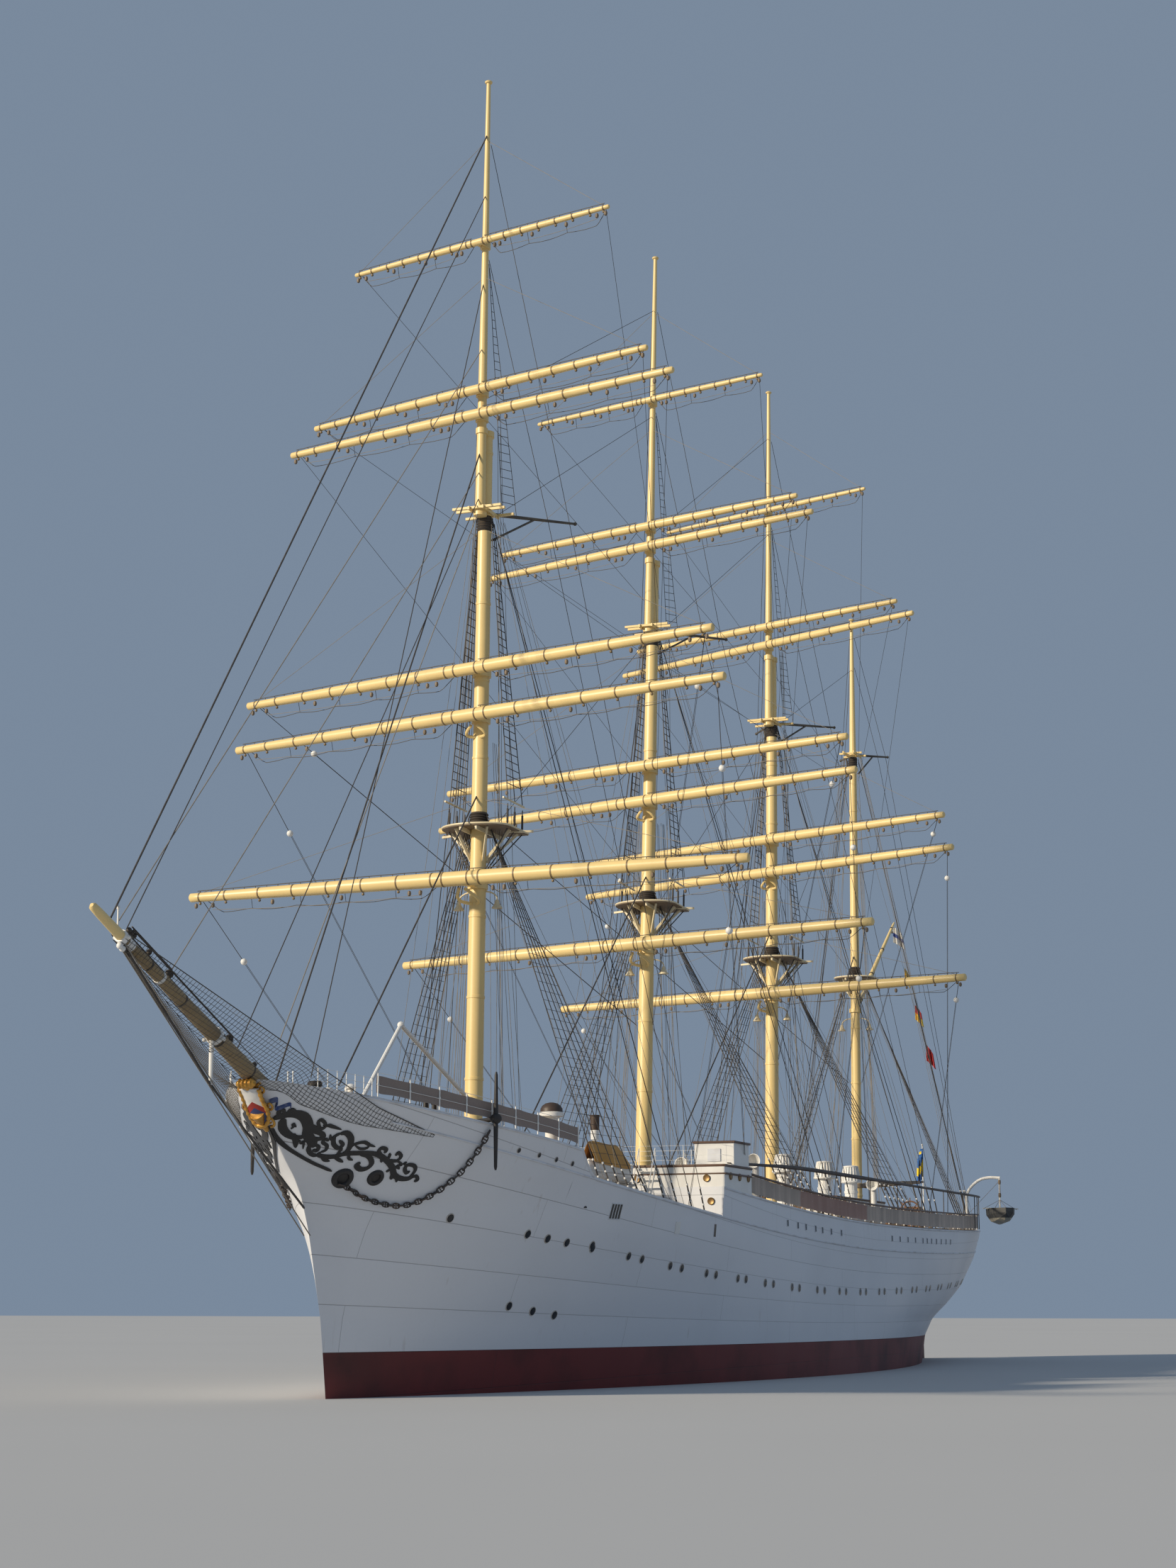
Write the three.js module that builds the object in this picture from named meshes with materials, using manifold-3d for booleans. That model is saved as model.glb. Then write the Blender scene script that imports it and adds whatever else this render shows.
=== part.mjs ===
import * as THREE from 'three';
import { mergeVertices } from 'three/addons/utils/BufferGeometryUtils.js';
import Module from 'manifold-3d';

// A four-masted steel barque at one tenth of its real size, in millimetres:
// 1 m of the real ship is 100 mm here. +X is forward, +Y to port, +Z up, and
// the origin is amidships on the waterline. Distances aft are negative X.

const wasm = await Module();
wasm.setup();

// Driving dimensions

const GAP = 0.3;              // clear space between pieces that rest on each other
const HALF_BEAM = 695;
const KEEL_Z = -450;
const BOOT_TOP_Z = 158.5;     // upper edge of the red paint
const DECK_LOW_Z = 485;       // main deck where it is lowest
const DECK_LOW_X = -900;
const SHEER_FORE = 1.36e-5;   // rise of the main deck for the square of the distance from there
const SHEER_AFT = 6.3e-6;
const BREAK_X = 3090;         // forecastle break
const BRIDGE_X = 1700;        // front of the long poop
const STERN_X = -4645;
const FORECASTLE_RISE = 207;  // forecastle deck edge above the main deck
const FORECASTLE_DROOP = 0.03; // how much slower the forecastle deck rises, forward of its droop
const DROOP_X = 3300;
const POOP_RISE = 245;        // poop deck edge above the main deck
const BULWARK_RISE = 115;
const BULWARK_THICK = 12;
const PLANK_THICK = 6;
const WATERWAY = 26;          // bare steel between the planking and the side
const FORECASTLE_RAIL = 84;
const POOP_RAIL = 92;
const RAIL_THICK = 8;
const HOUSE_TOP_Z = 912;
const BRIDGE_HOUSE_AFT_X = 1330;
const STAY_RADIUS = 3.2;

// Hull lines forward: height, stem x, and the two powers of the level line
const FORE_LINES = [
  [-450, 3780, 1.5, 1.0],
  [-400, 3900, 1.6, 1.0],
  [-300, 3970, 1.7, 1.0],
  [-150, 4015, 1.85, 1.0],
  [0, 4042, 2.0, 1.0],
  [158.5, 4070, 2.2, 1.0],
  [276, 4093, 2.4, 0.98],
  [402, 4136, 2.7, 0.95],
  [506, 4171, 3.0, 0.92],
  [583, 4199, 3.3, 0.9],
  [693, 4256, 3.7, 0.85],
  [760, 4313, 4.0, 0.82],
  [813, 4380, 4.3, 0.8],
  [904, 4479, 4.7, 0.76],
  [1005, 4600, 5.0, 0.72],
  [1070, 4650, 5.0, 0.7],
];

// Hull lines aft: height, distance of the stern, and the two powers
const AFT_LINES = [
  [-450, 3950, 1.3, 1.0],
  [-300, 3985, 1.5, 1.0],
  [0, 3990, 1.9, 1.0],
  [158.5, 3990, 2.1, 1.0],
  [250, 3990, 2.4, 0.95],
  [290, 4050, 2.6, 0.92],
  [330, 4160, 2.75, 0.88],
  [380, 4290, 2.9, 0.85],
  [440, 4410, 3.1, 0.8],
  [520, 4510, 3.3, 0.77],
  [620, 4575, 3.6, 0.7],
  [760, 4625, 3.9, 0.62],
  [900, 4645, 4.0, 0.6],
];

// Midship section: height and share of the half beam
const SECTION = [
  [-450, 0.62],
  [-440, 0.76],
  [-420, 0.86],
  [-380, 0.93],
  [-320, 0.975],
  [-220, 0.995],
  [-100, 1.0],
  [600, 1.0],
  [1070, 0.985],
];

// Masts: name, x at 12 m, aft rake in degrees, heights of foot, top, crosstrees, head, truck, lower radius
const MAST_REF_Z = 1200;
const MASTS = {
  fore: { x: 2800, rake: 1.44, topZ: 2230, treesZ: 3590, headZ: 3935, truckZ: 5540, radius: 38 },
  main: { x: 859, rake: 3.33, topZ: 2190, treesZ: 3570, headZ: 3910, truckZ: 5530, radius: 38 },
  mizzen: { x: -1087, rake: 2.11, topZ: 2160, treesZ: 3490, headZ: 3850, truckZ: 5420, radius: 38 },
  jigger: { x: -2713, rake: 1.71, topZ: 2240, treesZ: 3620, headZ: 3640, truckZ: 4480, radius: 31 },
};
const UPPER_OFFSET = 50;      // topgallant mast stands this far ahead of the topmast
const SIDES = 20;

// Yards: height, half length, radius, distance ahead of its mast
const YARDS = {
  course: { radius: 30, ahead: 190, upper: false },
  lower_topsail: { radius: 27, ahead: 105, upper: false },
  upper_topsail: { radius: 26, ahead: 105, upper: false },
  lower_topgallant: { radius: 22, ahead: 62, upper: true },
  upper_topgallant: { radius: 20, ahead: 60, upper: true },
  royal: { radius: 15, ahead: 52, upper: true },
};

// Columns follow YARDS: height, half length, rest angle with the port arm forward, in degrees
const YARD_TABLE = {
  fore: [
    [1997, 1254, 2.5],
    [2692, 1234, 11.9],
    [2889, 1191, 12.6],
    [3990, 984, 11.6],
    [4101, 875, 13.1],
    [4771, 667, 12.0],
  ],
  main: [
    [1974, 1288, 10.7],
    [2683, 1210, 14.2],
    [2857, 1139, 12.3],
    [3965, 962, 13.7],
    [4070, 862, 12.4],
    [4736, 652, 11.1],
  ],
  mizzen: [
    [1952, 1240, 11.6],
    [2625, 1223, 17.9],
    [2807, 1158, 16.9],
    [3905, 1014, 20.0],
    [4012, 868, 16.4],
    [4691, 664, 15.7],
  ],
};

// Small shared helpers

function alongTable(table, value, column) {
  const last = table.length - 1;
  if (value <= table[0][0]) return table[0][column];
  if (value >= table[last][0]) return table[last][column];
  const i = table.findIndex((row) => row[0] > value) - 1;
  const [low, high] = [table[i], table[i + 1]];
  const share = (value - low[0]) / (high[0] - low[0]);
  return low[column] + share * (high[column] - low[column]);
}

function endX(z, forward) {
  return forward ? alongTable(FORE_LINES, z, 1) : -alongTable(AFT_LINES, z, 1);
}

function halfBreadth(x, z) {
  const lines = x >= 0 ? FORE_LINES : AFT_LINES;
  const u = Math.min(Math.abs(x) / alongTable(lines, z, 1), 1);
  const fullness = (1 - u ** alongTable(lines, z, 2)) ** alongTable(lines, z, 3);
  const section = alongTable(SECTION, z, 1) ** (1 + 3 * u * u);
  return HALF_BEAM * section * fullness;
}

function deckZ(x) {
  const rate = x > DECK_LOW_X ? SHEER_FORE : SHEER_AFT;
  return DECK_LOW_Z + rate * (x - DECK_LOW_X) ** 2;
}

const forecastleZ = (x) => deckZ(x) + FORECASTLE_RISE - FORECASTLE_DROOP * Math.max(0, x - DROOP_X);
const poopZ = (x) => deckZ(x) + POOP_RISE;

function solidOf(geometry) {
  const bare = geometry.clone();
  for (const name of Object.keys(bare.attributes)) {
    if (name !== 'position') bare.deleteAttribute(name);
  }
  const merged = mergeVertices(bare, 1e-3);
  const vertProperties = new Float32Array(merged.attributes.position.array);
  const indices = merged.index.array;
  const kept = [];
  for (let i = 0; i < indices.length; i += 3) {
    const [a, b, c] = [indices[i], indices[i + 1], indices[i + 2]];
    if (a !== b && b !== c && c !== a) kept.push(a, b, c);
  }
  return new wasm.Manifold(new wasm.Mesh({ numProp: 3, vertProperties, triVerts: new Uint32Array(kept) }));
}

function geometryOf(solid) {
  const mesh = solid.getMesh();
  const geometry = new THREE.BufferGeometry();
  geometry.setAttribute('position', new THREE.BufferAttribute(new Float32Array(mesh.vertProperties), 3));
  geometry.setIndex(new THREE.BufferAttribute(new Uint32Array(mesh.triVerts), 1));
  geometry.computeVertexNormals();
  return geometry;
}

function joined(...geometries) {
  return geometryOf(geometries.map(solidOf).reduce((all, next) => all.add(next)));
}

function without(geometry, ...cutters) {
  return geometryOf(cutters.map(solidOf).reduce((rest, next) => rest.subtract(next), solidOf(geometry)));
}

// A closed skin over rings of points, each ring one closed section of the solid
function ringSolid(rings) {
  const count = rings[0].length;
  const position = rings.flat(2);
  const index = [];
  for (let i = 0; i + 1 < rings.length; i++) {
    for (let j = 0; j < count; j++) {
      const k = (j + 1) % count;
      const [a, b, c, d] = [i * count + j, i * count + k, (i + 1) * count + j, (i + 1) * count + k];
      index.push(a, c, b, b, c, d);
    }
  }
  const lastRing = (rings.length - 1) * count;
  for (let j = 1; j + 1 < count; j++) {
    index.push(0, j, j + 1);
    index.push(lastRing, lastRing + j + 1, lastRing + j);
  }
  const raw = new THREE.BufferGeometry();
  raw.setAttribute('position', new THREE.BufferAttribute(new Float32Array(position), 3));
  raw.setIndex(index);
  const merged = mergeVertices(raw, 1e-3);
  const kept = [];
  for (let i = 0; i < merged.index.count; i += 3) {
    const corner = [0, 1, 2].map((n) => merged.index.getX(i + n));
    if (new Set(corner).size === 3) kept.push(...corner);
  }
  if (signedVolume(merged.attributes.position, kept) < 0) kept.reverse();
  merged.setIndex(kept);
  return merged;
}

function signedVolume(position, index) {
  const corner = [new THREE.Vector3(), new THREE.Vector3(), new THREE.Vector3()];
  let volume = 0;
  for (let i = 0; i < index.length; i += 3) {
    for (let n = 0; n < 3; n++) corner[n].fromBufferAttribute(position, index[i + n]);
    volume += corner[0].dot(corner[1].cross(corner[2])) / 6;
  }
  return volume;
}

function boxBetween(low, high) {
  const size = low.map((value, i) => high[i] - value);
  const box = new THREE.BoxGeometry(...size);
  return box.translate(...low.map((value, i) => value + size[i] / 2));
}

function rod(from, to, startRadius, endRadius = startRadius, sides = 10) {
  const start = new THREE.Vector3(...from);
  const end = new THREE.Vector3(...to);
  const along = end.clone().sub(start);
  const cylinder = new THREE.CylinderGeometry(endRadius, startRadius, along.length(), sides);
  const turn = new THREE.Quaternion().setFromUnitVectors(new THREE.Vector3(0, 1, 0), along.clone().normalize());
  cylinder.applyQuaternion(turn);
  return cylinder.translate(...start.add(end).multiplyScalar(0.5).toArray());
}

// A solid of revolution about +Z from pairs of radius and height
function turned(profile, sides = SIDES) {
  const points = profile.map(([radius, z]) => new THREE.Vector2(radius, z));
  return new THREE.LatheGeometry(points, sides).rotateX(Math.PI / 2);
}

const paint = (color, roughness = 0.5) => new THREE.MeshStandardMaterial({ color, roughness, metalness: 0 });
const WHITE = paint('#d8dbe0', 0.4);
const RED = paint('#5c1c1a', 0.6);
const BUFF = paint('#e2c98a', 0.45);
const BLACK = paint('#1c1b1a', 0.55);
const TEAK = paint('#8a6a45', 0.7);
const CANVAS = paint('#5b463a', 0.85);
const GILT = paint('#c8922f', 0.4);
const WIRE = paint('#2a2826', 0.6);

const ship = new THREE.Group();

function addPiece(name, geometry, material, parent = ship) {
  const mesh = new THREE.Mesh(geometry, material);
  mesh.name = name;
  parent.add(mesh);
  return mesh;
}

// Hull blocks. Every block has the same stations, so that one lies flat on the next.

const STATIONS = 16;
const SHARES = Array.from({ length: STATIONS + 1 }, (_, i) => Math.sin((i / STATIONS) * (Math.PI / 2)));

// Where a station that lies at a share of the hull's length meets a surface
function meets(share, forward, surface) {
  let z = surface(0);
  for (let n = 0; n < 8; n++) z = surface(share * endX(z, forward));
  return [share * endX(z, forward), z];
}

function hullStation(share, forward, low, high, levels) {
  const lowZ = meets(share, forward, low)[1];
  const highZ = meets(share, forward, high)[1];
  const side = levels.map((level) => {
    const z = lowZ + level * (highZ - lowZ);
    const x = share * endX(z, forward);
    return [x, halfBreadth(x, z), z];
  });
  return [...side, ...side.toReversed().map(([x, y, z]) => [x, -y, z])];
}

function wholeHull(low, high, levels) {
  const aft = SHARES.map((share) => hullStation(share, false, low, high, levels)).toReversed();
  const fore = SHARES.map((share) => hullStation(share, true, low, high, levels)).slice(1);
  return ringSolid([...aft, ...fore]);
}

function onlyBetween(geometry, fromX, toX) {
  const box = boxBetween([fromX, -2 * HALF_BEAM, 2 * KEEL_Z], [toX, 2 * HALF_BEAM, -4 * KEEL_Z]);
  return geometryOf(solidOf(geometry).intersect(solidOf(box)));
}

const BOTTOM_LEVELS = [-450, -440, -420, -380, -320, -220, -100, 20, BOOT_TOP_Z]
  .map((z) => (z - KEEL_Z) / (BOOT_TOP_Z - KEEL_Z));
const SIDE_LEVELS = [0, 0.2, 0.29, 0.38, 0.48, 0.58, 0.74, 1];
const BLOCK_LEVELS = [0, 0.5, 1];

addPiece('hull_bottom', wholeHull(() => KEEL_Z, () => BOOT_TOP_Z, BOTTOM_LEVELS), RED);
addPiece('hull_side', wholeHull(() => BOOT_TOP_Z + GAP, deckZ, SIDE_LEVELS), WHITE);
addPiece('forecastle',
  onlyBetween(wholeHull((x) => deckZ(x) + GAP, forecastleZ, BLOCK_LEVELS), BREAK_X, 2 * BREAK_X), WHITE);
addPiece('long_poop',
  onlyBetween(wholeHull((x) => deckZ(x) + GAP, poopZ, BLOCK_LEVELS), 2 * STERN_X, BRIDGE_X), WHITE);

// Decks as they are built: straight from station to station, as pairs of x and height
const forwardShares = SHARES.slice(1);
const backwardShares = forwardShares.toReversed();

function deckLine(surface) {
  const aft = backwardShares.map((share) => meets(share, false, surface));
  const fore = forwardShares.map((share) => meets(share, true, surface));
  return [...aft, meets(0, true, surface), ...fore];
}

const MAIN_DECK = deckLine(deckZ);
const FORECASTLE_DECK = deckLine(forecastleZ);
const POOP_DECK = deckLine(poopZ);

const height = (deck, x) => alongTable(deck, x, 1);
const onPlanks = (deck, x) => height(deck, x) + GAP + PLANK_THICK;

// Lowest height of a flat foot that reaches some way fore and aft of x
const footOn = (deck, x, reach) => Math.max(onPlanks(deck, x - reach), onPlanks(deck, x + reach)) + GAP;

// The ends of a run along a deck, every station between them and any extra places
function runAlong(deck, fromX, toX, extra = []) {
  const [low, high] = [Math.min(fromX, toX), Math.max(fromX, toX)];
  const between = [...deck.map(([x]) => x), ...extra].filter((x) => x > low + 1 && x < high - 1);
  return [low, ...between.toSorted((p, q) => p - q), high];
}

// Bulwarks of the fore well

const BREAK_SLOPE = 170;      // length of the slope up to the forecastle

function bulwarkTop(x) {
  const climb = Math.max(0, (x - (BREAK_X - BREAK_SLOPE)) / BREAK_SLOPE);
  return deckZ(x) + BULWARK_RISE + (FORECASTLE_RISE - BULWARK_RISE - 10) * climb ** 1.6;
}

function bulwark(side) {
  const slope = [BREAK_X - BREAK_SLOPE, BREAK_X - 110, BREAK_X - 50];
  return ringSolid(runAlong(MAIN_DECK, BRIDGE_X + GAP, BREAK_X - GAP, slope).map((x) => {
    const [low, high] = [height(MAIN_DECK, x) + GAP, bulwarkTop(x)];
    const [yLow, yHigh] = [halfBreadth(x, low), halfBreadth(x, high)];
    return [
      [x, side * yLow, low],
      [x, side * yHigh, high],
      [x, side * (yHigh - BULWARK_THICK), high],
      [x, side * (yLow - BULWARK_THICK), low],
    ];
  }));
}

addPiece('well_bulwark_port', bulwark(1), WHITE);
addPiece('well_bulwark_starboard', bulwark(-1), WHITE);

// Planked decks, each a thin slab inside the waterways

function planking(deck, fromX, toX, extra = []) {
  return ringSolid(runAlong(deck, fromX, toX, extra).map((x) => {
    const low = height(deck, x) + GAP;
    const y = halfBreadth(x, low) - WATERWAY;
    return [
      [x, -y, low],
      [x, y, low],
      [x, y, low + PLANK_THICK],
      [x, -y, low + PLANK_THICK],
    ];
  }));
}

const FORECASTLE_PLANKS_X = 4330;
const POOP_PLANKS_X = -4450;
addPiece('forecastle_deck', planking(FORECASTLE_DECK, BREAK_X + 14, FORECASTLE_PLANKS_X), TEAK);
addPiece('well_deck', planking(MAIN_DECK, BRIDGE_X + 6, BREAK_X - 6), TEAK);
addPiece('poop_deck', planking(POOP_DECK, POOP_PLANKS_X, BRIDGE_HOUSE_AFT_X - 10), TEAK);

// Canvas-covered rails along the deck edges

function railBand(deck, path, railHeight) {
  return ringSolid(path.map(([x, y], i) => {
    const before = path[Math.max(i - 1, 0)];
    const after = path[Math.min(i + 1, path.length - 1)];
    const length = Math.hypot(after[0] - before[0], after[1] - before[1]);
    const innerX = x - (RAIL_THICK * (after[1] - before[1])) / length;
    const innerY = y + (RAIL_THICK * (after[0] - before[0])) / length;
    const low = Math.max(height(deck, x), height(deck, innerX)) + 2 * GAP;
    const high = height(deck, x) + railHeight;
    return [
      [x, y, low],
      [x, y, high],
      [innerX, innerY, high],
      [innerX, innerY, low],
    ];
  }));
}

const EDGE = 10;              // rail's distance from the ship's side
const edgePoint = (deck, x) => [x, halfBreadth(x, height(deck, x)) - EDGE];
const mirrored = (path) => path.toReversed().map(([x, y]) => [x, -y]);

const CANVAS_FRONT_X = 4257;  // forward end of the forecastle canvas
const POOP_RAIL_END_X = -4602;

const forecastleRun = runAlong(FORECASTLE_DECK, BREAK_X + 4, CANVAS_FRONT_X).toReversed();
const forecastleEdge = forecastleRun.map((x) => edgePoint(FORECASTLE_DECK, x));
const poopRun = runAlong(POOP_DECK, POOP_RAIL_END_X, BRIDGE_HOUSE_AFT_X - 2, [-4480, -4570]).toReversed();
const poopEdge = poopRun.map((x) => edgePoint(POOP_DECK, x));
const sternMiddle = [POOP_RAIL_END_X, GAP / 2];
const poopHalf = [...poopEdge, sternMiddle];
addPiece('poop_rail_port', railBand(POOP_DECK, poopHalf, POOP_RAIL), CANVAS);
addPiece('poop_rail_starboard', railBand(POOP_DECK, mirrored(poopHalf), POOP_RAIL), CANVAS);

// Houses and hatch: boxes whose undersides follow the deck

function deckBox(deck, fromX, toX, halfWidth, topZ, lift = GAP) {
  return ringSolid(runAlong(deck, fromX, toX).map((x) => {
    const low = height(deck, x) + lift;
    return [
      [x, -halfWidth, low],
      [x, halfWidth, low],
      [x, halfWidth, topZ],
      [x, -halfWidth, topZ],
    ];
  }));
}

const ON_PLANKS = 2 * GAP + PLANK_THICK;
const WING_BOX = { aftX: 1366, foreX: 1570, innerY: 500, outerY: 680, topZ: 1013 };
const wingBox = (side) => boxBetween(
  [WING_BOX.aftX, Math.min(side * WING_BOX.innerY, side * WING_BOX.outerY), HOUSE_TOP_Z - 5],
  [WING_BOX.foreX, Math.max(side * WING_BOX.innerY, side * WING_BOX.outerY), WING_BOX.topZ]);
const houseBox = deckBox(POOP_DECK, BRIDGE_HOUSE_AFT_X, BRIDGE_X - 2, 680, HOUSE_TOP_Z);
addPiece('bridge_house', joined(houseBox, wingBox(1), wingBox(-1)), WHITE);

const POOP_HOUSE = { aftX: -2480, foreX: -1500, halfWidth: 230, topZ: 905 };
const CONES_X = [-1612, -2131];
const LONE_CONE_X = -870;  // stands on the deck beside the mizzen mast
const CONES_Y = 130;
const coneProfile = (foot) => [[0, foot], [36, foot], [36, 105], [56, 105], [39, 190], [0, 190]];
const cones = CONES_X.map((x) => turned(coneProfile(-6), 16).translate(x, CONES_Y, POOP_HOUSE.topZ));
const poopHouse = deckBox(
  POOP_DECK, POOP_HOUSE.aftX, POOP_HOUSE.foreX, POOP_HOUSE.halfWidth, POOP_HOUSE.topZ, ON_PLANKS);
addPiece('poop_house', joined(poopHouse, ...cones), WHITE);

const loneFoot = footOn(POOP_DECK, LONE_CONE_X, 36) - POOP_HOUSE.topZ;
addPiece('mizzen_ventilator',
  turned(coneProfile(loneFoot), 16).translate(LONE_CONE_X, CONES_Y, POOP_HOUSE.topZ), WHITE);
addPiece('fore_house', deckBox(MAIN_DECK, 1900, 2390, 250, 880, ON_PLANKS), WHITE);

// Masts. Each is built upright and its group leans aft about the point on the waterline.

function mastRadius(mast, z) {
  const share = Math.min(Math.max((z - 800) / (mast.headZ - 800), 0), 1);
  return mast.radius * (1 - 0.3 * share);
}

const hasUpper = (mast) => mast.headZ > mast.treesZ + 100;

function upperRadius(mast, z) {
  const start = hasUpper(mast) ? mast.treesZ : mast.headZ;
  const share = Math.min(Math.max((z - start) / (mast.truckZ - start), 0), 1);
  return hasUpper(mast) ? 22 - 13 * share : 20 - 11 * share;
}

function mastTubes(mast, footZ, extra) {
  const low = turned([
    [0, footZ],
    [mastRadius(mast, footZ) + extra, footZ],
    [mastRadius(mast, mast.headZ) + extra, mast.headZ],
    [0, mast.headZ],
  ]);
  const heel = hasUpper(mast) ? mast.treesZ - 12 : mast.headZ - 40;
  const high = turned([
    [0, heel],
    [upperRadius(mast, heel) + extra, heel],
    [upperRadius(mast, mast.truckZ - 10) + extra, mast.truckZ - 10],
    [13, mast.truckZ - 5],
    [13, mast.truckZ],
    [0, mast.truckZ + 6],
  ], 16);
  return [low, high.translate(hasUpper(mast) ? UPPER_OFFSET : 0, 0, 0)];
}

// Top: a platform round in front, square behind, on two brackets, with a pointed spreader each side
function mastTop(mast) {
  const outline = new THREE.Shape();
  outline.moveTo(-165, -150);
  outline.lineTo(20, -150);
  outline.absellipse(20, 0, 100, 150, -Math.PI / 2, Math.PI / 2, false, 0);
  outline.lineTo(-165, 150);
  const plate = new THREE.ExtrudeGeometry(outline, { depth: 7, bevelEnabled: false, curveSegments: 12 });
  const bracket = (side) => {
    const web = new THREE.Shape();
    web.moveTo(30, 0);
    web.lineTo(125, 0);
    web.lineTo(125, -6);
    web.lineTo(30, -90);
    const plateWeb = new THREE.ExtrudeGeometry(web, { depth: 6, bevelEnabled: false });
    return plateWeb.rotateX(Math.PI / 2).rotateZ((side * Math.PI) / 2).translate(side * 3, 0, 1);
  };
  const spreader = (side) => rod([-60, side * 110, 3], [-90, side * 204, 3], 7, 3, 6);
  const pieces = [plate, bracket(1), bracket(-1), spreader(1), spreader(-1)];
  return pieces.map((piece) => piece.translate(0, 0, mast.topZ));
}

// Crosstrees: two fore-and-aft bars, two athwartships bars and outriggers that slope aft
function crosstrees(mast) {
  const z = mast.treesZ;
  const front = hasUpper(mast) ? UPPER_OFFSET + 34 : 45;
  const bars = [-1, 1].map((side) => boxBetween([-70, side * 24 - 4, z], [front, side * 24 + 4, z + 12]));
  const spreaders = [-58, 30].map((x) => boxBetween([x - 5, -100, z + 8], [x + 5, 100, z + 16]));
  const [aft, out, up] = hasUpper(mast) ? [-435, 231, 60] : [-250, 150, 30];
  const outriggers = [-1, 1].map((side) => rod([-50, side * 20, z + 6], [aft, side * out, z + up], 6, 4, 6));
  return [...bars, ...spreaders, ...outriggers];
}

function cap(mast) {
  if (!hasUpper(mast)) return [];
  return [boxBetween([-34, -30, mast.headZ - 16], [UPPER_OFFSET + 28, 30, mast.headZ])];
}

function footHeight(mast, deck) {
  const lean = THREE.MathUtils.degToRad(mast.rake);
  const x = mast.x + Math.tan(lean) * (MAST_REF_Z - height(deck, mast.x));
  const reach = mast.radius;
  const rise = reach * Math.tan(lean);
  const low = Math.max(onPlanks(deck, x - reach) + rise, onPlanks(deck, x + reach) - rise);
  return (low + GAP) / Math.cos(lean);
}

function mastGroup(mast) {
  const group = new THREE.Group();
  const lean = THREE.MathUtils.degToRad(mast.rake);
  group.position.set(mast.x + Math.tan(lean) * MAST_REF_Z, 0, 0);
  group.rotation.y = -lean;
  group.updateMatrixWorld();
  ship.add(group);
  return group;
}

const mastDeck = { fore: MAIN_DECK, main: POOP_DECK, mizzen: POOP_DECK, jigger: POOP_DECK };
const groups = {};
const clearOfMast = {};
for (const [name, mast] of Object.entries(MASTS)) {
  groups[name] = mastGroup(mast);
  const footZ = footHeight(mast, mastDeck[name]);
  const parts = [...mastTubes(mast, footZ, 0), ...mastTop(mast), ...crosstrees(mast), ...cap(mast)];
  addPiece(`${name}_mast`, joined(...parts), BUFF, groups[name]);
  clearOfMast[name] = mastTubes(mast, footZ, GAP).map((tube) => tube.applyMatrix4(groups[name].matrixWorld));
}

// Yards: a tapered spar, an arm back to the mast and a collar that turns on the mast

const COLLAR_HEIGHT = 26;
const COLLAR_THICK = 8;
const COLLAR_CLEARANCE = 0.45;

function collar(shaftRadius, height = COLLAR_HEIGHT) {
  const inner = (shaftRadius + COLLAR_CLEARANCE) / Math.cos(Math.PI / SIDES);
  const outer = inner + COLLAR_THICK;
  const half = height / 2;
  return turned([[inner, -half], [outer, -half], [outer, half], [inner, half], [inner, -half]]);
}

function spar(halfLength, radius) {
  const tip = radius * 0.5;
  const profile = [
    [0, -halfLength],
    [tip, -halfLength],
    [radius * 0.86, -halfLength * 0.52],
    [radius, -halfLength * 0.16],
    [radius, halfLength * 0.16],
    [radius * 0.86, halfLength * 0.52],
    [tip, halfLength],
    [0, halfLength],
  ];
  return turned(profile, 8).rotateX(-Math.PI / 2);
}

function yardGeometry(mast, kind, z, halfLength) {
  const { radius, ahead, upper } = YARDS[kind];
  const shaft = upper ? upperRadius(mast, z - COLLAR_HEIGHT / 2) : mastRadius(mast, z - COLLAR_HEIGHT / 2);
  const armFrom = shaft + COLLAR_THICK / 2 + 1;
  const arm = boxBetween([armFrom, -9, -9], [ahead, 9, 9]);
  return joined(collar(shaft), spar(halfLength, radius).translate(ahead, 0, 0), arm);
}

for (const [name, rows] of Object.entries(YARD_TABLE)) {
  Object.keys(YARDS).forEach((kind, i) => {
    const [z, halfLength, braced] = rows[i];
    const yard = addPiece(`${name}_${kind}_yard`, yardGeometry(MASTS[name], kind, z, halfLength), BUFF, groups[name]);
    yard.position.set(YARDS[kind].upper ? UPPER_OFFSET : 0, 0, z);
    yard.rotation.z = THREE.MathUtils.degToRad(-braced);
  });
}

// Spanker boom and gaff on the jigger mast

const BOOM_Z = 1015;
const BOOM_LENGTH = 1530;
const BOOM_PEAK = 5;
const GAFF_Z = 2050;
const GAFF_LENGTH = 1130;
const GAFF_PEAK = 37;         // degrees above level

function swingingSpar(heightZ, length, radius, peak) {
  const shaft = mastRadius(MASTS.jigger, heightZ - COLLAR_HEIGHT / 2);
  const tilt = THREE.MathUtils.degToRad(peak);
  const start = shaft + COLLAR_THICK / 2 + radius * Math.sin(tilt);
  const reach = [-length * Math.cos(tilt), 0, length * Math.sin(tilt)];
  const heel = [-start, 0, 0];
  const middle = heel.map((value, i) => value * 0.6 + reach[i] * 0.4);
  return joined(collar(shaft), rod(heel, middle, radius * 0.8, radius, 12), rod(middle, reach, radius, radius * 0.6, 12));
}

addPiece('spanker_boom', swingingSpar(BOOM_Z, BOOM_LENGTH, 16, BOOM_PEAK), TEAK, groups.jigger).position.z = BOOM_Z;
addPiece('spanker_gaff', swingingSpar(GAFF_Z, GAFF_LENGTH, 14, GAFF_PEAK), TEAK, groups.jigger).position.z = GAFF_Z;

// Bowsprit, with its heel bedded in the forecastle, striker and crest

const SPRIT_HEEL = [4400, 0, 985];
const SPRIT_TIP = [5659, 0, 1521];
const SPRIT_RADIUS = 34;
const SPRIT_TIP_RADIUS = 14;

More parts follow.
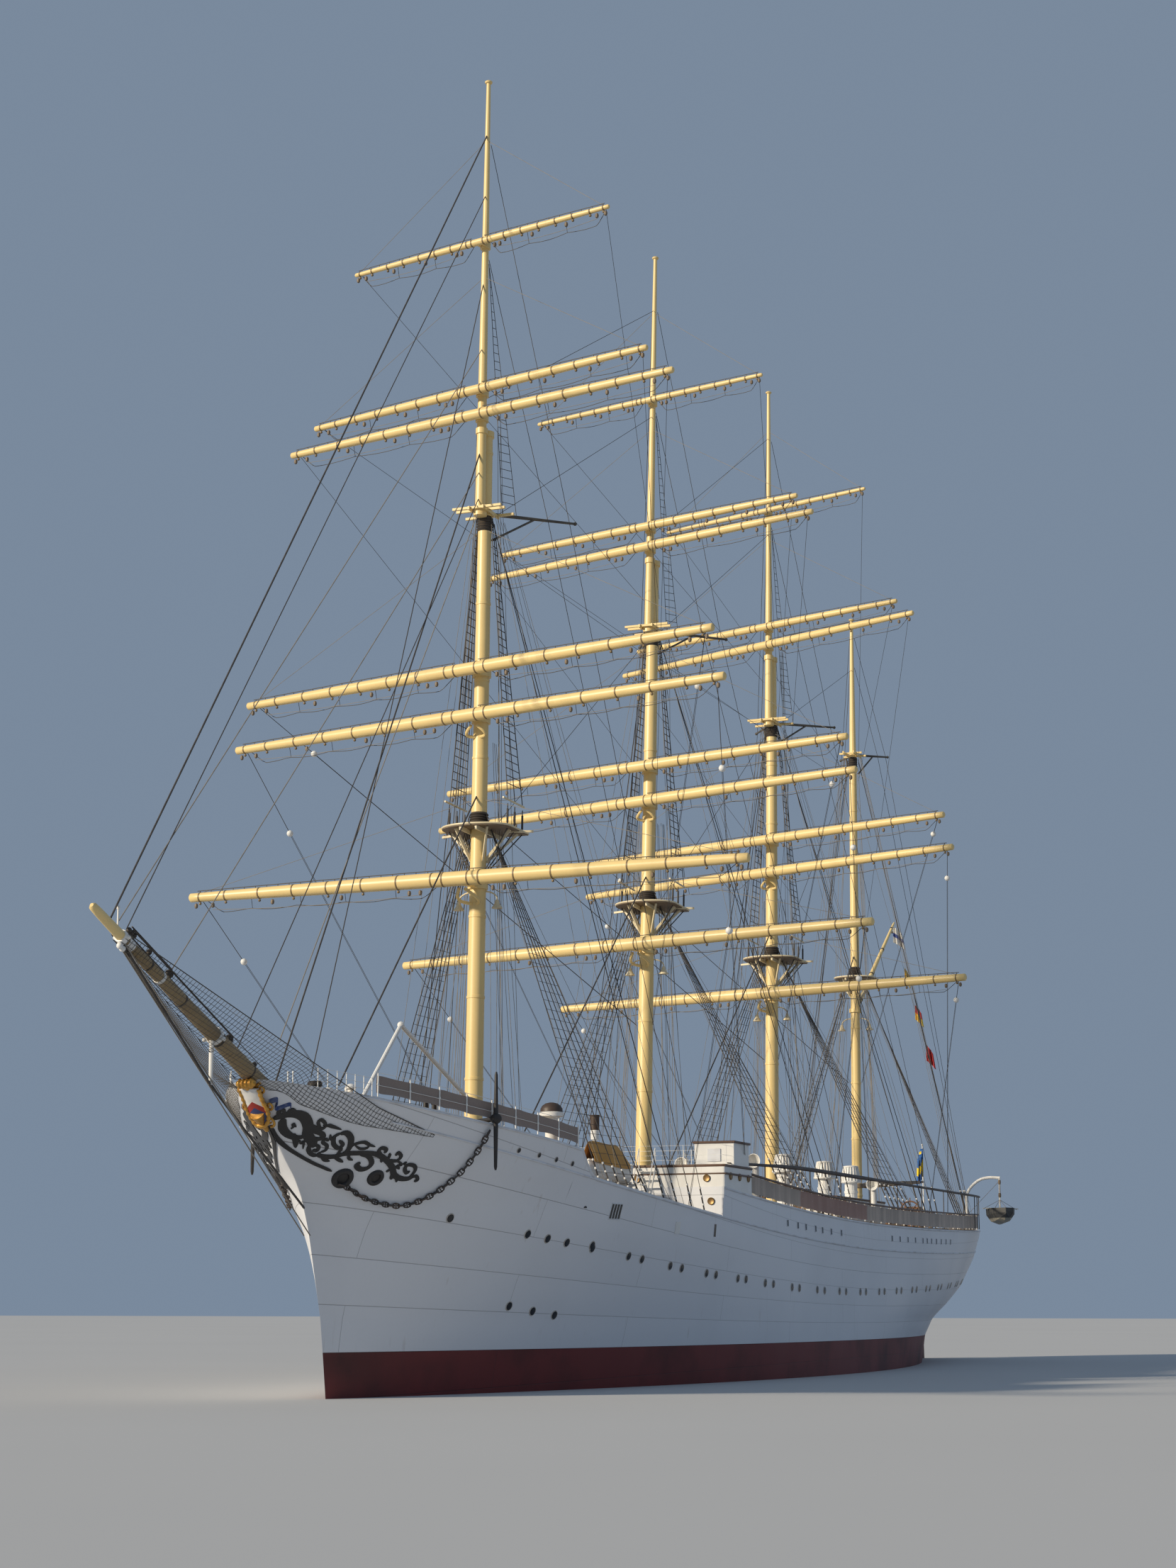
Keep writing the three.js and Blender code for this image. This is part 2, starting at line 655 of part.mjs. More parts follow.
const spritShare = (x) => (x - SPRIT_HEEL[0]) / (SPRIT_TIP[0] - SPRIT_HEEL[0]);
const spritZ = (x) => SPRIT_HEEL[2] + spritShare(x) * (SPRIT_TIP[2] - SPRIT_HEEL[2]);
const spritRadius = (x) => SPRIT_RADIUS + spritShare(x) * (SPRIT_TIP_RADIUS - SPRIT_RADIUS);

const clearForecastle = onlyBetween(
  wholeHull((x) => deckZ(x) - 1, (x) => forecastleZ(x) + 2 * GAP, BLOCK_LEVELS), BREAK_X, 2 * BREAK_X)
  .translate(2 * GAP, 0, 0);
addPiece('bowsprit', without(rod(SPRIT_HEEL, SPRIT_TIP, SPRIT_RADIUS, SPRIT_TIP_RADIUS, 16), clearForecastle), BUFF);
const clearSprit = rod(SPRIT_HEEL, SPRIT_TIP, SPRIT_RADIUS + GAP, SPRIT_TIP_RADIUS + GAP, 16);

// Crest: a shield on a scrolled plate that closes the stem head
const shield = new THREE.Shape();
shield.moveTo(-40, 50);
shield.lineTo(40, 50);
shield.lineTo(40, 0);
shield.quadraticCurveTo(36, -40, 0, -58);
shield.quadraticCurveTo(-36, -40, -40, 0);
const CREST_X = 4668;
const CREST_Z = 985;
const crestGeometry = new THREE.ExtrudeGeometry(shield, { depth: 70, bevelEnabled: false, curveSegments: 6 })
  .rotateX(Math.PI / 2)
  .rotateZ(Math.PI / 2)
  .rotateY(THREE.MathUtils.degToRad(-12))
  .translate(CREST_X - 60, 0, CREST_Z);
addPiece('bow_crest', without(crestGeometry, clearForecastle, clearSprit), GILT);

// Main stays, each a taut wire trimmed where it meets what holds it

function mastPoint(name, z, upper = false) {
  const local = new THREE.Vector3(upper ? UPPER_OFFSET : 0, 0, z);
  return local.applyMatrix4(groups[name].matrixWorld).toArray();
}

const STEM_EYE = [4231, 0, 652];
const BITTS_X = 3985;
const STAYS = [
  ['fore_stay', mastPoint('fore', 2400), [BITTS_X, 0, 1098], [clearOfMast.fore]],
  ['fore_topmast_stay', mastPoint('fore', 3860, true), [4490, 0, spritZ(4490)], [clearOfMast.fore, [clearSprit]]],
  ['fore_royal_stay', mastPoint('fore', 5290, true), [5560, 0, spritZ(5560)], [clearOfMast.fore, [clearSprit]]],
  ['main_stay', mastPoint('main', 2360), [2690, 0, onPlanks(MAIN_DECK, 2690) + 6], [clearOfMast.main]],
  ['mizzen_stay', mastPoint('mizzen', 2330), [770, 0, onPlanks(POOP_DECK, 770) + 6], [clearOfMast.mizzen]],
  ['jigger_stay', mastPoint('jigger', 2400), [-1190, 0, onPlanks(POOP_DECK, -1190) + 6], [clearOfMast.jigger]],
];
for (const [name, from, to, cutters] of STAYS) {
  addPiece(name, without(rod(from, to, STAY_RADIUS, STAY_RADIUS, 8), ...cutters.flat()), WIRE);
}

// Bobstay: from the stem, under the striker's foot, to the bowsprit's end band
const STRIKER_X = 4905;
const STRIKER_LENGTH = 170;
const BOBSTAY_RADIUS = 4.2;
const knee = [STRIKER_X, 0, spritZ(STRIKER_X) - STRIKER_LENGTH];

function bobstayParts(radius) {
  const below = rod([STEM_EYE[0] - 30, 0, STEM_EYE[2] - 15], knee, radius, radius, 8);
  const above = rod(knee, [5540, 0, spritZ(5540)], radius, radius, 8);
  return [below, above, new THREE.IcosahedronGeometry(radius + 0.4, 1).translate(...knee)];
}

const clearHull = wholeHull(() => BOOT_TOP_Z, (x) => deckZ(x) + 1, SIDE_LEVELS).translate(0.6, 0, 0);
addPiece('bobstay',
  without(joined(...bobstayParts(BOBSTAY_RADIUS)), clearForecastle, clearHull, clearSprit), WIRE);
addPiece('dolphin_striker',
  without(rod([STRIKER_X, 0, spritZ(STRIKER_X)], knee, 9, 6), clearSprit, ...bobstayParts(BOBSTAY_RADIUS + GAP)), WHITE);

// Ground tackle and the derrick on the forecastle

const ANCHOR = { x: 3709, stockLowZ: 800, stockHighZ: 1153, shank: 330 };

function anchor(side) {
  const railY = halfBreadth(ANCHOR.x, forecastleZ(ANCHOR.x));
  const lying = (x, y, radius) => [x, y, onPlanks(FORECASTLE_DECK, x) + radius + 2 * GAP];
  const eye = lying(ANCHOR.x, side * (railY + 16), 9);
  const crown = lying(ANCHOR.x - ANCHOR.shank * 0.55, side * (railY - ANCHOR.shank * 0.82), 12);
  const stock = rod([ANCHOR.x, eye[1], ANCHOR.stockLowZ], [ANCHOR.x, eye[1], ANCHOR.stockHighZ], 7, 7, 8);
  const hub = new THREE.IcosahedronGeometry(19, 1).translate(...eye);
  const shank = rod(eye, crown, 9, 12, 8);
  const across = new THREE.Vector3(ANCHOR.shank * 0.82 * side, -ANCHOR.shank * 0.55, 0).normalize();
  const arm = (way) => {
    const tip = lying(crown[0] + way * across.x * 95 + 40, crown[1] + way * across.y * 95 + side * 30, 6);
    return rod(crown, tip, 12, 6, 8);
  };
  return joined(stock, hub, shank, arm(1), arm(-1));
}

addPiece('anchor_port', anchor(1), BLACK);
addPiece('anchor_starboard', anchor(-1), BLACK);

// The rail's canvas opens where each shank crosses it
const notch = (side) => {
  const y = side * halfBreadth(ANCHOR.x, forecastleZ(ANCHOR.x));
  const z = onPlanks(FORECASTLE_DECK, ANCHOR.x) + 16;
  return boxBetween([ANCHOR.x - 60, Math.min(y, y - side * 60), z - 40], [ANCHOR.x + 24, Math.max(y, y - side * 60), z + 18]);
};
addPiece('forecastle_rail_port', without(railBand(FORECASTLE_DECK, forecastleEdge, FORECASTLE_RAIL), notch(1)), CANVAS);
addPiece('forecastle_rail_starboard',
  without(railBand(FORECASTLE_DECK, mirrored(forecastleEdge), FORECASTLE_RAIL), notch(-1)), CANVAS);

// Bitts with the fore stay's foot, and the derrick from the fore mast to its leg
const BITTS_TOP_Z = 1090;
const bittsFoot = footOn(FORECASTLE_DECK, BITTS_X, 13);
addPiece('forecastle_bitts', joined(
  rod([BITTS_X, -38, bittsFoot], [BITTS_X, -38, BITTS_TOP_Z], 13, 13, 12),
  rod([BITTS_X, 38, bittsFoot], [BITTS_X, 38, BITTS_TOP_Z], 13, 13, 12),
  boxBetween([BITTS_X - 12, -60, 1040], [BITTS_X + 12, 60, 1062])), WHITE);

const DERRICK_HEAD = [3480, 0, 1364];
const DERRICK_LEG_X = 3870;
const derrickLegFoot = [DERRICK_LEG_X, 0, footOn(FORECASTLE_DECK, DERRICK_LEG_X, 9) + 4];
addPiece('forecastle_derrick', without(joined(
  rod(mastPoint('fore', 1110), DERRICK_HEAD, 9, 8, 10),
  rod(DERRICK_HEAD, derrickLegFoot, 8, 8, 10),
  new THREE.IcosahedronGeometry(14, 1).translate(...DERRICK_HEAD)), ...clearOfMast.fore), WHITE);

// Steering gear

const RUDDER_AXIS_X = -4005;
const RUDDER_STOCK_RADIUS = 13.5;
const RUDDER_TOP_Z = 242.4;
const blade = new THREE.Shape();
blade.moveTo(RUDDER_AXIS_X, -438);
blade.lineTo(-4122, -420);
blade.quadraticCurveTo(-4150, -300, -4146, -60);
blade.lineTo(-4130, 140);
blade.lineTo(-4060, 205);
blade.lineTo(RUDDER_AXIS_X, 205);
const bladeGeometry = new THREE.ExtrudeGeometry(blade, { depth: 14, bevelEnabled: false, curveSegments: 5 })
  .rotateX(Math.PI / 2).translate(0, 7, 0);
addPiece('rudder', joined(bladeGeometry,
  rod([RUDDER_AXIS_X, 0, -442], [RUDDER_AXIS_X, 0, RUDDER_TOP_Z], RUDDER_STOCK_RADIUS, RUDDER_STOCK_RADIUS, 16)), RED);

const WHEEL = { x: -3900, radius: 85, rise: 112 };
const wheelZ = onPlanks(POOP_DECK, WHEEL.x) + WHEEL.rise;
addPiece('wheel_box', joined(
  deckBox(POOP_DECK, WHEEL.x - 120, WHEEL.x - 20, 55, wheelZ + 20, ON_PLANKS),
  boxBetween([WHEEL.x - 110, -48, wheelZ + 10], [WHEEL.x - 30, 48, wheelZ + 30])), TEAK);

const rim = new THREE.TorusGeometry(WHEEL.radius - 22, 5, 6, 16);
const hub = new THREE.CylinderGeometry(14, 14, 20, 12).rotateX(Math.PI / 2);
const axle = new THREE.CylinderGeometry(6, 6, 20, 12).rotateX(Math.PI / 2).translate(0, 0, -9.7);
const spokes = Array.from({ length: 4 }, (_, i) => {
  return new THREE.CylinderGeometry(3, 3, 2 * WHEEL.radius, 6).rotateZ((i * Math.PI) / 4);
});
const wheelGeometry = joined(rim, hub, axle, ...spokes).rotateX(Math.PI / 2).rotateZ(Math.PI / 2);
addPiece('steering_wheel', wheelGeometry, TEAK).position.set(WHEEL.x, 0, wheelZ);

// Quarter davit and the boat that hangs from it outboard

const DAVIT = { x: -3160, footY: 545, headY: 745, headZ: 1068, radius: 9 };
const DINGHY = { topZ: 888, length: 420, halfWidth: 76, depth: 92, heading: 22 };
const davitFootZ = footOn(POOP_DECK, DAVIT.x, DAVIT.radius);

const davitCurve = new THREE.CatmullRomCurve3([
  new THREE.Vector3(DAVIT.x, DAVIT.footY, davitFootZ),
  new THREE.Vector3(DAVIT.x, DAVIT.footY, davitFootZ + 120),
  new THREE.Vector3(DAVIT.x, DAVIT.footY + 8, davitFootZ + 220),
  new THREE.Vector3(DAVIT.x, DAVIT.footY + 75, DAVIT.headZ - 12),
  new THREE.Vector3(DAVIT.x, DAVIT.headY - 60, DAVIT.headZ + 4),
  new THREE.Vector3(DAVIT.x, DAVIT.headY + 4, DAVIT.headZ),
]);
const davitSection = new THREE.Shape();
davitSection.absarc(0, 0, DAVIT.radius, 0, Math.PI * 2);
const davitArm = new THREE.ExtrudeGeometry(davitSection, {
  extrudePath: davitCurve, steps: 20, curveSegments: 5, bevelEnabled: false,
});
const davitFall = rod([DAVIT.x, DAVIT.headY, DAVIT.headZ], [DAVIT.x, DAVIT.headY, DINGHY.topZ + GAP], 5, 5, 8);
addPiece('quarter_davit', joined(davitArm, davitFall), WHITE);

const dinghyStations = Array.from({ length: 11 }, (_, i) => i / 5 - 1);
const dinghyRings = dinghyStations.map((share) => {
  const fullness = Math.sqrt(Math.max(1 - Math.abs(share) ** 2.6, 0.0004));
  const along = (share * DINGHY.length) / 2;
  const [w, d] = [DINGHY.halfWidth * fullness, DINGHY.depth * (0.35 + 0.65 * fullness)];
  const ring = [[w, 0], [w * 0.97, -d * 0.4], [w * 0.6, -d * 0.82], [0, -d]];
  return [...ring, ...ring.slice(0, 3).toReversed().map(([y, z]) => [-y, z])].map(([y, z]) => [along, y, z]);
});
const dinghy = addPiece('dinghy', ringSolid(dinghyRings), BLACK);
dinghy.position.set(DAVIT.x, DAVIT.headY, DINGHY.topZ);
dinghy.rotation.z = THREE.MathUtils.degToRad(DINGHY.heading);

export default ship;
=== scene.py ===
import bmesh
import bpy
import numpy as np
from mathutils import Matrix, Vector
from numpy import arange, array, broadcast_to, clip, column_stack, concatenate, cos, cross, diff, full, interp
from numpy import linspace, maximum, minimum, pi, radians, repeat, sign, sin, sqrt, stack, where


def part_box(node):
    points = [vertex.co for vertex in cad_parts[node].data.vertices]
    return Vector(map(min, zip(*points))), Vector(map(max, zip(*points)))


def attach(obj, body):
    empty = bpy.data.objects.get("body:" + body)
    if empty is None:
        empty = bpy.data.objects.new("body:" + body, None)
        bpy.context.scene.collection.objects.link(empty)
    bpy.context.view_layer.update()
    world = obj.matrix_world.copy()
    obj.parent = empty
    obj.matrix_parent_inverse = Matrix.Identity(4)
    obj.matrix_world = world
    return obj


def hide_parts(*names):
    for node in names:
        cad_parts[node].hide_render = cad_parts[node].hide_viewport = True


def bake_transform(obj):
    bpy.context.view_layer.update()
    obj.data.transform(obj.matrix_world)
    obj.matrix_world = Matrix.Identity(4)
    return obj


# A four-masted barque at one tenth of its real size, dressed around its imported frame.
# Metres of the model: +X is forward, +Y to port, +Z up, and the water is at z 0.

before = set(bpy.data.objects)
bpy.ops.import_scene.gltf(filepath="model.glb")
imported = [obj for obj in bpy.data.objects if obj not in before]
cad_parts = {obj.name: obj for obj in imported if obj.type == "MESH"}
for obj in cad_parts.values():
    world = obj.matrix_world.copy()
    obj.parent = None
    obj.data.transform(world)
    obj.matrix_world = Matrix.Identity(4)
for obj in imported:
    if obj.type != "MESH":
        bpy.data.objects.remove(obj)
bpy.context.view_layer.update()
print("frame loaded:", len(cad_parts), "nodes")

# Camera at the photograph's viewing angle, low over the water off the port bow

camera = dict(place=(12.5668, 4.3873, 0.3211), yaw=-158.25, pitch=11.095, roll=0.056, lens=61.09)


def aimCamera():
    yaw, pitch, roll = radians([camera["yaw"], camera["pitch"], camera["roll"]])
    ahead = array([cos(yaw) * cos(pitch), sin(yaw) * cos(pitch), sin(pitch)])
    level = array([sin(yaw), -cos(yaw), 0.0])
    top = cross(level, ahead)
    right = level * cos(roll) + top * sin(roll)
    up = top * cos(roll) - level * sin(roll)
    data = bpy.data.cameras.new("camera")
    data.lens = camera["lens"]
    data.sensor_width = 36
    data.clip_start, data.clip_end = 0.05, 500
    made = bpy.data.objects.new("camera", data)
    bpy.context.scene.collection.objects.link(made)
    turned = np.eye(4)
    turned[:3, 0], turned[:3, 1], turned[:3, 2], turned[:3, 3] = right, up, -ahead, camera["place"]
    made.matrix_world = Matrix(turned.tolist())
    bpy.context.scene.camera = made


aimCamera()

# Surfaces: every shape is worked out as arrays of points, and its faces are quads


def unit(vectors):
    vectors = np.asarray(vectors, float)
    return vectors / maximum(np.linalg.norm(vectors, axis=-1, keepdims=True), 1e-12)


def squareTo(along):
    # two unit vectors square to each direction and to each other
    steep = np.abs(along[..., 2:3]) > 0.9
    helper = where(steep, [1.0, 0.0, 0.0], [0.0, 0.0, 1.0])
    across = unit(cross(helper, along))
    return across, cross(along, across)


def turnsOf(sides):
    # angles of the corners of a ring
    return (arange(sides) + 0.5) * (2 * pi / sides)


def ringOf(across, up, sides):
    # points of a unit circle: cos(turn) times across plus sin(turn) times up
    turn = turnsOf(sides)[:, None]
    return cos(turn) * across[..., None, :] + sin(turn) * up[..., None, :]


def xyz(*parts):
    return stack(np.broadcast_arrays(*parts), -1)


def runAlong(path):
    # the length of a path up to each of its points
    return concatenate([[0], np.linalg.norm(diff(path, axis=0), axis=1).cumsum()])


def pointsAt(at, run, path):
    return stack([interp(at, run, path[:, n]) for n in range(3)], -1)


def closedTubes(points, meeting=False):
    # tubes from points[tube, ring, corner]: capped at both ends, or with the last ring meeting the first
    count, rings, sides = points.shape[:3]
    i, j = np.meshgrid(arange(rings if meeting else rings - 1), arange(sides), indexing="ij")
    k, n = (j + 1) % sides, (i + 1) % rings
    one = stack([i * sides + j, i * sides + k, n * sides + k, n * sides + j], -1).reshape(-1, 4)
    if not meeting:
        m = arange(1, sides // 2)
        cap = stack([0 * m, 2 * m - 1, 2 * m, 2 * m + 1], -1)
        one = concatenate([one, cap[:, ::-1], cap + (rings - 1) * sides])
    quads = one[None] + (arange(count) * rings * sides)[:, None, None]
    return points.reshape(-1, 3), quads.reshape(-1, 4)


def closedLoops(points):
    return closedTubes(points, True)


def sweeps(paths, radius, sides=6):
    # a round tube along each path; the radius may differ along it or from path to path
    paths = np.asarray(paths, float)
    if paths.ndim == 2:
        paths = paths[None]
    along = unit(np.gradient(paths, axis=1))
    steep = np.abs(unit(paths[:, -1] - paths[:, 0])[:, None, 2:3]) > 0.9
    helper = where(steep, [1.0, 0.0, 0.0], [0.0, 0.0, 1.0])
    across = unit(cross(broadcast_to(helper, along.shape), along))
    ring = ringOf(across, cross(along, across), sides)
    radius = np.asarray(radius, float)
    if radius.ndim == 1:
        radius = radius[:, None] if len(radius) == len(paths) and len(paths) > 1 else radius[None]
    reach = broadcast_to(radius, paths.shape[:2])[..., None, None]
    return closedTubes(paths[:, :, None] + ring * reach)


def wires(starts, ends, radius, sides=6):
    # straight rods from each start to each end
    starts, ends = np.broadcast_arrays(np.atleast_2d(starts).astype(float), np.atleast_2d(ends))
    return sweeps(stack([starts, ends], 1), radius, sides)


def sagging(starts, ends, sag, count=12):
    # lines between two points that hang below the straight one by sag * 4 t (1 - t)
    starts, ends = np.broadcast_arrays(np.atleast_2d(starts).astype(float), np.atleast_2d(ends))
    t = linspace(0, 1, count)[None, :, None]
    lines = starts[:, None] * (1 - t) + ends[:, None] * t
    lines[..., 2] -= (np.asarray(sag) * 4 * t * (1 - t))[..., 0]
    return lines


def turned(profile, bases, axes=(0, 0, 1), sides=24):
    # solids of revolution: pairs of radius and reach along the axis, from each base point
    radius, reach = array(profile, float).T
    bases = np.atleast_2d(bases).astype(float)
    axes = broadcast_to(unit(np.atleast_2d(axes)), bases.shape)
    ring = ringOf(*squareTo(axes), sides)
    middle = bases[:, None] + axes[:, None] * reach[None, :, None]
    return closedTubes(middle[:, :, None] + ring[:, None] * radius[None, :, None, None])


def balls(centres, radius, rings=7, sides=10):
    # round beads: radius sin(turn) at reach -cos(turn)
    turn = linspace(0.12, pi - 0.12, rings)
    return turned(stack([sin(turn), -cos(turn)], -1) * radius, centres, sides=sides)


def blocksAt(lows, highs):
    # boxes with faces square to the axes
    lows, highs = np.atleast_2d(lows).astype(float), np.atleast_2d(highs).astype(float)
    corner = array([[0, 0], [1, 0], [1, 1], [0, 1]])
    flat = concatenate([np.tile(corner, (2, 1)), repeat([0, 1], 4)[:, None]], 1)
    points = lows[:, None] + (highs - lows)[:, None] * flat[None]
    return closedTubes(points.reshape(len(lows), 2, 4, 3))


def bar(start, end, width, height):
    # a straight bar of rectangular section, as two rings of four corners
    start, end = np.atleast_2d(start).astype(float), np.atleast_2d(end).astype(float)
    across, up = squareTo(unit(end - start))
    corner = array([[-1, -1], [1, -1], [1, 1], [-1, 1]]) * [width / 2, height / 2]
    ring = corner[None, :, :1] * across[:, None] + corner[None, :, 1:] * up[:, None]
    return closedTubes(stack([start[:, None] + ring, end[:, None] + ring], 1))


def gridSheet(points, thickness):
    # a thin closed sheet over points[row, column], moved each way along its normals
    rowWay, columnWay = np.gradient(points, axis=0), np.gradient(points, axis=1)
    normal = unit(cross(rowWay, columnWay))
    rows, columns = points.shape[:2]
    front, back = points + normal * thickness / 2, points - normal * thickness / 2
    i, j = np.meshgrid(arange(rows - 1), arange(columns - 1), indexing="ij")
    face = stack([i * columns + j, (i + 1) * columns + j, (i + 1) * columns + j + 1, i * columns + j + 1],
                 -1)
    face = face.reshape(-1, 4)
    number = arange(rows * columns).reshape(rows, columns)
    edge = concatenate([number[:-1, 0], number[-1, :-1], number[:0:-1, -1], number[0, :0:-1]])
    following = np.roll(edge, -1)
    total = rows * columns
    rim = stack([edge, edge + total, following + total, following], -1)
    return concatenate([front, back]).reshape(-1, 3), concatenate([face, face[:, ::-1] + total, rim])


def mirrored(part):
    return part[0] * [1, -1, 1], part[1][:, ::-1]


def handed(part, side):
    # points laid on the starboard side by a minus sign need their faces turned round
    return part if side > 0 else (part[0], part[1][:, ::-1])


def addPiece(name, parts, finish, body="root", stands=(), slotName=None, smooth=40, weld=False, uv=None):
    starts = np.cumsum([0] + [len(points) for points, _ in parts[:-1]])
    points = concatenate([points for points, _ in parts]).astype(np.float32)
    quads = concatenate([quads + start for (_, quads), start in zip(parts, starts)]).astype(np.int32)
    mesh = bpy.data.meshes.new(name)
    mesh.vertices.add(len(points))
    mesh.vertices.foreach_set("co", points.ravel())
    mesh.loops.add(quads.size)
    mesh.loops.foreach_set("vertex_index", quads.ravel())
    mesh.polygons.add(len(quads))
    mesh.polygons.foreach_set("loop_start", arange(0, quads.size, 4, dtype=np.int32))
    mesh.update(calc_edges=True)
    if uv is not None:
        layer = mesh.uv_layers.new(name="surface")
        layer.data.foreach_set("uv", uv.astype(np.float32)[quads.ravel()].ravel())
    if weld:
        work = bmesh.new()
        work.from_mesh(mesh)
        bmesh.ops.remove_doubles(work, verts=work.verts, dist=2e-5)
        bmesh.ops.dissolve_degenerate(work, edges=work.edges, dist=1e-6)
        bmesh.ops.recalc_face_normals(work, faces=work.faces)
        work.to_mesh(mesh)
        work.free()
    mesh.shade_smooth()
    mesh.set_sharp_from_angle(angle=radians(smooth))
    made = bpy.data.objects.new(name, mesh)
    bpy.context.scene.collection.objects.link(made)
    mesh.materials.append(finishes[finish])
    if body:
        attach(made, body)
    if stands:
        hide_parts(*stands)
    slotName = slotName or slotOf.get(finish)
    return made


def rounded(piece, width, segments=2):
    bevel = piece.modifiers.new("rounded edges", "BEVEL")
    bevel.width = width
    bevel.segments = segments
    bevel.limit_method = "ANGLE"
    return piece


# Materials: shared effects are node groups, and each finish places them with its own values


def addNode(tree, kind, settings=None, **inputs):
    made = tree.nodes.new("ShaderNode" + kind)
    for name, value in (settings or {}).items():
        setattr(made, name, value)
    for name, value in inputs.items():
        socket = made.inputs[int(name[1:]) if name[1:].isdigit() and name[0] == "i" else name]
        if isinstance(value, bpy.types.NodeSocket):
            tree.links.new(value, socket)
        else:
            socket.default_value = value
    return made


def newGroup(name, given, results):
    # a tuple makes a colour input and a number a plain one; the result named Color is a colour
    group = bpy.data.node_groups.new(name, "ShaderNodeTree")
    for label, value in given.items():
        kind = "NodeSocketColor" if isinstance(value, tuple) else "NodeSocketFloat"
        group.interface.new_socket(label, in_out="INPUT", socket_type=kind).default_value = value
    for label in results:
        kind = "NodeSocketColor" if label == "Color" else "NodeSocketFloat"
        group.interface.new_socket(label, in_out="OUTPUT", socket_type=kind)
    return group, group.nodes.new("NodeGroupInput").outputs


def putOut(group, *sockets):
    # the sockets reach the group's results in order
    out = group.nodes.new("NodeGroupOutput")
    for number, socket in enumerate(sockets):
        group.links.new(socket, out.inputs[number])
    return group


def mixColour(tree, share, first, second, blend="MIX"):
    return addNode(tree, "Mix", dict(data_type="RGBA", blend_type=blend), i0=share, i6=first,
                   i7=second).outputs[2]


def maths(tree, operation, *values):
    inputs = {f"i{n}": value for n, value in enumerate(values)}
    return addNode(tree, "Math", dict(operation=operation), **inputs).outputs[0]


def times(tree, first, second):
    return maths(tree, "MULTIPLY", first, second)


def ramp(tree, value, low, high):
    return addNode(tree, "MapRange", None, i0=value, i1=low, i2=high).outputs[0]


def noise(tree, vector, scale, detail=4.0):
    return addNode(tree, "TexNoise", None, Vector=vector, Scale=scale, Detail=detail).outputs["Fac"]


def stretched(tree, vector, scale):
    return addNode(tree, "Mapping", None, Vector=vector, Scale=scale).outputs[0]


def drawn(tree, vector, scale, detail):
    # noise drawn out along the axes whose scale is small
    return noise(tree, stretched(tree, vector, scale), 1.0, detail)


def objectPoint(tree):
    return tree.nodes.new("ShaderNodeTexCoord").outputs["Object"]


def ownMap(tree):
    return tree.nodes.new("ShaderNodeTexCoord").outputs["UV"]


def axesOf(tree, vector):
    return addNode(tree, "SeparateXYZ", None, i0=vector).outputs


def bricks(tree, place, offset, length, height, mortar, soft, greys):
    # rows of long blocks, with the greys of the two kinds of block and of the gap between them
    tones = {label: (grey, grey, grey, 1) for label, grey in zip(("Color1", "Color2", "Mortar"), greys)}
    sizes = {"Brick Width": length, "Row Height": height, "Mortar Size": mortar, "Mortar Smooth": soft}
    return addNode(tree, "TexBrick", dict(offset=offset), Vector=place, Scale=1.0, **tones, **sizes).outputs


def paintGroup():
    # patches and fine mottling, with runs of rust that hang straight down
    group, given = newGroup("worn paint", {"Paint": (0.8, 0.8, 0.8, 1), "Grime": (0.3, 0.25, 0.2, 1),
        "Rust": (0.25, 0.1, 0.04, 1), "Patch Scale": 6.0, "Grime Share": 0.3, "Rust Share": 0.2,
        "Gloss": 0.4}, ["Color", "Roughness", "Height"])
    place = objectPoint(group)
    patch = noise(group, place, given["Patch Scale"], 6.0)
    fine = noise(group, place, 90.0, 3.0)
    runs = drawn(group, place, (42.0, 42.0, 2.2), 5.0)
    grime = times(group, ramp(group, patch, 0.45, 0.72), given["Grime Share"])
    rust = times(group, ramp(group, runs, 0.62, 0.78),
                 ramp(group, noise(group, place, 3.2, 2.0), 0.5, 0.66))
    rust = times(group, rust, given["Rust Share"])
    coloured = mixColour(group, grime, given["Paint"], given["Grime"])
    coloured = mixColour(group, rust, coloured, given["Rust"])
    shade = ramp(group, fine, 0.0, 1.0)
    grey = addNode(group, "CombineColor", None, i0=shade, i1=shade, i2=shade).outputs[0]
    rough = maths(group, "MULTIPLY_ADD", patch, 0.22, given["Gloss"])
    return putOut(group, mixColour(group, 0.06, coloured, grey, "OVERLAY"),
                  maths(group, "ADD", rough, times(group, rust, 0.4)),
                  maths(group, "ADD", times(group, fine, 0.4), patch))


def plateGroup():
    # riveted plates on the surface's own map: seams along the ship, butts across them
    group, given = newGroup("hull plates", {"Plate Length": 1.6, "Plate Height": 0.11, "Seam": 0.0012},
                            ["Seam Mask", "Height", "Tone"])
    place = ownMap(group)
    plate = bricks(group, place, 0.5, given["Plate Length"], given["Plate Height"], given["Seam"], 0.6,
                   (0, 1, 0.5))
    buckle = drawn(group, place, (3.0, 11.0, 1.0), 2.0)
    raised = maths(group, "MULTIPLY_ADD", buckle, 0.9, times(group, plate["Color"], 0.25))
    wobble = times(group, noise(group, place, 2.0, 1.0), 0.5)
    return putOut(group, plate["Fac"], maths(group, "SUBTRACT", raised, plate["Fac"]),
                  maths(group, "MULTIPLY_ADD", plate["Color"], 0.5, wobble))


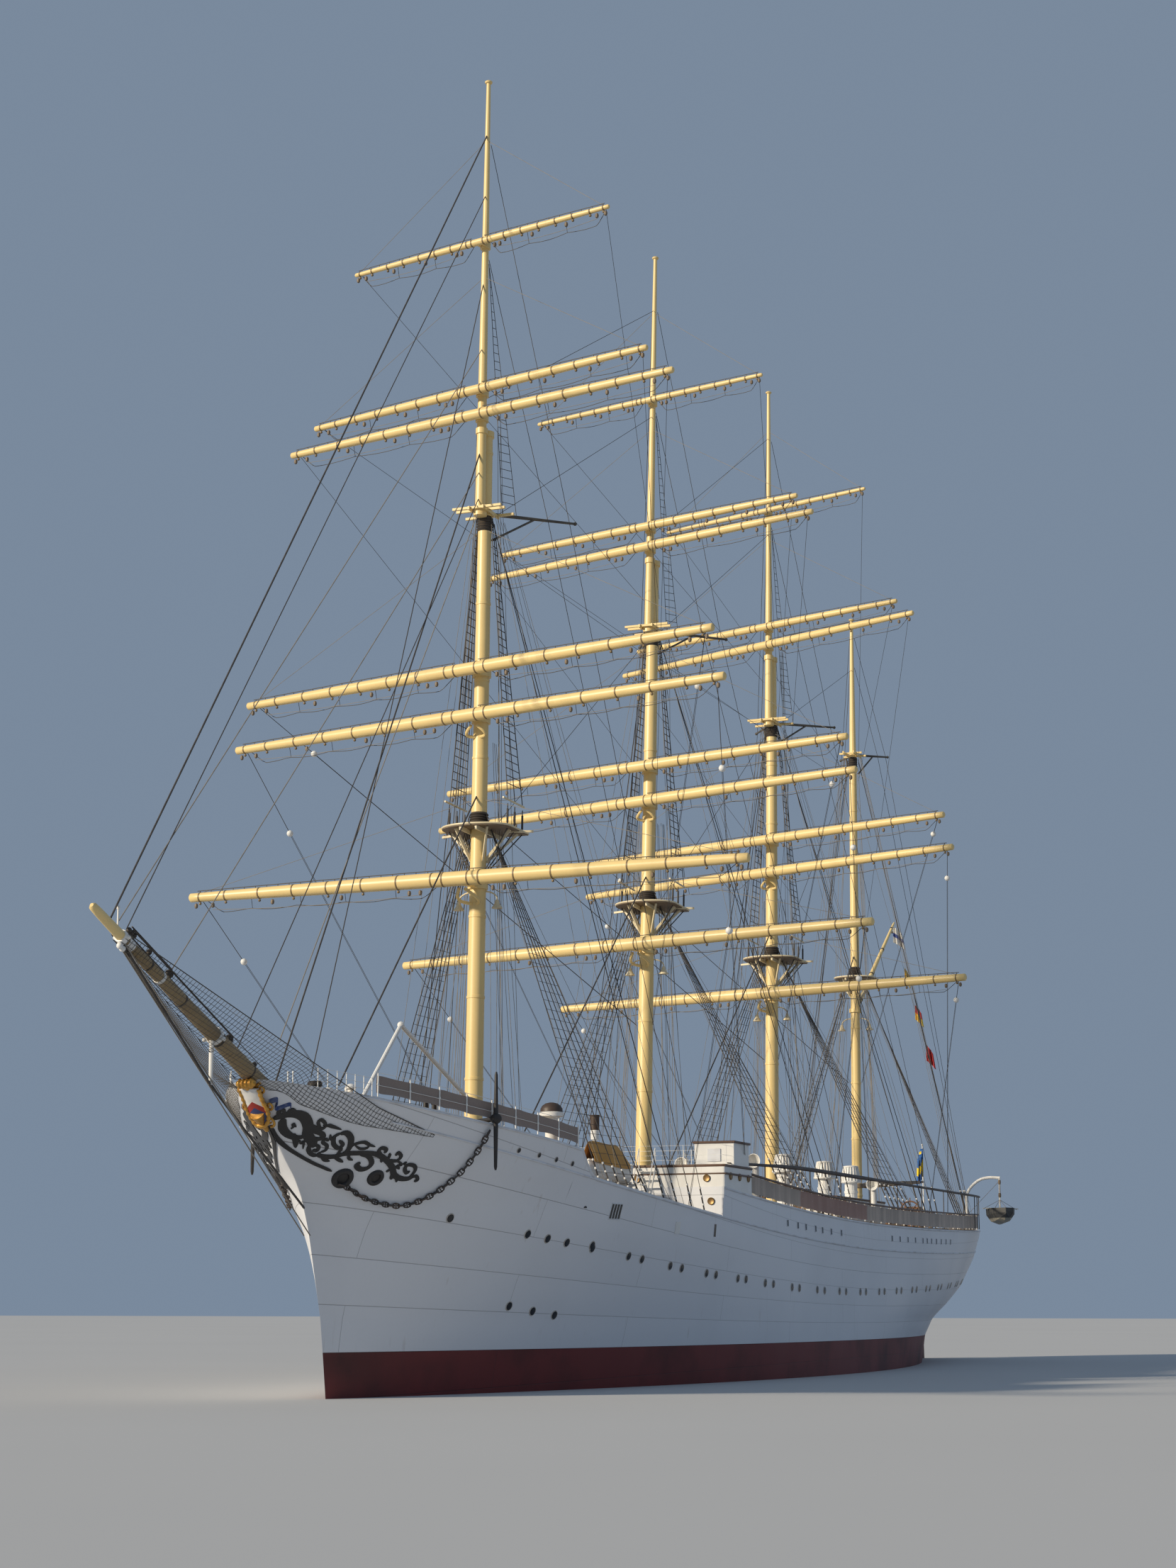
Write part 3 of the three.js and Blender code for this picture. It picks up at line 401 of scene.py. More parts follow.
def woodGroup():
    # planks along the ship with dark caulking, and grain drawn out along them
    group, given = newGroup(
        "planked wood", {"Light": (0.5, 0.36, 0.22, 1), "Dark": (0.2, 0.12, 0.06, 1), "Plank Width": 0.014,
                         "Caulking": 0.0009}, ["Color", "Roughness", "Height"])
    place = objectPoint(group)
    grain = drawn(group, place, (6.0, 160.0, 160.0), 6.0)
    plank = bricks(group, place, 0.37, 0.62, given["Plank Width"], given["Caulking"], 0.3, (0.35, 0.65, 0))
    share = maths(group, "MULTIPLY_ADD", grain, 0.6, times(group, noise(group, place, 2.4, 3.0), 0.4))
    timber = mixColour(group, ramp(group, share, 0.35, 0.68), given["Light"], given["Dark"])
    timber = mixColour(group, 0.5, timber, plank["Color"], "OVERLAY")
    timber = mixColour(group, plank["Fac"], timber, (0.02, 0.018, 0.015, 1))
    return putOut(group, timber, maths(group, "MULTIPLY_ADD", grain, 0.3, 0.5),
                  maths(group, "SUBTRACT", times(group, grain, 0.3), plank["Fac"]))


def weaveGroup():
    # plain weave on the cloth's own map: two sets of threads, and folds of colour
    group, given = newGroup("woven cloth", {"Thread": (0.2, 0.15, 0.12, 1), "Hollow": (0.05, 0.04, 0.03, 1),
                                            "Thread Scale": 260.0}, ["Color", "Roughness", "Height"])
    place = ownMap(group)
    warp, weft = (addNode(group, "TexWave", dict(bands_direction=way), Vector=place,
                          Scale=given["Thread Scale"], Distortion=0.6).outputs["Fac"] for way in "XY")
    thread = times(group, warp, weft)
    fade = drawn(group, place, (1.2, 9.0, 1.0), 4.0)
    cloth = mixColour(group, ramp(group, thread, 0.0, 0.7), given["Hollow"], given["Thread"])
    bleached = times(group, ramp(group, fade, 0.4, 0.75), 0.45)
    return putOut(group, mixColour(group, bleached, cloth, (0.33, 0.29, 0.25, 1)),
                  maths(group, "MULTIPLY_ADD", fade, 0.1, 0.82), thread)


groups = dict(paint=paintGroup(), plates=plateGroup(), wood=woodGroup(), weave=weaveGroup())


def newFinish(name, group, bump, distance, metallic=0.0, coat=0.0, sheen=0.0, **values):
    finish = bpy.data.materials.new(name)
    finish.use_nodes = True
    tree = finish.node_tree
    shader = tree.nodes["Principled BSDF"]
    effect = tree.nodes.new("ShaderNodeGroup")
    effect.node_tree = groups[group]
    for label, value in values.items():
        socket = effect.inputs[label.replace("_", " ")]
        socket.default_value = (*value, 1) if isinstance(value, tuple) else value
    tree.links.new(effect.outputs["Color"], shader.inputs["Base Color"])
    tree.links.new(effect.outputs["Roughness"], shader.inputs["Roughness"])
    relief = addNode(tree, "Bump", None, Strength=bump, Distance=distance, Height=effect.outputs["Height"])
    tree.links.new(relief.outputs[0], shader.inputs["Normal"])
    shader.inputs["Metallic"].default_value = metallic
    shader.inputs["Coat Weight"].default_value = coat
    shader.inputs["Sheen Weight"].default_value = sheen
    return finish


def recoloured(finish, change):
    # the colour that reached the shader now goes through change(tree, colour) on its way
    tree = finish.node_tree
    socket = tree.nodes["Principled BSDF"].inputs["Base Color"]
    tree.links.new(change(tree, socket.links[0].from_socket), socket)
    return finish


def paintFinish(name, paint, grime, grimeShare=0.3, rustShare=0.15, gloss=0.35, patchScale=5.0,
                rust=(0.22, 0.09, 0.035), metallic=0.0):
    return newFinish(name, "paint", 0.15, 0.001, metallic, Paint=paint, Grime=grime, Rust=rust,
                     Patch_Scale=patchScale, Grime_Share=grimeShare, Rust_Share=rustShare, Gloss=gloss)


def platedFinish(name, paint, grime, rust, seam, seamShare, *values):
    # paint over plates: the seams show as a thin dark line and as relief
    finish = paintFinish(name, paint, grime, *values, rust)
    tree = finish.node_tree
    normal = tree.nodes["Principled BSDF"].inputs["Normal"]
    plates = tree.nodes.new("ShaderNodeGroup")
    plates.node_tree = groups["plates"]
    relief = addNode(tree, "Bump", None, Strength=0.5, Distance=0.0022, Height=plates.outputs["Height"],
                     Normal=normal.links[0].from_socket)
    tree.links.new(relief.outputs[0], normal)

    def lined(tree, coat):
        toned = mixColour(tree, times(tree, plates.outputs["Tone"], 0.10), coat, (*grime, 1))
        return mixColour(tree, times(tree, plates.outputs["Seam Mask"], seamShare), toned, (*seam, 1))

    return recoloured(finish, lined)


def enamelled(tree, coat):
    # white above, a red chevron and a blue foot, told apart by height along the shield
    axes = axesOf(tree, objectPoint(tree))
    height = maths(tree, "MULTIPLY_ADD", maths(tree, "ABSOLUTE", axes[1]), 0.55, axes[2])
    barred = mixColour(tree, ramp(tree, height, 0.9945, 0.9935), coat, (0.30, 0.028, 0.018, 1))
    return mixColour(tree, ramp(tree, height, 0.9755, 0.9745), barred, (0.022, 0.045, 0.16, 1))


def twoToned(tree, coat):
    # dark rubber above and pale below, told apart by height
    height = axesOf(tree, objectPoint(tree))[2]
    return mixColour(tree, ramp(tree, height, 0.832, 0.828), coat, (0.33, 0.31, 0.25, 1))


def patched(tree, coat):
    # grey-brown canvas with one redder stretch, told apart by the place along the ship, and darker streaks
    # along its folds that are painted shade
    place = objectPoint(tree)
    along = axesOf(tree, place)[0]
    inside = times(tree, ramp(tree, along, -0.52, -0.50), ramp(tree, along, 0.62, 0.60))
    # the folds are darkened towards a dark brown: painted shade in the creases
    folds = ramp(tree, drawn(tree, place, (16, 16, 1.5), 3.0), 0.42, 0.62)
    foldShaded = mixColour(tree, folds, mixColour(tree, 0.40, coat, (0.16, 0.13, 0.11, 1)), coat)
    return mixColour(tree, inside, foldShaded, mixColour(tree, 0.62, foldShaded, (0.30, 0.105, 0.070, 1)))


def flagFinish(name, field, mark, low, high, crossed=False):
    # a band across the hoist, and for a crossed one also a band down the fly, on the cloth's map; the folds
    # get painted shade and painted highlight

    def marked(tree, _):
        flat = axesOf(tree, ownMap(tree))
        across = times(tree, ramp(tree, flat[1], low - 0.01, low + 0.01),
                       ramp(tree, flat[1], high + 0.01, high - 0.01))
        if crossed:
            down = times(tree, ramp(tree, flat[0], 0.29, 0.31), ramp(tree, flat[0], 0.46, 0.44))
            across = maths(tree, "MAXIMUM", across, down)
        # painted shade and highlight along the folds: the colour is multiplied by 0.7 to 1.2 along stretched
        # noise
        folds = maths(tree, "MULTIPLY_ADD", drawn(tree, objectPoint(tree), (60, 60, 12), 3.0), 0.5, 0.7)
        return mixColour(tree, 1.0, mixColour(tree, across, (*field, 1), (*mark, 1)), folds, "MULTIPLY")

    return recoloured(newFinish(name, "weave", 0.3, 0.0004, sheen=0.2, Thread=field, Hollow=field,
                                Thread_Scale=60.0), marked)


paints = dict(  # paint, grime, share of grime, share of rust, gloss, scale of the patches, rust, metallic
    fittingWhite=((0.80, 0.80, 0.78), (0.5, 0.48, 0.44), 0.2, 0.15, 0.35, 9),
    sparBuff=((0.83, 0.63, 0.28), (0.56, 0.40, 0.18), 0.2, 0.28, 0.28, 4, (0.30, 0.16, 0.07)),
    boomWorn=((0.25, 0.19, 0.13), (0.11, 0.085, 0.06), 0.6, 0.15, 0.5, 7),
    topCream=((0.78, 0.68, 0.46), (0.45, 0.36, 0.22), 0.3, 0.35, 0.3, 8, (0.28, 0.15, 0.07)),
    # the top's plate is dark brown as painted shade of its unlit underside
    topPlank=((0.20, 0.145, 0.10), (0.10, 0.07, 0.05), 0.4, 0.25, 0.5, 12, (0.28, 0.15, 0.07)),
    spreaderGrey=((0.085, 0.075, 0.062), (0.20, 0.15, 0.09), 0.5, 0.15, 0.5, 20),
    bandDark=((0.045, 0.038, 0.033), (0.12, 0.09, 0.06), 0.4, 0.15, 0.45, 30),
    bandBuff=((0.22, 0.155, 0.075), (0.07, 0.05, 0.03), 0.5, 0.15, 0.4, 30),
    blockWood=((0.20, 0.15, 0.10), (0.08, 0.06, 0.045), 0.3, 0, 0.45, 40),
    wireDark=((0.050, 0.044, 0.040), (0.13, 0.12, 0.11), 0.5, 0.15, 0.5, 25),
    wirePale=((0.26, 0.235, 0.20), (0.10, 0.09, 0.08), 0.5, 0.15, 0.65, 25),
    netCord=((0.065, 0.058, 0.050), (0.16, 0.145, 0.125), 0.5, 0.15, 0.7, 30),
    # the bowsprit's dark brown is worn paint and also painted shade of its shaded side
    spritWorn=((0.33, 0.24, 0.125), (0.12, 0.085, 0.05), 0.65, 0.3, 0.45, 5, (0.07, 0.045, 0.03)),
    ironBlack=((0.022, 0.021, 0.022), (0.07, 0.05, 0.04), 0.4, 0.5, 0.38, 14),
    chainIron=((0.055, 0.048, 0.045), (0.16, 0.10, 0.07), 0.5, 0.8, 0.5, 30),
    scrollBlack=((0.012, 0.012, 0.014), (0.05, 0.045, 0.04), 0.3, 0.1, 0.25),
    gilt=((0.62, 0.34, 0.07), (0.22, 0.10, 0.03), 0.5, 0.15, 0.25, 40, (0.22, 0.09, 0.035), 0.6),
    brass=((0.30, 0.19, 0.08), (0.12, 0.075, 0.04), 0.6, 0.15, 0.35, 40, (0.22, 0.09, 0.035), 0.7),
    ribbonBlue=((0.03, 0.06, 0.20), (0.30, 0.30, 0.32), 0.5, 0.15, 0.35, 60),
    hullTrim=((0.70, 0.72, 0.76), (0.40, 0.36, 0.32), 0.5, 0.15, 0.35, 12),
    portRim=((0.50, 0.48, 0.45), (0.25, 0.15, 0.09), 0.6, 0.15, 0.3, 30),
    # dark glass, and also painted shade for the holes of the freeing ports and the side opening
    portGlass=((0.012, 0.014, 0.018), (0.03, 0.03, 0.03), 0.3, 0, 0.08),
    edgeBrown=((0.10, 0.052, 0.032), (0.05, 0.03, 0.02), 0.4, 0.15, 0.3, 20),
    pipeDark=((0.060, 0.040, 0.032), (0.02, 0.016, 0.014), 0.5, 0.15, 0.4, 16),
    stoveBrown=((0.070, 0.042, 0.028), (0.03, 0.022, 0.018), 0.5, 0.6, 0.45, 30),
    boatPale=((0.42, 0.42, 0.38), (0.2, 0.2, 0.17), 0.4, 0.15, 0.45, 12),
    coverOchre=((0.62, 0.33, 0.09), (0.34, 0.18, 0.06), 0.5, 0, 0.7, 12),
    dinghyTwoTone=((0.045, 0.047, 0.05), (0.12, 0.12, 0.11), 0.4, 0.15, 0.5, 12),
    crestEnamel=((0.74, 0.74, 0.72), (0.40, 0.38, 0.36), 0.5, 0, 0.25, 30))
plated = dict(  # paint, grime, rust, seam and its share, then share of grime, share of rust, gloss, patches
    hullWhite=((0.76, 0.78, 0.82), (0.46, 0.47, 0.48), (0.30, 0.19, 0.12), (0.20, 0.19, 0.19), 0.55,
               0.14, 0.30, 0.30, 2),
    bottomRed=((0.17, 0.020, 0.018), (0.035, 0.012, 0.010), (0.08, 0.05, 0.04), (0.02, 0.01, 0.01), 0.5,
               0.75, 0.2, 0.45, 3))
flagPaints = dict(  # field, mark, the mark's low and high edge on the hoist, and whether it is crossed
    flagBlueYellow=((0.022, 0.115, 0.36), (0.85, 0.60, 0.02), 0.34, 0.66, True),
    flagRedYellow=((0.50, 0.02, 0.02), (0.80, 0.55, 0.03), 0.5, 1.1),
    flagRed=((0.52, 0.02, 0.018), (0.52, 0.02, 0.018), 0.5, 1.1),
    flagYellow=((0.62, 0.44, 0.04), (0.62, 0.44, 0.04), 0.5, 1.1),
    flagWhite=((0.75, 0.74, 0.70), (0.06, 0.10, 0.34), 0.38, 0.62))
canvas = dict(sheen=0.2, Thread_Scale=120.0)
finishes = {name: paintFinish(name, *row) for name, row in paints.items()}
finishes.update({name: platedFinish(name, *row) for name, row in plated.items()})
finishes.update({name: flagFinish(name, *row) for name, row in flagPaints.items()})
finishes.update(
    deckTeak=newFinish("deckTeak", "wood", 0.5, 0.0006, Light=(0.42, 0.33, 0.23), Dark=(0.22, 0.16, 0.10)),
    varnished=newFinish("varnished", "wood", 0.2, 0.0003, coat=0.4, Light=(0.21, 0.10, 0.045),
                        Dark=(0.10, 0.045, 0.02), Plank_Width=0.2, Caulking=0.0),
    canvasBrown=newFinish("canvasBrown", "weave", 0.5, 0.0006, Thread=(0.42, 0.34, 0.30),
                          Hollow=(0.17, 0.13, 0.115), **canvas),
    canvasGrey=newFinish("canvasGrey", "weave", 0.5, 0.0006, Thread=(0.74, 0.61, 0.50),
                         Hollow=(0.44, 0.35, 0.29), **canvas))
recoloured(finishes["crestEnamel"], enamelled)
recoloured(finishes["dinghyTwoTone"], twoToned)
recoloured(finishes["canvasGrey"], patched)
print("finishes made:", len(finishes))

slotFinishes = dict(  # the slot listed for each finish; addPiece looks a piece's slot up here but does not store it
    spar_buff="sparBuff spreaderGrey topPlank topCream boomWorn spritWorn",
    stay_wire="wireDark wirePale netCord",
    iron_black="ironBlack bandDark bandBuff portGlass chainIron scrollBlack stoveBrown",
    varnished_wood="varnished edgeBrown pipeDark blockWood", fitting_white="fittingWhite portRim hullTrim",
    crest_gilt="crestEnamel gilt ribbonBlue brass", deck_teak="deckTeak", boat_dark="boatPale",
    rail_canvas="canvasBrown canvasGrey coverOchre flagBlueYellow flagRedYellow flagRed flagYellow flagWhite",
    hull_white="hullWhite", bottom_red="bottomRed")
slotOf = {finish: slot for slot, names in slotFinishes.items() for finish in names.split()}

# Hull lines, as in the part's source but faired: millimetres in the tables, metres in use

hull = dict(halfBeam=0.695, bootTop=0.1585, keel=-0.45, breakX=3.09, bridgeX=1.70, gap=0.0003,
            deckLow=(0.485, -0.9), sheer=(0.0136, 0.0063), forecastleRise=0.207, droop=0.03, droopX=3.3,
            poopRise=0.245, bulwarkRise=0.115, bulwarkThick=0.012, breakSlope=0.17,
            # height, end, and the powers p and q of the half breadth
            fore=[[-450, 3780, 1.5, 1.0], [-400, 3900, 1.6, 1.0], [-300, 3970, 1.7, 1.0],
                  [-150, 4015, 1.85, 1.0], [0, 4042, 2.0, 1.0], [158.5, 4070, 2.2, 1.0],
                  [276, 4093, 2.4, 0.98], [402, 4136, 2.7, 0.95], [506, 4171, 3.0, 0.92],
                  [583, 4199, 3.3, 0.9], [693, 4256, 3.7, 0.85], [760, 4313, 4.0, 0.82],
                  [813, 4380, 4.3, 0.8], [904, 4479, 4.7, 0.76], [1005, 4600, 5.0, 0.72],
                  [1070, 4650, 5.0, 0.7]],
            aft=[[-450, 3950, 1.3, 1.0], [-300, 3985, 1.5, 1.0], [0, 3990, 1.9, 1.0],
                 [158.5, 3990, 2.1, 1.0], [250, 3990, 2.4, 0.95], [290, 4050, 2.6, 0.92],
                 [330, 4160, 2.75, 0.88], [380, 4290, 2.9, 0.85], [440, 4410, 3.1, 0.8],
                 [520, 4510, 3.3, 0.77], [620, 4575, 3.6, 0.7], [760, 4625, 3.9, 0.62],
                 [900, 4645, 4.0, 0.6]],
            # height, and the share of the half beam
            section=[[-450, 0.62], [-440, 0.76], [-420, 0.86], [-380, 0.93], [-320, 0.975], [-220, 0.995],
                     [-100, 1.0], [600, 1.0], [1070, 0.985]])
for line in ("fore", "aft", "section"):
    hull[line] = array(hull[line]) * ([0.001, 0.001, 1, 1] if line != "section" else [0.001, 1])
fairing = linspace(-0.012, 0.012, 5)  # heights over which the lines are averaged


def faired(table, z, column):
    z = np.asarray(z, float)
    return interp(z[..., None] + fairing, table[:, 0], table[:, column]).mean(-1)


def endReach(z, forward):
    return faired(hull["fore"], z, 1) if forward else faired(hull["aft"], z, 1)


def halfBreadth(x, z):
    # half beam times section share times (1 - (x / end) ** p) ** q
    x, z = np.broadcast_arrays(np.asarray(x, float), np.asarray(z, float))
    end, p, q = (where(x >= 0, faired(hull["fore"], z, n), faired(hull["aft"], z, n)) for n in (1, 2, 3))
    u = clip(np.abs(x) / end, 0, 1)
    share = interp(z, hull["section"][:, 0], hull["section"][:, 1])
    return hull["halfBeam"] * share ** (1 + 3 * u * u) * maximum(1 - u ** p, 0) ** q


def deckZ(x):
    lowZ, lowX = hull["deckLow"]
    rate = where(np.asarray(x) > lowX, *hull["sheer"])
    return lowZ + rate * (np.asarray(x) - lowX) ** 2


def forecastleZ(x):
    return deckZ(x) + hull["forecastleRise"] - hull["droop"] * maximum(0, np.asarray(x) - hull["droopX"])


def poopZ(x):
    return deckZ(x) + hull["poopRise"]


def hullBlock(low, high, aftEnd, foreEnd, stations, levels):
    # rings across the ship: up the port side and down the starboard side, closed over deck and keel
    t = (1 - cos(linspace(0, pi, stations))) / 2
    v = linspace(0, 1, levels)[None]
    x = np.zeros((stations, levels))
    for _ in range(14):
        z = low(x) + v * (high(x) - low(x))
        aft = -endReach(z, False) if aftEnd is None else np.full_like(z, aftEnd)
        fore = endReach(z, True) if foreEnd is None else np.full_like(z, foreEnd)
        x = aft + t[:, None] * (fore - aft)
    y = halfBreadth(x, z)
    port = xyz(x, y, z)
    ring = concatenate([port, port[:, ::-1] * [1, -1, 1]], 1)
    sides = ring.shape[1]
    i, j = np.meshgrid(arange(stations - 1), arange(sides), indexing="ij")
    k = (j + 1) % sides
    skin = stack([i * sides + j, (i + 1) * sides + j, (i + 1) * sides + k, i * sides + k], -1)
    m = arange(levels - 1)
    endFace = stack([m, m + 1, sides - 2 - m, sides - 1 - m], -1)
    quads = concatenate([skin.reshape(-1, 4), endFace, endFace[:, ::-1] + (stations - 1) * sides])
    girth = (z - hull["bootTop"]) / (deckZ(x) - hull["bootTop"]) * 0.44
    uvHalf = stack([x, girth], -1)
    uv = concatenate([uvHalf, uvHalf[:, ::-1] + [0.17, 0]], 1).reshape(-1, 2)
    return (ring.reshape(-1, 3), quads), uv


def always(height):
    return lambda x: np.full_like(x, height)


def hullPieces():
    gap = hull["gap"]
    blocks = [("hullBottom", always(hull["keel"]), always(hull["bootTop"]), None, None, 200, 44,
               "bottomRed", "hull_bottom"),
              ("hullPlates", always(hull["bootTop"] + gap), deckZ, None, None, 260, 40, "hullWhite",
               "hull_side"),
              ("forecastlePlates", lambda x: deckZ(x) + gap, forecastleZ, hull["breakX"], None, 120, 16,
               "hullWhite", "forecastle"),
              ("poopPlates", lambda x: deckZ(x) + gap, poopZ, None, hull["bridgeX"], 220, 14, "hullWhite",
               "long_poop")]
    for name, low, high, aftEnd, foreEnd, stations, levels, finish, stands in blocks:
        part, uv = hullBlock(low, high, aftEnd, foreEnd, stations, levels)
        addPiece(name, [part], finish, stands=[stands], smooth=50, weld=True, uv=uv)


def bulwarkTop(x):
    climb = clip((x - (hull["breakX"] - hull["breakSlope"])) / hull["breakSlope"], 0, 1)
    rise = hull["forecastleRise"] - hull["bulwarkRise"] - 0.002
    return deckZ(x) + hull["bulwarkRise"] + rise * climb ** 1.6


def wellBulwark(side):
    # outer face, top, inner face and foot at each station
    x = linspace(hull["bridgeX"] + hull["gap"], hull["breakX"] - hull["gap"], 90)
    v = linspace(0, 1, 8)[None]
    z = (deckZ(x) + hull["gap"])[:, None] * (1 - v) + bulwarkTop(x)[:, None] * v
    x = repeat(x[:, None], 8, 1)
    y = halfBreadth(x, z)
    outer = xyz(x, y, z)
    ring = concatenate([outer, (outer - [0, hull["bulwarkThick"], 0])[:, ::-1]], 1)
    girth = (z - hull["bootTop"]) / (deckZ(x) - hull["bootTop"]) * 0.44
    uv = concatenate([stack([x, girth], -1), stack([x, girth], -1)[:, ::-1]], 1).reshape(-1, 2)
    part = handed(closedTubes(ring[None]), -1)
    return part if side > 0 else mirrored(part), uv


hullPieces()
for side, word in ((1, "port"), (-1, "starboard")):
    part, uv = wellBulwark(side)
    addPiece("wellBulwark_" + word, [part], "hullWhite", stands=["well_bulwark_" + word], weld=True, uv=uv)
for node in ("well_deck", "poop_deck", "forecastle_deck"):
    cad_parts[node].data.materials.clear()
    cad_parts[node].data.materials.append(finishes["deckTeak"])
print("hull plated")

# Masts: each leans aft about its own foot, and its places are given along the mast

mastTable = dict(  # x at 1.2 up, rake, top, crosstrees, lower head, truck, radius
    fore=(2.800, 1.44, 2.230, 3.590, 3.935, 5.540, 0.038),
    main=(0.859, 3.33, 2.190, 3.570, 3.910, 5.530, 0.038),
    mizzen=(-1.087, 2.11, 2.160, 3.490, 3.850, 5.420, 0.038),
    jigger=(-2.713, 1.71, 2.240, 3.620, 3.640, 4.480, 0.031))
mastShape = dict(levelOfX=1.2, taper=0.3, taperFrom=0.8, upperAhead=0.05, upperRadius=(0.022, 0.009),
                 hoopEvery=0.33, hoopHeight=0.010, hoopProud=0.0022, sides=40, plateBack=-0.165,
                 plateMiddle=0.02, plateFront=0.12, plateHalf=0.15, plateThick=0.007, treeHalf=0.11,
                 outriggerRoot=(-0.05, 0.02, 0.006), outriggerTip=(-0.435, 0.231, 0.06),
                 jiggerTip=(-0.25, 0.15, 0.03), sheerRise=0.12, sheerHalf=0.13, futtockDrop=0.17)
mastNames = list(mastTable)


def mastRow(mast):
    return dict(zip(("x", "rake", "top", "trees", "head", "truck", "radius"), mastTable[mast]))


def onMast(mast, x, y, z):
    # x and z turn by the rake about the point where the mast's line meets the water
    row = mastRow(mast)
    lean = radians(row["rake"])
    x, y, z = np.broadcast_arrays(np.asarray(x, float), np.asarray(y, float), np.asarray(z, float))
    foot = row["x"] + np.tan(lean) * mastShape["levelOfX"]
    return stack([foot + x * cos(lean) - z * sin(lean), y, x * sin(lean) + z * cos(lean)], -1)


def mastLine(mast):
    return onMast(mast, 0, 0, 1) - onMast(mast, 0, 0, 0)


def mastRadius(mast, z):
    row = mastRow(mast)
    along = clip((np.asarray(z) - mastShape["taperFrom"]) / (row["head"] - mastShape["taperFrom"]), 0, 1)
    return row["radius"] * (1 - mastShape["taper"] * along)


def poleParts(mast):
    # a tapering pole with hoops: radius against height, turned about the leaning line
    row = mastRow(mast)
    axis = mastLine(mast)
    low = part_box(mast + "_mast")[0].z + 0.0008
    hoops = arange(low + 0.2, row["head"] - 0.05, mastShape["hoopEvery"])
    half = mastShape["hoopHeight"] / 2
    steps = concatenate([[low], (hoops[:, None] + [-half - 0.001, -half, half, half + 0.001]).ravel(),
                         [row["head"]]])
    proud = concatenate([[0], np.tile([0, 1, 1, 0], len(hoops)), [0]]) * mastShape["hoopProud"]
    lower = stack([mastRadius(mast, steps) + proud, steps], -1)
    parts = [turned(lower, onMast(mast, 0, 0, 0), axis, mastShape["sides"])]
    ahead = 0 if mast == "jigger" else mastShape["upperAhead"]
    start = row["head"] - 0.02 if mast == "jigger" else row["trees"] + 0.006
    big, small = (0.020, 0.009) if mast == "jigger" else mastShape["upperRadius"]
    share = linspace(0, 1, 24)
    upper = stack([big + (small - big) * share, start + (row["truck"] - start) * share], -1)
    upper[-1, 1] -= 0.012
    parts.append(turned(upper, onMast(mast, ahead, 0, 0), axis, 28))
    ball = array([[0.006, -0.014], [0.015, -0.011], [0.017, -0.005], [0.013, -0.001], [0.004, 0.0]])
    parts.append(turned(ball, onMast(mast, ahead, 0, row["truck"]), axis, 20))
    return parts


def treeParts(mast):
    # crosstrees, cap and the long outriggers that spread the backstays
    row = mastRow(mast)
    z, parts, spreaders = row["trees"], [], []
    half = mastShape["treeHalf"] if mast != "jigger" else 0.07
    for x in (-0.05, 0.045, 0.085) if mast != "jigger" else (-0.045, 0.045):
        parts.append(bar(onMast(mast, x, -half, z), onMast(mast, x, half, z), 0.012, 0.010))
    for y in (-0.032, 0.032):
        parts.append(bar(onMast(mast, -0.07, y, z - 0.003), onMast(mast, 0.10, y, z - 0.003), 0.008, 0.014))
    root = array(mastShape["outriggerRoot"])
    tip = array(mastShape["outriggerTip"] if mast != "jigger" else mastShape["jiggerTip"])
    for side in (1, -1):
        ends = [onMast(mast, *(place * [1, side, 1] + [0, 0, z])) for place in (root, tip)]
        spreaders.append(sweeps(linspace(*ends, 8), linspace(0.0080, 0.0052, 8), 12))
        spreaders.append(balls(ends[1], 0.0085))
        strut = onMast(mast, -0.01, 0.03 * side, z - 0.12)
        spreaders.append(sweeps(linspace(strut, ends[0] * 0.5 + ends[1] * 0.5, 5), 0.0048, 8))
    if mast != "jigger":
        radius, head = mastRadius(mast, row["head"]), row["head"]
        axis = mastLine(mast)
        hoop = array([[radius, -0.013], [radius + 0.006, -0.012], [radius + 0.006, 0.012], [radius, 0.013],
                      [radius * 0.4, 0.017]])
        parts.append(turned(hoop, onMast(mast, 0, 0, head), axis, 32))
        ring = hoop.copy()
        ring[:, 0] += 0.0195 - radius
        parts.append(turned(ring[:4], onMast(mast, mastShape["upperAhead"], 0, head), axis, 28))
        foot = array([[0.020, -0.03], [0.028, -0.028], [0.028, 0.006], [0.024, 0.010]])
        parts.append(turned(foot, onMast(mast, mastShape["upperAhead"], 0, z), axis, 28))
    return parts, spreaders


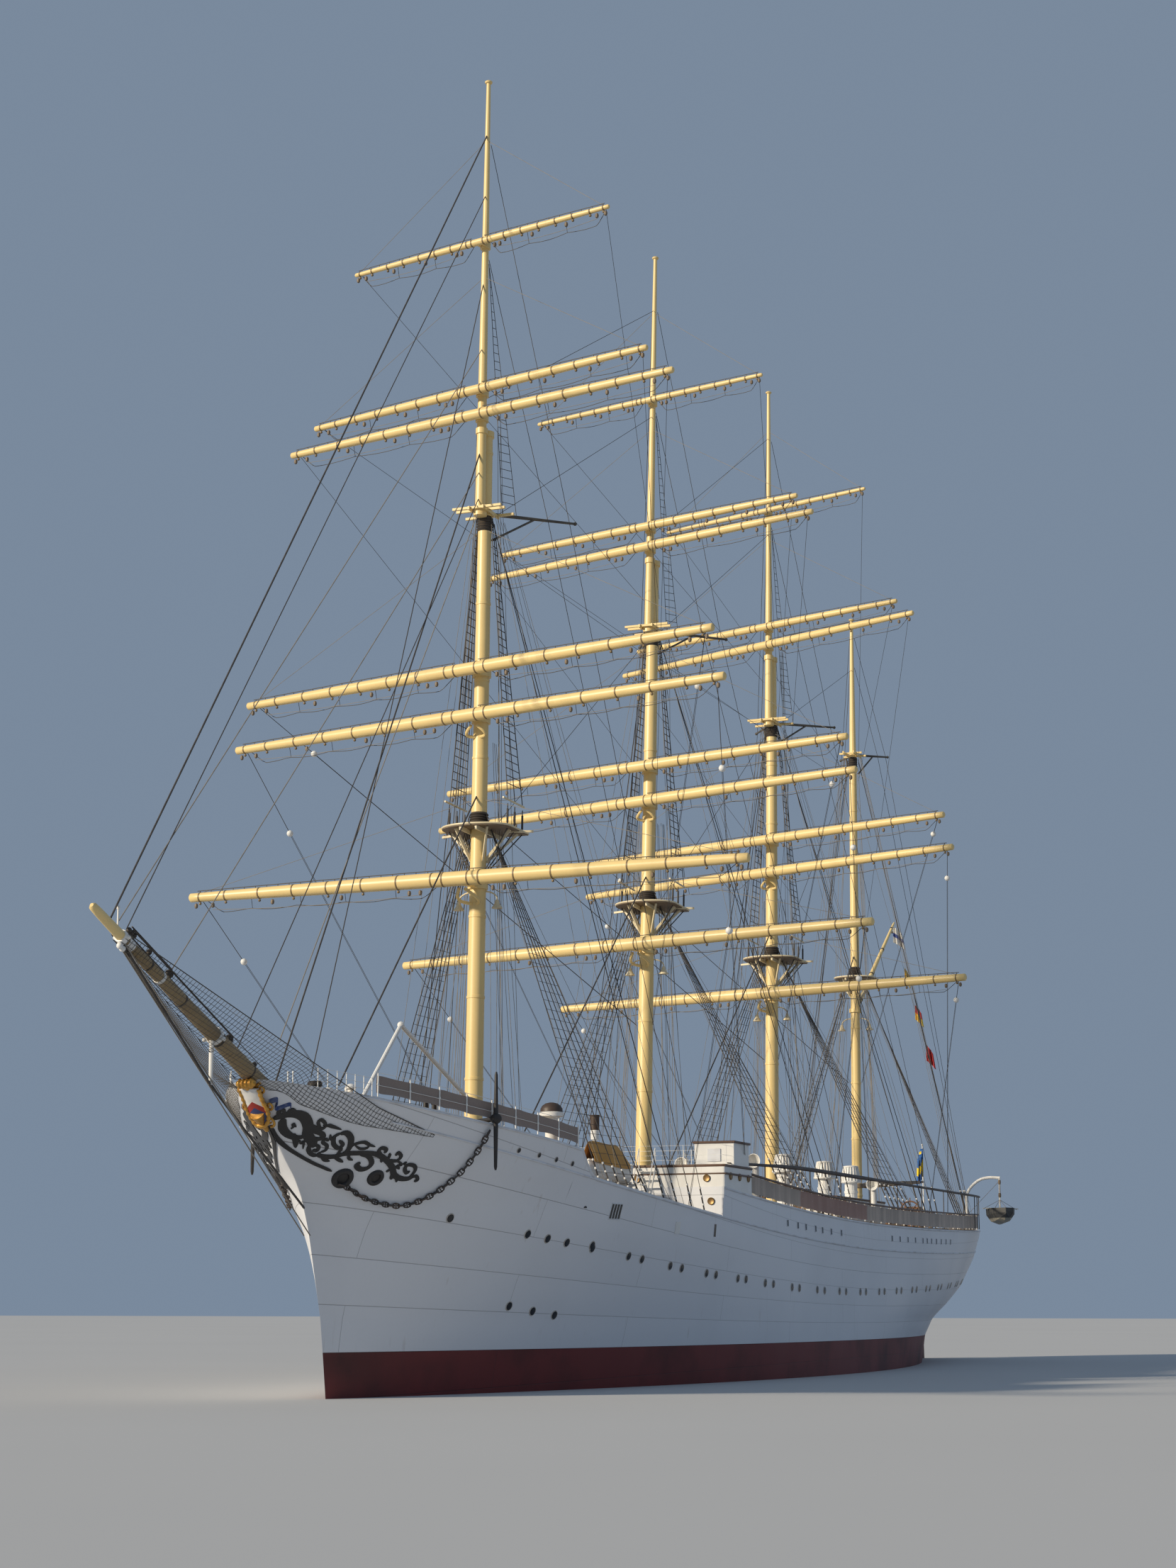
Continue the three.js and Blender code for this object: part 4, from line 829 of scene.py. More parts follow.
def topParts(mast):
    # the top: a half-round platform, its rim, the brackets under it and the bar above
    row = mastRow(mast)
    scale = 1.0 if mast != "jigger" else 0.8
    x = concatenate([linspace(mastShape["plateBack"], mastShape["plateMiddle"], 6),
                     mastShape["plateMiddle"] + (mastShape["plateFront"] - mastShape["plateMiddle"])
                     * sin(linspace(0.12, pi / 2 - 0.02, 12))])
    past = clip((x - mastShape["plateMiddle"]) / (mastShape["plateFront"] - mastShape["plateMiddle"]), 0, 1)
    half = mastShape["plateHalf"] * sqrt(1 - past ** 2)
    grid = stack([repeat(x[:, None], 13, 1), half[:, None] * linspace(-1, 1, 13)], -1) * scale
    z = row["top"] + mastShape["plateThick"] / 2
    plate = gridSheet(onMast(mast, grid[..., 0], grid[..., 1], z), mastShape["plateThick"])
    edge = concatenate([grid[:, 0], grid[::-1, -1]])
    rim = sweeps(onMast(mast, edge[:, 0], edge[:, 1], z + 0.004), 0.0042, 8)
    parts = [rim]
    for side in (1, -1):
        for reach, out in ((0.075, 0.07), (-0.02, 0.13), (-0.12, 0.12)):
            high = onMast(mast, reach * scale, out * side * scale, row["top"] - 0.001)
            low = onMast(mast, reach * 0.2, 0.026 * side, row["top"] - 0.13 * scale)
            parts.append(bar(low, high, 0.007, 0.011))
        out = mastShape["sheerHalf"] * side * scale
        barZ = row["top"] + mastShape["sheerRise"]
        if mast != "jigger":
            parts.append(wires(onMast(mast, 0.055, out, barZ), onMast(mast, -0.16, out, barZ), 0.0042, 8))
            parts.append(bar(onMast(mast, -0.06, 0.11 * side, row["top"]),
                             onMast(mast, -0.09, 0.204 * side, row["top"]), 0.010, 0.009))
    for y in (-0.034, 0.034):
        parts.append(bar(onMast(mast, -0.15 * scale, y, row["top"] - 0.008),
                         onMast(mast, 0.11 * scale, y, row["top"] - 0.008), 0.009, 0.016))
    return [plate], parts


def seizingParts(mast):
    # dark rope and wire wound round the mast where the shrouds start
    row = mastRow(mast)
    axis = mastLine(mast)
    parts = []
    for low, high in ((row["top"] + 0.012, row["top"] + 0.075),
                      (row["trees"] - 0.085, row["trees"] - 0.015)):
        turns = linspace(low, high, 13)
        bulge = 0.0045 + 0.0022 * cos(arange(13) * pi)
        profile = stack([mastRadius(mast, turns) + bulge, turns], -1)
        profile[0, 0], profile[-1, 0] = mastRadius(mast, low) - 0.001, mastRadius(mast, high) - 0.001
        parts.append(turned(profile, onMast(mast, 0, 0, 0), axis, 28))
    return parts


for mast in mastNames:
    addPiece("mastPoles_" + mast, poleParts(mast), "sparBuff", stands=[mast + "_mast"], smooth=50)
    trees, spreaders = treeParts(mast)
    addPiece("crosstrees_" + mast, trees, "sparBuff", smooth=35)
    addPiece("outriggers_" + mast, spreaders, "spreaderGrey", smooth=50)
    plates, parts = topParts(mast)
    # the plate's dark brown is painted shade of the top's underside
    addPiece("mastTopPlate_" + mast, plates, "topPlank", smooth=35)
    addPiece("mastTop_" + mast, parts, "topCream", smooth=35)
    addPiece("mastSeizings_" + mast, seizingParts(mast), "bandDark")
print("masts stepped")

# Yards: each lies square to its mast and then turns about it, as it was braced that day

yardKinds = dict(  # radius, distance ahead of the mast's line, on the upper mast
    course=(0.030, 0.190, 0), lower_topsail=(0.027, 0.105, 0), upper_topsail=(0.026, 0.105, 0),
    lower_topgallant=(0.022, 0.062, 1), upper_topgallant=(0.020, 0.060, 1), royal=(0.015, 0.052, 1))
yardTable = dict(  # height along the mast, half length, degrees braced; course to royal
    fore=(
        (1.997, 1.254, 2.5), (2.692, 1.234, 11.9), (2.889, 1.191, 12.6), (3.990, 0.984, 11.6),
        (4.101, 0.875, 13.1), (4.771, 0.667, 12.0)),
    main=(
        (1.974, 1.288, 10.7), (2.683, 1.210, 14.2), (2.857, 1.139, 12.3), (3.965, 0.962, 13.7),
        (4.070, 0.862, 12.4), (4.736, 0.652, 11.1)),
    mizzen=(
        (1.952, 1.240, 11.6), (2.625, 1.223, 17.9), (2.807, 1.158, 16.9), (3.905, 1.014, 20.0),
        (4.012, 0.868, 16.4), (4.691, 0.664, 15.7)))
yardShape = dict(shares=(0, 0.16, 0.52, 1), widths=(1.0, 1.0, 0.88, 0.62), jackRise=0.007, footDrop=0.062,
                 collarHeight=0.026)


def yardRow(mast, kind):
    z, half, braced = yardTable[mast][list(yardKinds).index(kind)]
    radius, ahead, upper = yardKinds[kind]
    return dict(z=z, half=half, braced=radians(braced), radius=radius, ahead=ahead, upper=upper)


def onYard(mast, kind, x, y, z):
    # turn by the bracing about the mast's line, then lean with the mast
    row = yardRow(mast, kind)
    x, y, z = np.broadcast_arrays(np.asarray(x, float), np.asarray(y, float), np.asarray(z, float))
    c, s = cos(row["braced"]), sin(row["braced"])
    shift = mastShape["upperAhead"] * row["upper"]
    return onMast(mast, x * c + y * s + shift, -x * s + y * c, z + row["z"])


def sparRadius(row, y):
    return row["radius"] * interp(np.abs(y) / row["half"], yardShape["shares"], yardShape["widths"])


def sparParts(mast, kind):
    # the spar: a round section along y, thickest between the bands, with domed ends
    row = yardRow(mast, kind)
    y = linspace(-1, 1, 61) * (row["half"] - 0.005)
    y = concatenate([[-row["half"]], y, [row["half"]]])
    radius = sparRadius(row, y)
    radius[[0, -1]] *= 0.7
    parts = [sweeps(onYard(mast, kind, row["ahead"], y, 0), radius, 24)]
    mastWidth = mastRadius(mast, row["z"]) if not row["upper"] else upperRadius(mast, row["z"])
    half, inner = yardShape["collarHeight"] / 2, mastWidth + 0.00045
    turn = linspace(0, 2 * pi, 33)[:-1]
    section = array([[inner, -half], [inner + 0.008, -half], [inner + 0.008, half], [inner, half]])
    ring = onYard(mast, kind, cos(turn)[:, None] * section[:, 0], sin(turn)[:, None] * section[:, 0],
                  broadcast_to(section[:, 1], (32, 4)))
    parts.append(closedLoops(ring[None, :, ::-1]))
    reach = max(row["ahead"] - row["radius"] - inner - 0.002, 0.004)
    for out in (-1, 1):
        start = onYard(mast, kind, inner + 0.004, out * 0.010, 0)
        end = onYard(mast, kind, inner + reach, out * min(0.05, reach * 0.6), 0)
        parts.append(bar(start, end, 0.008, 0.017))
    return parts


def upperRadius(mast, z):
    row = mastRow(mast)
    big, small = mastShape["upperRadius"]
    return big + (small - big) * clip((z - row["trees"]) / (row["truck"] - row["trees"]), 0, 1)


def bandParts(mast, kind):
    # iron hoops in pairs near the middle, at the quarters and at the arms, and the sling
    row = yardRow(mast, kind)
    parts = []
    places = array([0.045, 0.085, 0.21, 0.34, 0.47, 0.60, 0.73, 0.86, 0.96]) * row["half"]
    for y in concatenate([places, -places]):
        reach = array([-0.0035, -0.003, 0.003, 0.0035])
        radius = sparRadius(row, y) + array([0.0, 0.0013, 0.0013, 0.0])
        parts.append(sweeps(onYard(mast, kind, row["ahead"], y + reach, 0), radius, 20))
    eyes = concatenate([places[2:], -places[2:]])
    under = -sparRadius(row, eyes) - 0.008
    centres = onYard(mast, kind, row["ahead"], eyes, under)
    parts.append(balls(centres, 0.0062, 5, 8))
    return parts


def yardGear(mast, kind):
    # jackstay rods along the top, foot ropes under the after side and their stirrups
    row = yardRow(mast, kind)
    radius = sparRadius
    parts, half = [], row["half"]
    for side in (1, -1):
        y = linspace(0.05, 0.97, 24) * half * side
        high = radius(row, y) + yardShape["jackRise"]
        parts.append(sweeps(onYard(mast, kind, row["ahead"] + 0.004, y, high), 0.0017, 6))
        stanchions = linspace(0.06, 0.96, max(int(half / 0.055), 6)) * half * side
        low = onYard(mast, kind, row["ahead"] + 0.003, stanchions, radius(row, stanchions) - 0.002)
        top = onYard(mast, kind, row["ahead"] + 0.004, stanchions,
                     radius(row, stanchions) + yardShape["jackRise"])
        parts.append(wires(low, top, 0.0015, 5))
        t = linspace(0, 1, 49)
        bays = 5 if kind in ("course", "lower_topsail", "upper_topsail") else 3
        ends = minimum(1, 14 * t * (1 - t) + 0.02)
        hang = yardShape["footDrop"] * (0.86 + 0.14 * sin(pi * (t * bays % 1))) * ends
        rope = onYard(mast, kind, row["ahead"] - row["radius"] - 0.006 - 0.012 * (1 - t),
                      (0.07 + 0.89 * t) * half * side, -hang)
        parts.append(sweeps(rope, 0.0014, 6))
        stirrup = t[linspace(0, 48, bays + 1).astype(int)[1:-1]]
        place = (0.07 + 0.89 * stirrup) * half * side
        foot = onYard(mast, kind, row["ahead"] - row["radius"] - 0.006 - 0.012 * (1 - stirrup), place,
                      -yardShape["footDrop"] * 0.86)
        head = onYard(mast, kind, row["ahead"] - radius(row, place) * 0.9, place, radius(row, place) * 0.3)
        parts.append(wires(head, foot, 0.0011, 5))
    return parts


def yardBlocks(mast, kind):
    # small blocks hanging under the spar, and the pair at each arm
    row = yardRow(mast, kind)
    y = array([0.13, 0.17, 0.42, 0.68, 0.91, 0.975]) * row["half"]
    y = concatenate([y, -y])
    centres = onYard(mast, kind, row["ahead"], y, -sparRadius(row, y) - 0.017)
    profile = array([[0.002, -0.011], [0.0062, -0.008], [0.0078, 0.0], [0.0062, 0.008], [0.002, 0.011]])
    return [turned(profile, centres, sides=8)]


for mast in yardTable:
    for kind in yardKinds:
        node = mast + "_" + kind + "_yard"
        body = node + "_body"
        name = mast + kind.title().replace("_", "") + "Yard"
        addPiece(name, sparParts(mast, kind), "sparBuff", body, [node], smooth=50)
        addPiece(name + "_bands", bandParts(mast, kind), "bandBuff", body)
        addPiece(name + "_footRopes", yardGear(mast, kind), "wireDark", body)
        addPiece(name + "_blocks", yardBlocks(mast, kind), "blockWood", body)
print("yards crossed")


gaffAndBoom = dict(  # height on the jigger, length, radius, degrees of peak
    spanker_boom=(1.015, 1.530, 0.016, 5), spanker_gaff=(2.050, 1.130, 0.014, 37))


def onSpanker(spar, reach, rise=0.0, aside=0.0):
    z, _, _, peak = gaffAndBoom[spar]
    slope = radians(peak)
    reach = np.asarray(reach, float)
    return onMast("jigger", -(reach * cos(slope)) + rise * sin(slope), aside,
                  z + reach * sin(slope) + rise * cos(slope))


def spankerParts(spar):
    # a round spar along its slope, thickest a third of the way out
    z, length, radius, _ = gaffAndBoom[spar]
    inner = mastRadius("jigger", z) + 0.002
    t = linspace(0, 1, 30)
    width = radius * interp(t, [0, 0.1, 0.35, 1], [0.7, 0.95, 1.0, 0.55])
    width[-1] *= 0.6
    jaw = inner + 0.02
    parts = [sweeps(onSpanker(spar, jaw + (length - jaw) * t), width, 20)]
    turn = linspace(0, 2 * pi, 33)[:-1]
    section = array([[inner, -0.011], [inner + 0.007, -0.011], [inner + 0.007, 0.011], [inner, 0.011]])
    ring = onMast("jigger", cos(turn)[:, None] * section[:, 0], sin(turn)[:, None] * section[:, 0],
                  z + broadcast_to(section[:, 1], (32, 4)))
    parts.append(closedLoops(ring[None, :, ::-1]))
    for side in (-1, 1):
        parts.append(bar(onMast("jigger", -inner - 0.003, 0.009 * side, z),
                         onSpanker(spar, jaw + 0.03, 0, 0.006 * side), 0.006, 0.014))
    return parts


def spankerBands(spar):
    # hoops, an eye at the end, and the blocks of the outhaul and vangs
    _, length, radius, _ = gaffAndBoom[spar]
    parts = []
    for share in (0.12, 0.4, 0.68, 0.93):
        reach = length * share + array([-0.006, -0.005, 0.005, 0.006])
        width = radius * interp(share, [0, 0.1, 0.35, 1], [0.7, 0.95, 1.0, 0.55])
        parts.append(sweeps(onSpanker(spar, reach), width + array([0, 0.002, 0.002, 0]), 16))
    parts.append(balls(onSpanker(spar, length * 0.93, -radius - 0.012), 0.008, 5, 8))
    parts.append(balls(onSpanker(spar, length * 0.4, -radius - 0.014), 0.008, 5, 8))
    return parts


for spar in gaffAndBoom:
    name = "spankerBoom" if spar == "spanker_boom" else "spankerGaff"
    wood = "boomWorn" if spar == "spanker_boom" else "sparBuff"
    addPiece(name, spankerParts(spar), wood, spar + "_body", [spar], smooth=50)
    addPiece(name + "_bands", spankerBands(spar), "bandDark", spar + "_body")

# Standing rigging: shrouds with ratlines, backstays, and the stays that run forward

rigging = dict(wire=0.0019, thin=0.0013, line=0.0010, ratline=0.0010, ratlineEvery=0.040, inboard=0.030,
               screwLength=0.062, doubled=(0.066, 0.225), bands=dict(fore=5, main=5, mizzen=3, jigger=2),
               shroudCount=6, topmastSteps=0.033, topgallantSteps=0.036, rungRadius=0.0019,
               topX=array([0.008, -0.065, -0.145]))  # where the topmast shrouds cross the top
feetTable = dict(  # shrouds from and to along x, backstays from and to
    fore=(2.70, 2.25, 2.15, 1.75), main=(0.75, 0.20, 0.10, -0.35), mizzen=(-1.15, -1.65, -1.75, -2.15),
    jigger=(-2.80, -3.08, -3.14, -3.30))


def deckTop(x):
    x = np.asarray(x, float)
    deck = where(x > hull["breakX"], forecastleZ(x), where(x > hull["bridgeX"], deckZ(x), poopZ(x)))
    return deck + 0.006


def sideFoot(x, side, rise=0.0, inboard=None):
    x = np.asarray(x, float)
    inward = rigging["inboard"] if inboard is None else inboard
    return xyz(x, side * (halfBreadth(x, deckTop(x)) - inward), deckTop(x) + rise)


def bottleScrews(feet, heads, length):
    # long barrels with forked ends, set on the first part of each line
    along = unit(heads - feet)
    profile = array([[0.0012, 0], [0.0022, 0.002], [0.0022, length * 0.16], [0.0044, length * 0.2],
                     [0.0044, length * 0.78], [0.0022, length * 0.82], [0.0022, length],
                     [0.0012, length + 0.003]])
    lines = feet[:, None] + along[:, None] * profile[None, :, 1:]
    ring = ringOf(*squareTo(along), 8)
    return closedTubes(lines[:, :, None] + ring[:, None] * profile[None, :, :1, None])


def doubledEnds(feet, heads):
    # the wire lies double over its first stretch above the screw
    along = unit(heads - feet)
    low, high = rigging["doubled"]
    return wires(feet + along * low, feet + along * high, 0.0032, 6)


def seizedBands(feet, heads, count):
    # short white bands round each doubled end, evenly spaced along it
    along = unit(heads - feet)
    low, high = rigging["doubled"]
    reach = linspace(low + 0.012, high - 0.006, count)
    middle = (feet[:, None] + along[:, None] * reach[None, :, None]).reshape(-1, 3)
    band = array([[0.0034, -0.0045], [0.0045, -0.0036], [0.0045, 0.0036], [0.0034, 0.0045]])
    return turned(band, middle, repeat(along, count, 0), 6)


def shroudSet(mast, side):
    # feet on the deck's edge, heads spread a little round the mast above the top
    row = mastRow(mast)
    count = rigging["shroudCount"] if mast != "jigger" else 4
    low, high, _, _ = feetTable[mast]
    x = linspace(low, high, count)
    feet = sideFoot(x, side, 0.012)
    heads = onMast(mast, linspace(0.012, -0.03, count), side * (mastRadius(mast, row["top"]) + 0.003),
                   row["top"] + linspace(0.066, 0.020, count))
    return feet, heads


def backstaySet(mast, side):
    # from the crosstrees, and over the outrigger from the upper mast
    row = mastRow(mast)
    _, _, low, high = feetTable[mast]
    x = linspace(low, high, 4)
    feet = sideFoot(x, side, 0.012)
    heads = onMast(mast, array([-0.005, -0.015, -0.02, -0.03]), side * 0.032,
                   row["trees"] - array([0.03, 0.045, 0.05, 0.06]))
    tip = array(mastShape["outriggerTip"] if mast != "jigger" else mastShape["jiggerTip"]) * [1, side, 1]
    root = array(mastShape["outriggerRoot"]) * [1, side, 1]
    over = onMast(mast, *(root + (tip - root) * 0.93 + [0, 0, row["trees"]]))
    over2 = onMast(mast, *(root + (tip - root) * 0.66 + [0, 0, row["trees"]]))
    return feet, heads, over, over2


def ratlineParts(feet, heads, every, low, high, radius, sides=4):
    # rungs that join the same height on each shroud of a set
    length = np.linalg.norm(heads[0] - feet[0])
    shares = arange(low / length, high / length, every / length)
    z = feet[0, 2] + shares * (heads[0, 2] - feet[0, 2])
    along = (z[:, None] - feet[None, :, 2]) / (heads[:, 2] - feet[:, 2])[None]
    rungs = feet[None] + (heads - feet)[None] * along[..., None]
    if rungs.shape[1] == 2:
        rungs = stack([rungs[:, 0], rungs.mean(1), rungs[:, 1]], 1)
    return sweeps(rungs, radius, sides)


def topmastSet(mast, side):
    row = mastRow(mast)
    feet = onMast(mast, rigging["topX"], side * mastShape["sheerHalf"], row["top"] + mastShape["sheerRise"])
    heads = onMast(mast, array([0.010, -0.008, -0.026]), side * 0.032,
                   row["trees"] - array([0.020, 0.032, 0.044]))
    return feet, heads


def topgallantSet(mast, side):
    row = mastRow(mast)
    tip = array(mastShape["outriggerTip"]) * [1, side, 1]
    root = array(mastShape["outriggerRoot"]) * [1, side, 1]
    places = root + (tip - root) * array([[0.10], [0.27]])
    feet = onMast(mast, places[:, 0], places[:, 1], places[:, 2] + row["trees"])
    heads = onMast(mast, array([0.045, 0.040]), side * 0.016, row["trees"] + array([1.10, 1.085]))
    return feet, heads


def standingParts(mast):
    # shrouds, ratlines and backstays, and on the three square-rigged masts the upper shrouds too
    row = mastRow(mast)
    dark, screws = [], []
    for side in (1, -1):
        feet, heads = shroudSet(mast, side)
        dark.append(wires(feet, heads, rigging["wire"]))
        screws.append(bottleScrews(feet, heads, rigging["screwLength"]))
        dark.append(doubledEnds(feet, heads))
        bands = rigging["bands"][mast]
        screws.append(seizedBands(feet, heads, bands))
        dark.append(ratlineParts(feet, heads, rigging["ratlineEvery"], 0.09, 1.40, rigging["ratline"]))
        dark.append(ratlineParts(feet, heads, 1.0, 0.085, 0.086, 0.0032, 6))
        feet, heads, over, over2 = backstaySet(mast, side)
        dark.append(wires(feet[:2], heads[:2], rigging["wire"]))
        leads = stack([heads[0], heads[1], over2, over])
        screws.append(bottleScrews(feet, leads, rigging["screwLength"]))
        dark.append(doubledEnds(feet, leads))
        screws.append(seizedBands(feet, leads, bands))
        upper = row["trees"] + (1.12 if mast != "jigger" else 0.55)
        last = row["truck"] - (0.30 if mast != "jigger" else 0.12)
        aheadBy = mastShape["upperAhead"] if mast != "jigger" else 0
        for foot, middle, height in ((feet[2], over2, upper), (feet[3], over, last)):
            high = onMast(mast, aheadBy - 0.008, side * 0.014, height)
            dark.append(wires([foot, middle], [middle, high], rigging["thin"]))
        if mast == "jigger":
            continue
        feet, heads = topmastSet(mast, side)
        dark.append(wires(feet, heads, rigging["wire"]))
        dark.append(ratlineParts(feet, heads, rigging["topmastSteps"], 0.07, 1.14, rigging["rungRadius"],
                                 5))
        over, under = (onMast(mast, rigging["topX"], side * mastShape["sheerHalf"], row["top"] + rise)
                       for rise in (0.006, 0.001))
        # the top's bottle screws take the dark wire finish, partly painted shade: their own colour is brown
        # and cream
        dark.append(bottleScrews(over, feet, 0.095))
        futtock = onMast(mast, array([0.008, -0.006, -0.02]),
                         side * (mastRadius(mast, row["top"]) + 0.001),
                         row["top"] - mastShape["futtockDrop"])
        dark.append(wires(futtock, under, 0.0026))
        feet, heads = topgallantSet(mast, side)
        dark.append(wires(feet, heads, rigging["thin"]))
        dark.append(ratlineParts(feet, heads, rigging["topgallantSteps"], 0.06, 1.03, 0.0014, 5))
    return dark, screws


for mast in mastNames:
    dark, screws = standingParts(mast)
    addPiece("shrouds_" + mast, dark, "wireDark", smooth=60)
    addPiece("bottleScrews_" + mast, screws, "fittingWhite", smooth=50)

stays = dict(  # foot on the middle line, then the mast and the height that the head reaches
    foreInnerPale=(4.437, 1.219, "fore", 3.650, "wirePale"),
    foreInnerDark=(4.201, 1.109, "fore", 4.600, "wireDark"),
    foreTopgallant=(5.501, 1.492, "fore", 4.300, "wirePale"),
    foreSecond=(5.453, 1.474, "fore", 5.000, "wireDark"),
    jibInner=(5.190, 1.361, "fore", 3.800, "wirePale"),
    jibFourth=(4.731, 1.165, "fore", 3.700, "wireDark"))
mastStays = (  # head's mast and height, foot's mast and height above the water
    ("main", 3.540, "fore", 2.180), ("main", 4.660, "fore", 3.560), ("main", 5.230, "fore", 4.080),
    ("mizzen", 3.460, "main", 2.140), ("mizzen", 4.560, "main", 3.540), ("mizzen", 5.130, "main", 4.050),
    ("jigger", 3.560, "mizzen", 2.110), ("jigger", 4.150, "mizzen", 3.460))
for finish in ("wirePale", "wireDark"):
    parts = []
    for x, z, mast, height, kind in stays.values():
        if kind == finish:
            ahead = mastShape["upperAhead"] if height > mastRow(mast)["head"] else 0
            width = mastRadius(mast, height) if ahead == 0 else upperRadius(mast, height)
            parts.append(wires([x, 0, z], onMast(mast, ahead + width * 0.7, 0, height), rigging["wire"]))
    if finish == "wireDark":
        for mast, height, forward, low in mastStays:
            ahead = mastShape["upperAhead"] if height > mastRow(mast)["head"] and mast != "jigger" else 0
            behind = mastShape["upperAhead"] if low > mastRow(forward)["head"] else 0
            back = behind - (mastRadius(forward, low) if behind == 0 else upperRadius(forward, low)) * 0.8
            head = onMast(mast, ahead + 0.014, 0, height)
            parts.append(wires(onMast(forward, back, 0, low), head, rigging["thin"]))
    addPiece("extraStays_" + ("pale" if finish == "wirePale" else "dark"), parts, finish)
print("standing rigging set up")

# Running rigging: lifts and pendants turn with their yards, and braces cross over to the hull

leads = dict(  # where each brace comes down: x, side offset, height; or a mast and a height
    course=(None, 0.60, 0.04), lower_topsail=(None, 0.66, 0.04), upper_topsail=("next", 1.62),
    lower_topgallant=("next", 2.30), upper_topgallant=("next", 3.45), royal=("next", 3.72))
braceFeet = dict(fore=(2.00, 1.34), main=(0.02, -0.62), mizzen=(-1.86, -2.36))
pendants = dict(course=0.33, lower_topsail=0.42, upper_topsail=0.34, lower_topgallant=0.0,
                upper_topgallant=0.0, royal=0.0)
nextAft = dict(fore="main", main="mizzen", mizzen="jigger")


def braceEnds(mast, kind, side):
    row = yardRow(mast, kind)
    arm = onYard(mast, kind, row["ahead"] - 0.012, side * row["half"] * 0.965, 0)
    lead = leads[kind]
    if lead[0] == "next":
        aft = nextAft[mast]
        height = lead[1] if aft != "jigger" else min(lead[1], 3.50)
        foot = onMast(aft, 0.02, side * 0.04, height)
    else:
        x = braceFeet[mast][0 if kind == "course" else 1]
        foot = sideFoot(x, side, 0.075)
    return arm, foot


def yardLines(mast, kind):
    # lifts from the arms to the mast above, and the tackles drawn in along the spar
    row = yardRow(mast, kind)
    parts = []
    above = dict(course=0.36, lower_topsail=0.60, upper_topsail=0.62, lower_topgallant=0.50,
                 upper_topgallant=0.52, royal=0.48)[kind]
    for side in (1, -1):
        arm = onYard(mast, kind, row["ahead"], side * row["half"] * 0.965, row["radius"] * 0.5)
        width = 0.018 if row["upper"] else mastRadius(mast, row["z"]) * 0.9
        head = onYard(mast, kind, width * 0.3, side * width * 0.6, above)
        if kind in ("course", "upper_topsail", "upper_topgallant", "royal"):
            parts.append(wires(arm, head, rigging["line"], 5))
        quarter = onYard(mast, kind, row["ahead"], side * row["half"] * array([0.91, 0.42, 0.13]),
                         -row["radius"] - 0.026)
        parts.append(sweeps(sagging(quarter[:1], quarter[2:], 0.012, 10), rigging["line"], 5))
    return parts


def brace(mast, kind, side):
    # the pendant to its block, then the two parts of the brace
    arm, foot = braceEnds(mast, kind, side)
    length = np.linalg.norm(foot - arm)
    reach = pendants[kind] * (0.45 if mast == "mizzen" else 1.0)
    block = arm + (foot - arm) * (reach / length)
    t = linspace(0, 1, 14)[:, None]
    parts = []
    if reach:
        parts.append(sweeps(arm + (block - arm) * linspace(0, 1, 4)[:, None], rigging["thin"] * 1.2, 6))
        gap = array([0.006, 0, 0])
        path = block + (foot - block) * t
        parts.append(sweeps(stack([path + gap * (1 - t), path - gap - gap * t]), rigging["line"], 5))
    else:
        parts.append(sweeps(arm + (foot - arm) * t, rigging["line"], 5))
    return parts, block, arm, foot, reach


for mast in yardTable:
    for kind in yardKinds:
        body = mast + "_" + kind + "_yard_body"
        name = mast + kind.title().replace("_", "")
        addPiece(name + "Yard_lines", yardLines(mast, kind), "wirePale", body)
        for side, word in ((1, "port"), (-1, "starboard")):
            parts, block, arm, foot, reach = brace(mast, kind, side)
            made = addPiece(name + "Brace_" + word, parts, "wireDark", None)
            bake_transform(made)
            if reach:
                ball = addPiece(name + "BraceBlock_" + word, [balls(block, 0.0145, 9, 14)], "fittingWhite",
                                None)
                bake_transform(ball)


def fallParts(mast):
    # halyards and falls that come down beside each mast to the rail at its foot
    row = mastRow(mast)
    randomFall = np.random.default_rng(mastNames.index(mast) + 11)
    low = deckTop(row["x"]) + 0.10
    heights = dict(fore=(2.2, 2.6, 3.5, 4.05), main=(2.2, 2.6, 3.5, 4.0), mizzen=(2.1, 2.5, 3.4, 3.9),
                   jigger=(2.2, 2.4, 3.0, 3.5))[mast]
    parts = []
    for side in (1, -1):
        count = 11
        feetX = linspace(*((0.15, 0.01) if mast == "jigger" else (0.02, -0.19)), count) + onMast(mast, 0,
            0, low)[0]
        feet = xyz(feetX, full(count, side * 0.13) + randomFall.uniform(-0.05, 0.05, count) * side,
                   full(count, low))
        height = randomFall.choice(heights, count)
        heads = onMast(mast, linspace(*((0.05, 0.01) if mast == "jigger" else (-0.01, -0.06)), count),
                       side * randomFall.uniform(0.030, 0.060, count), height)
        parts.append(wires(feet, heads, rigging["line"], 5))
    return parts


for mast in mastNames:
    addPiece("falls_" + mast, fallParts(mast), "wirePale")


def buntlineParts(mast):
    # lines from the top and crosstrees to blocks at the deck's edge, and gear drawn up to the mast
    row = mastRow(mast)
    low, _, _, last = feetTable[mast]
    parts = []
    for side in (1, -1):
        x = linspace(low - 0.05, last + 0.08, 9)
        feet = sideFoot(x, side, 0.085, 0.055)
        height = array([row["top"], row["trees"], row["top"], row["trees"], row["top"], row["trees"],
                        row["top"], row["trees"], row["trees"]]) - 0.02
        heads = onMast(mast, linspace(*((0.05, -0.01) if mast == "jigger" else (0.02, -0.09)), 9),
                       side * 0.05, height)
        parts.append(wires(feet, heads, rigging["line"] * 0.9, 5))
    return parts


for mast in mastNames:
    addPiece("buntlines_" + mast, buntlineParts(mast), "wirePale")


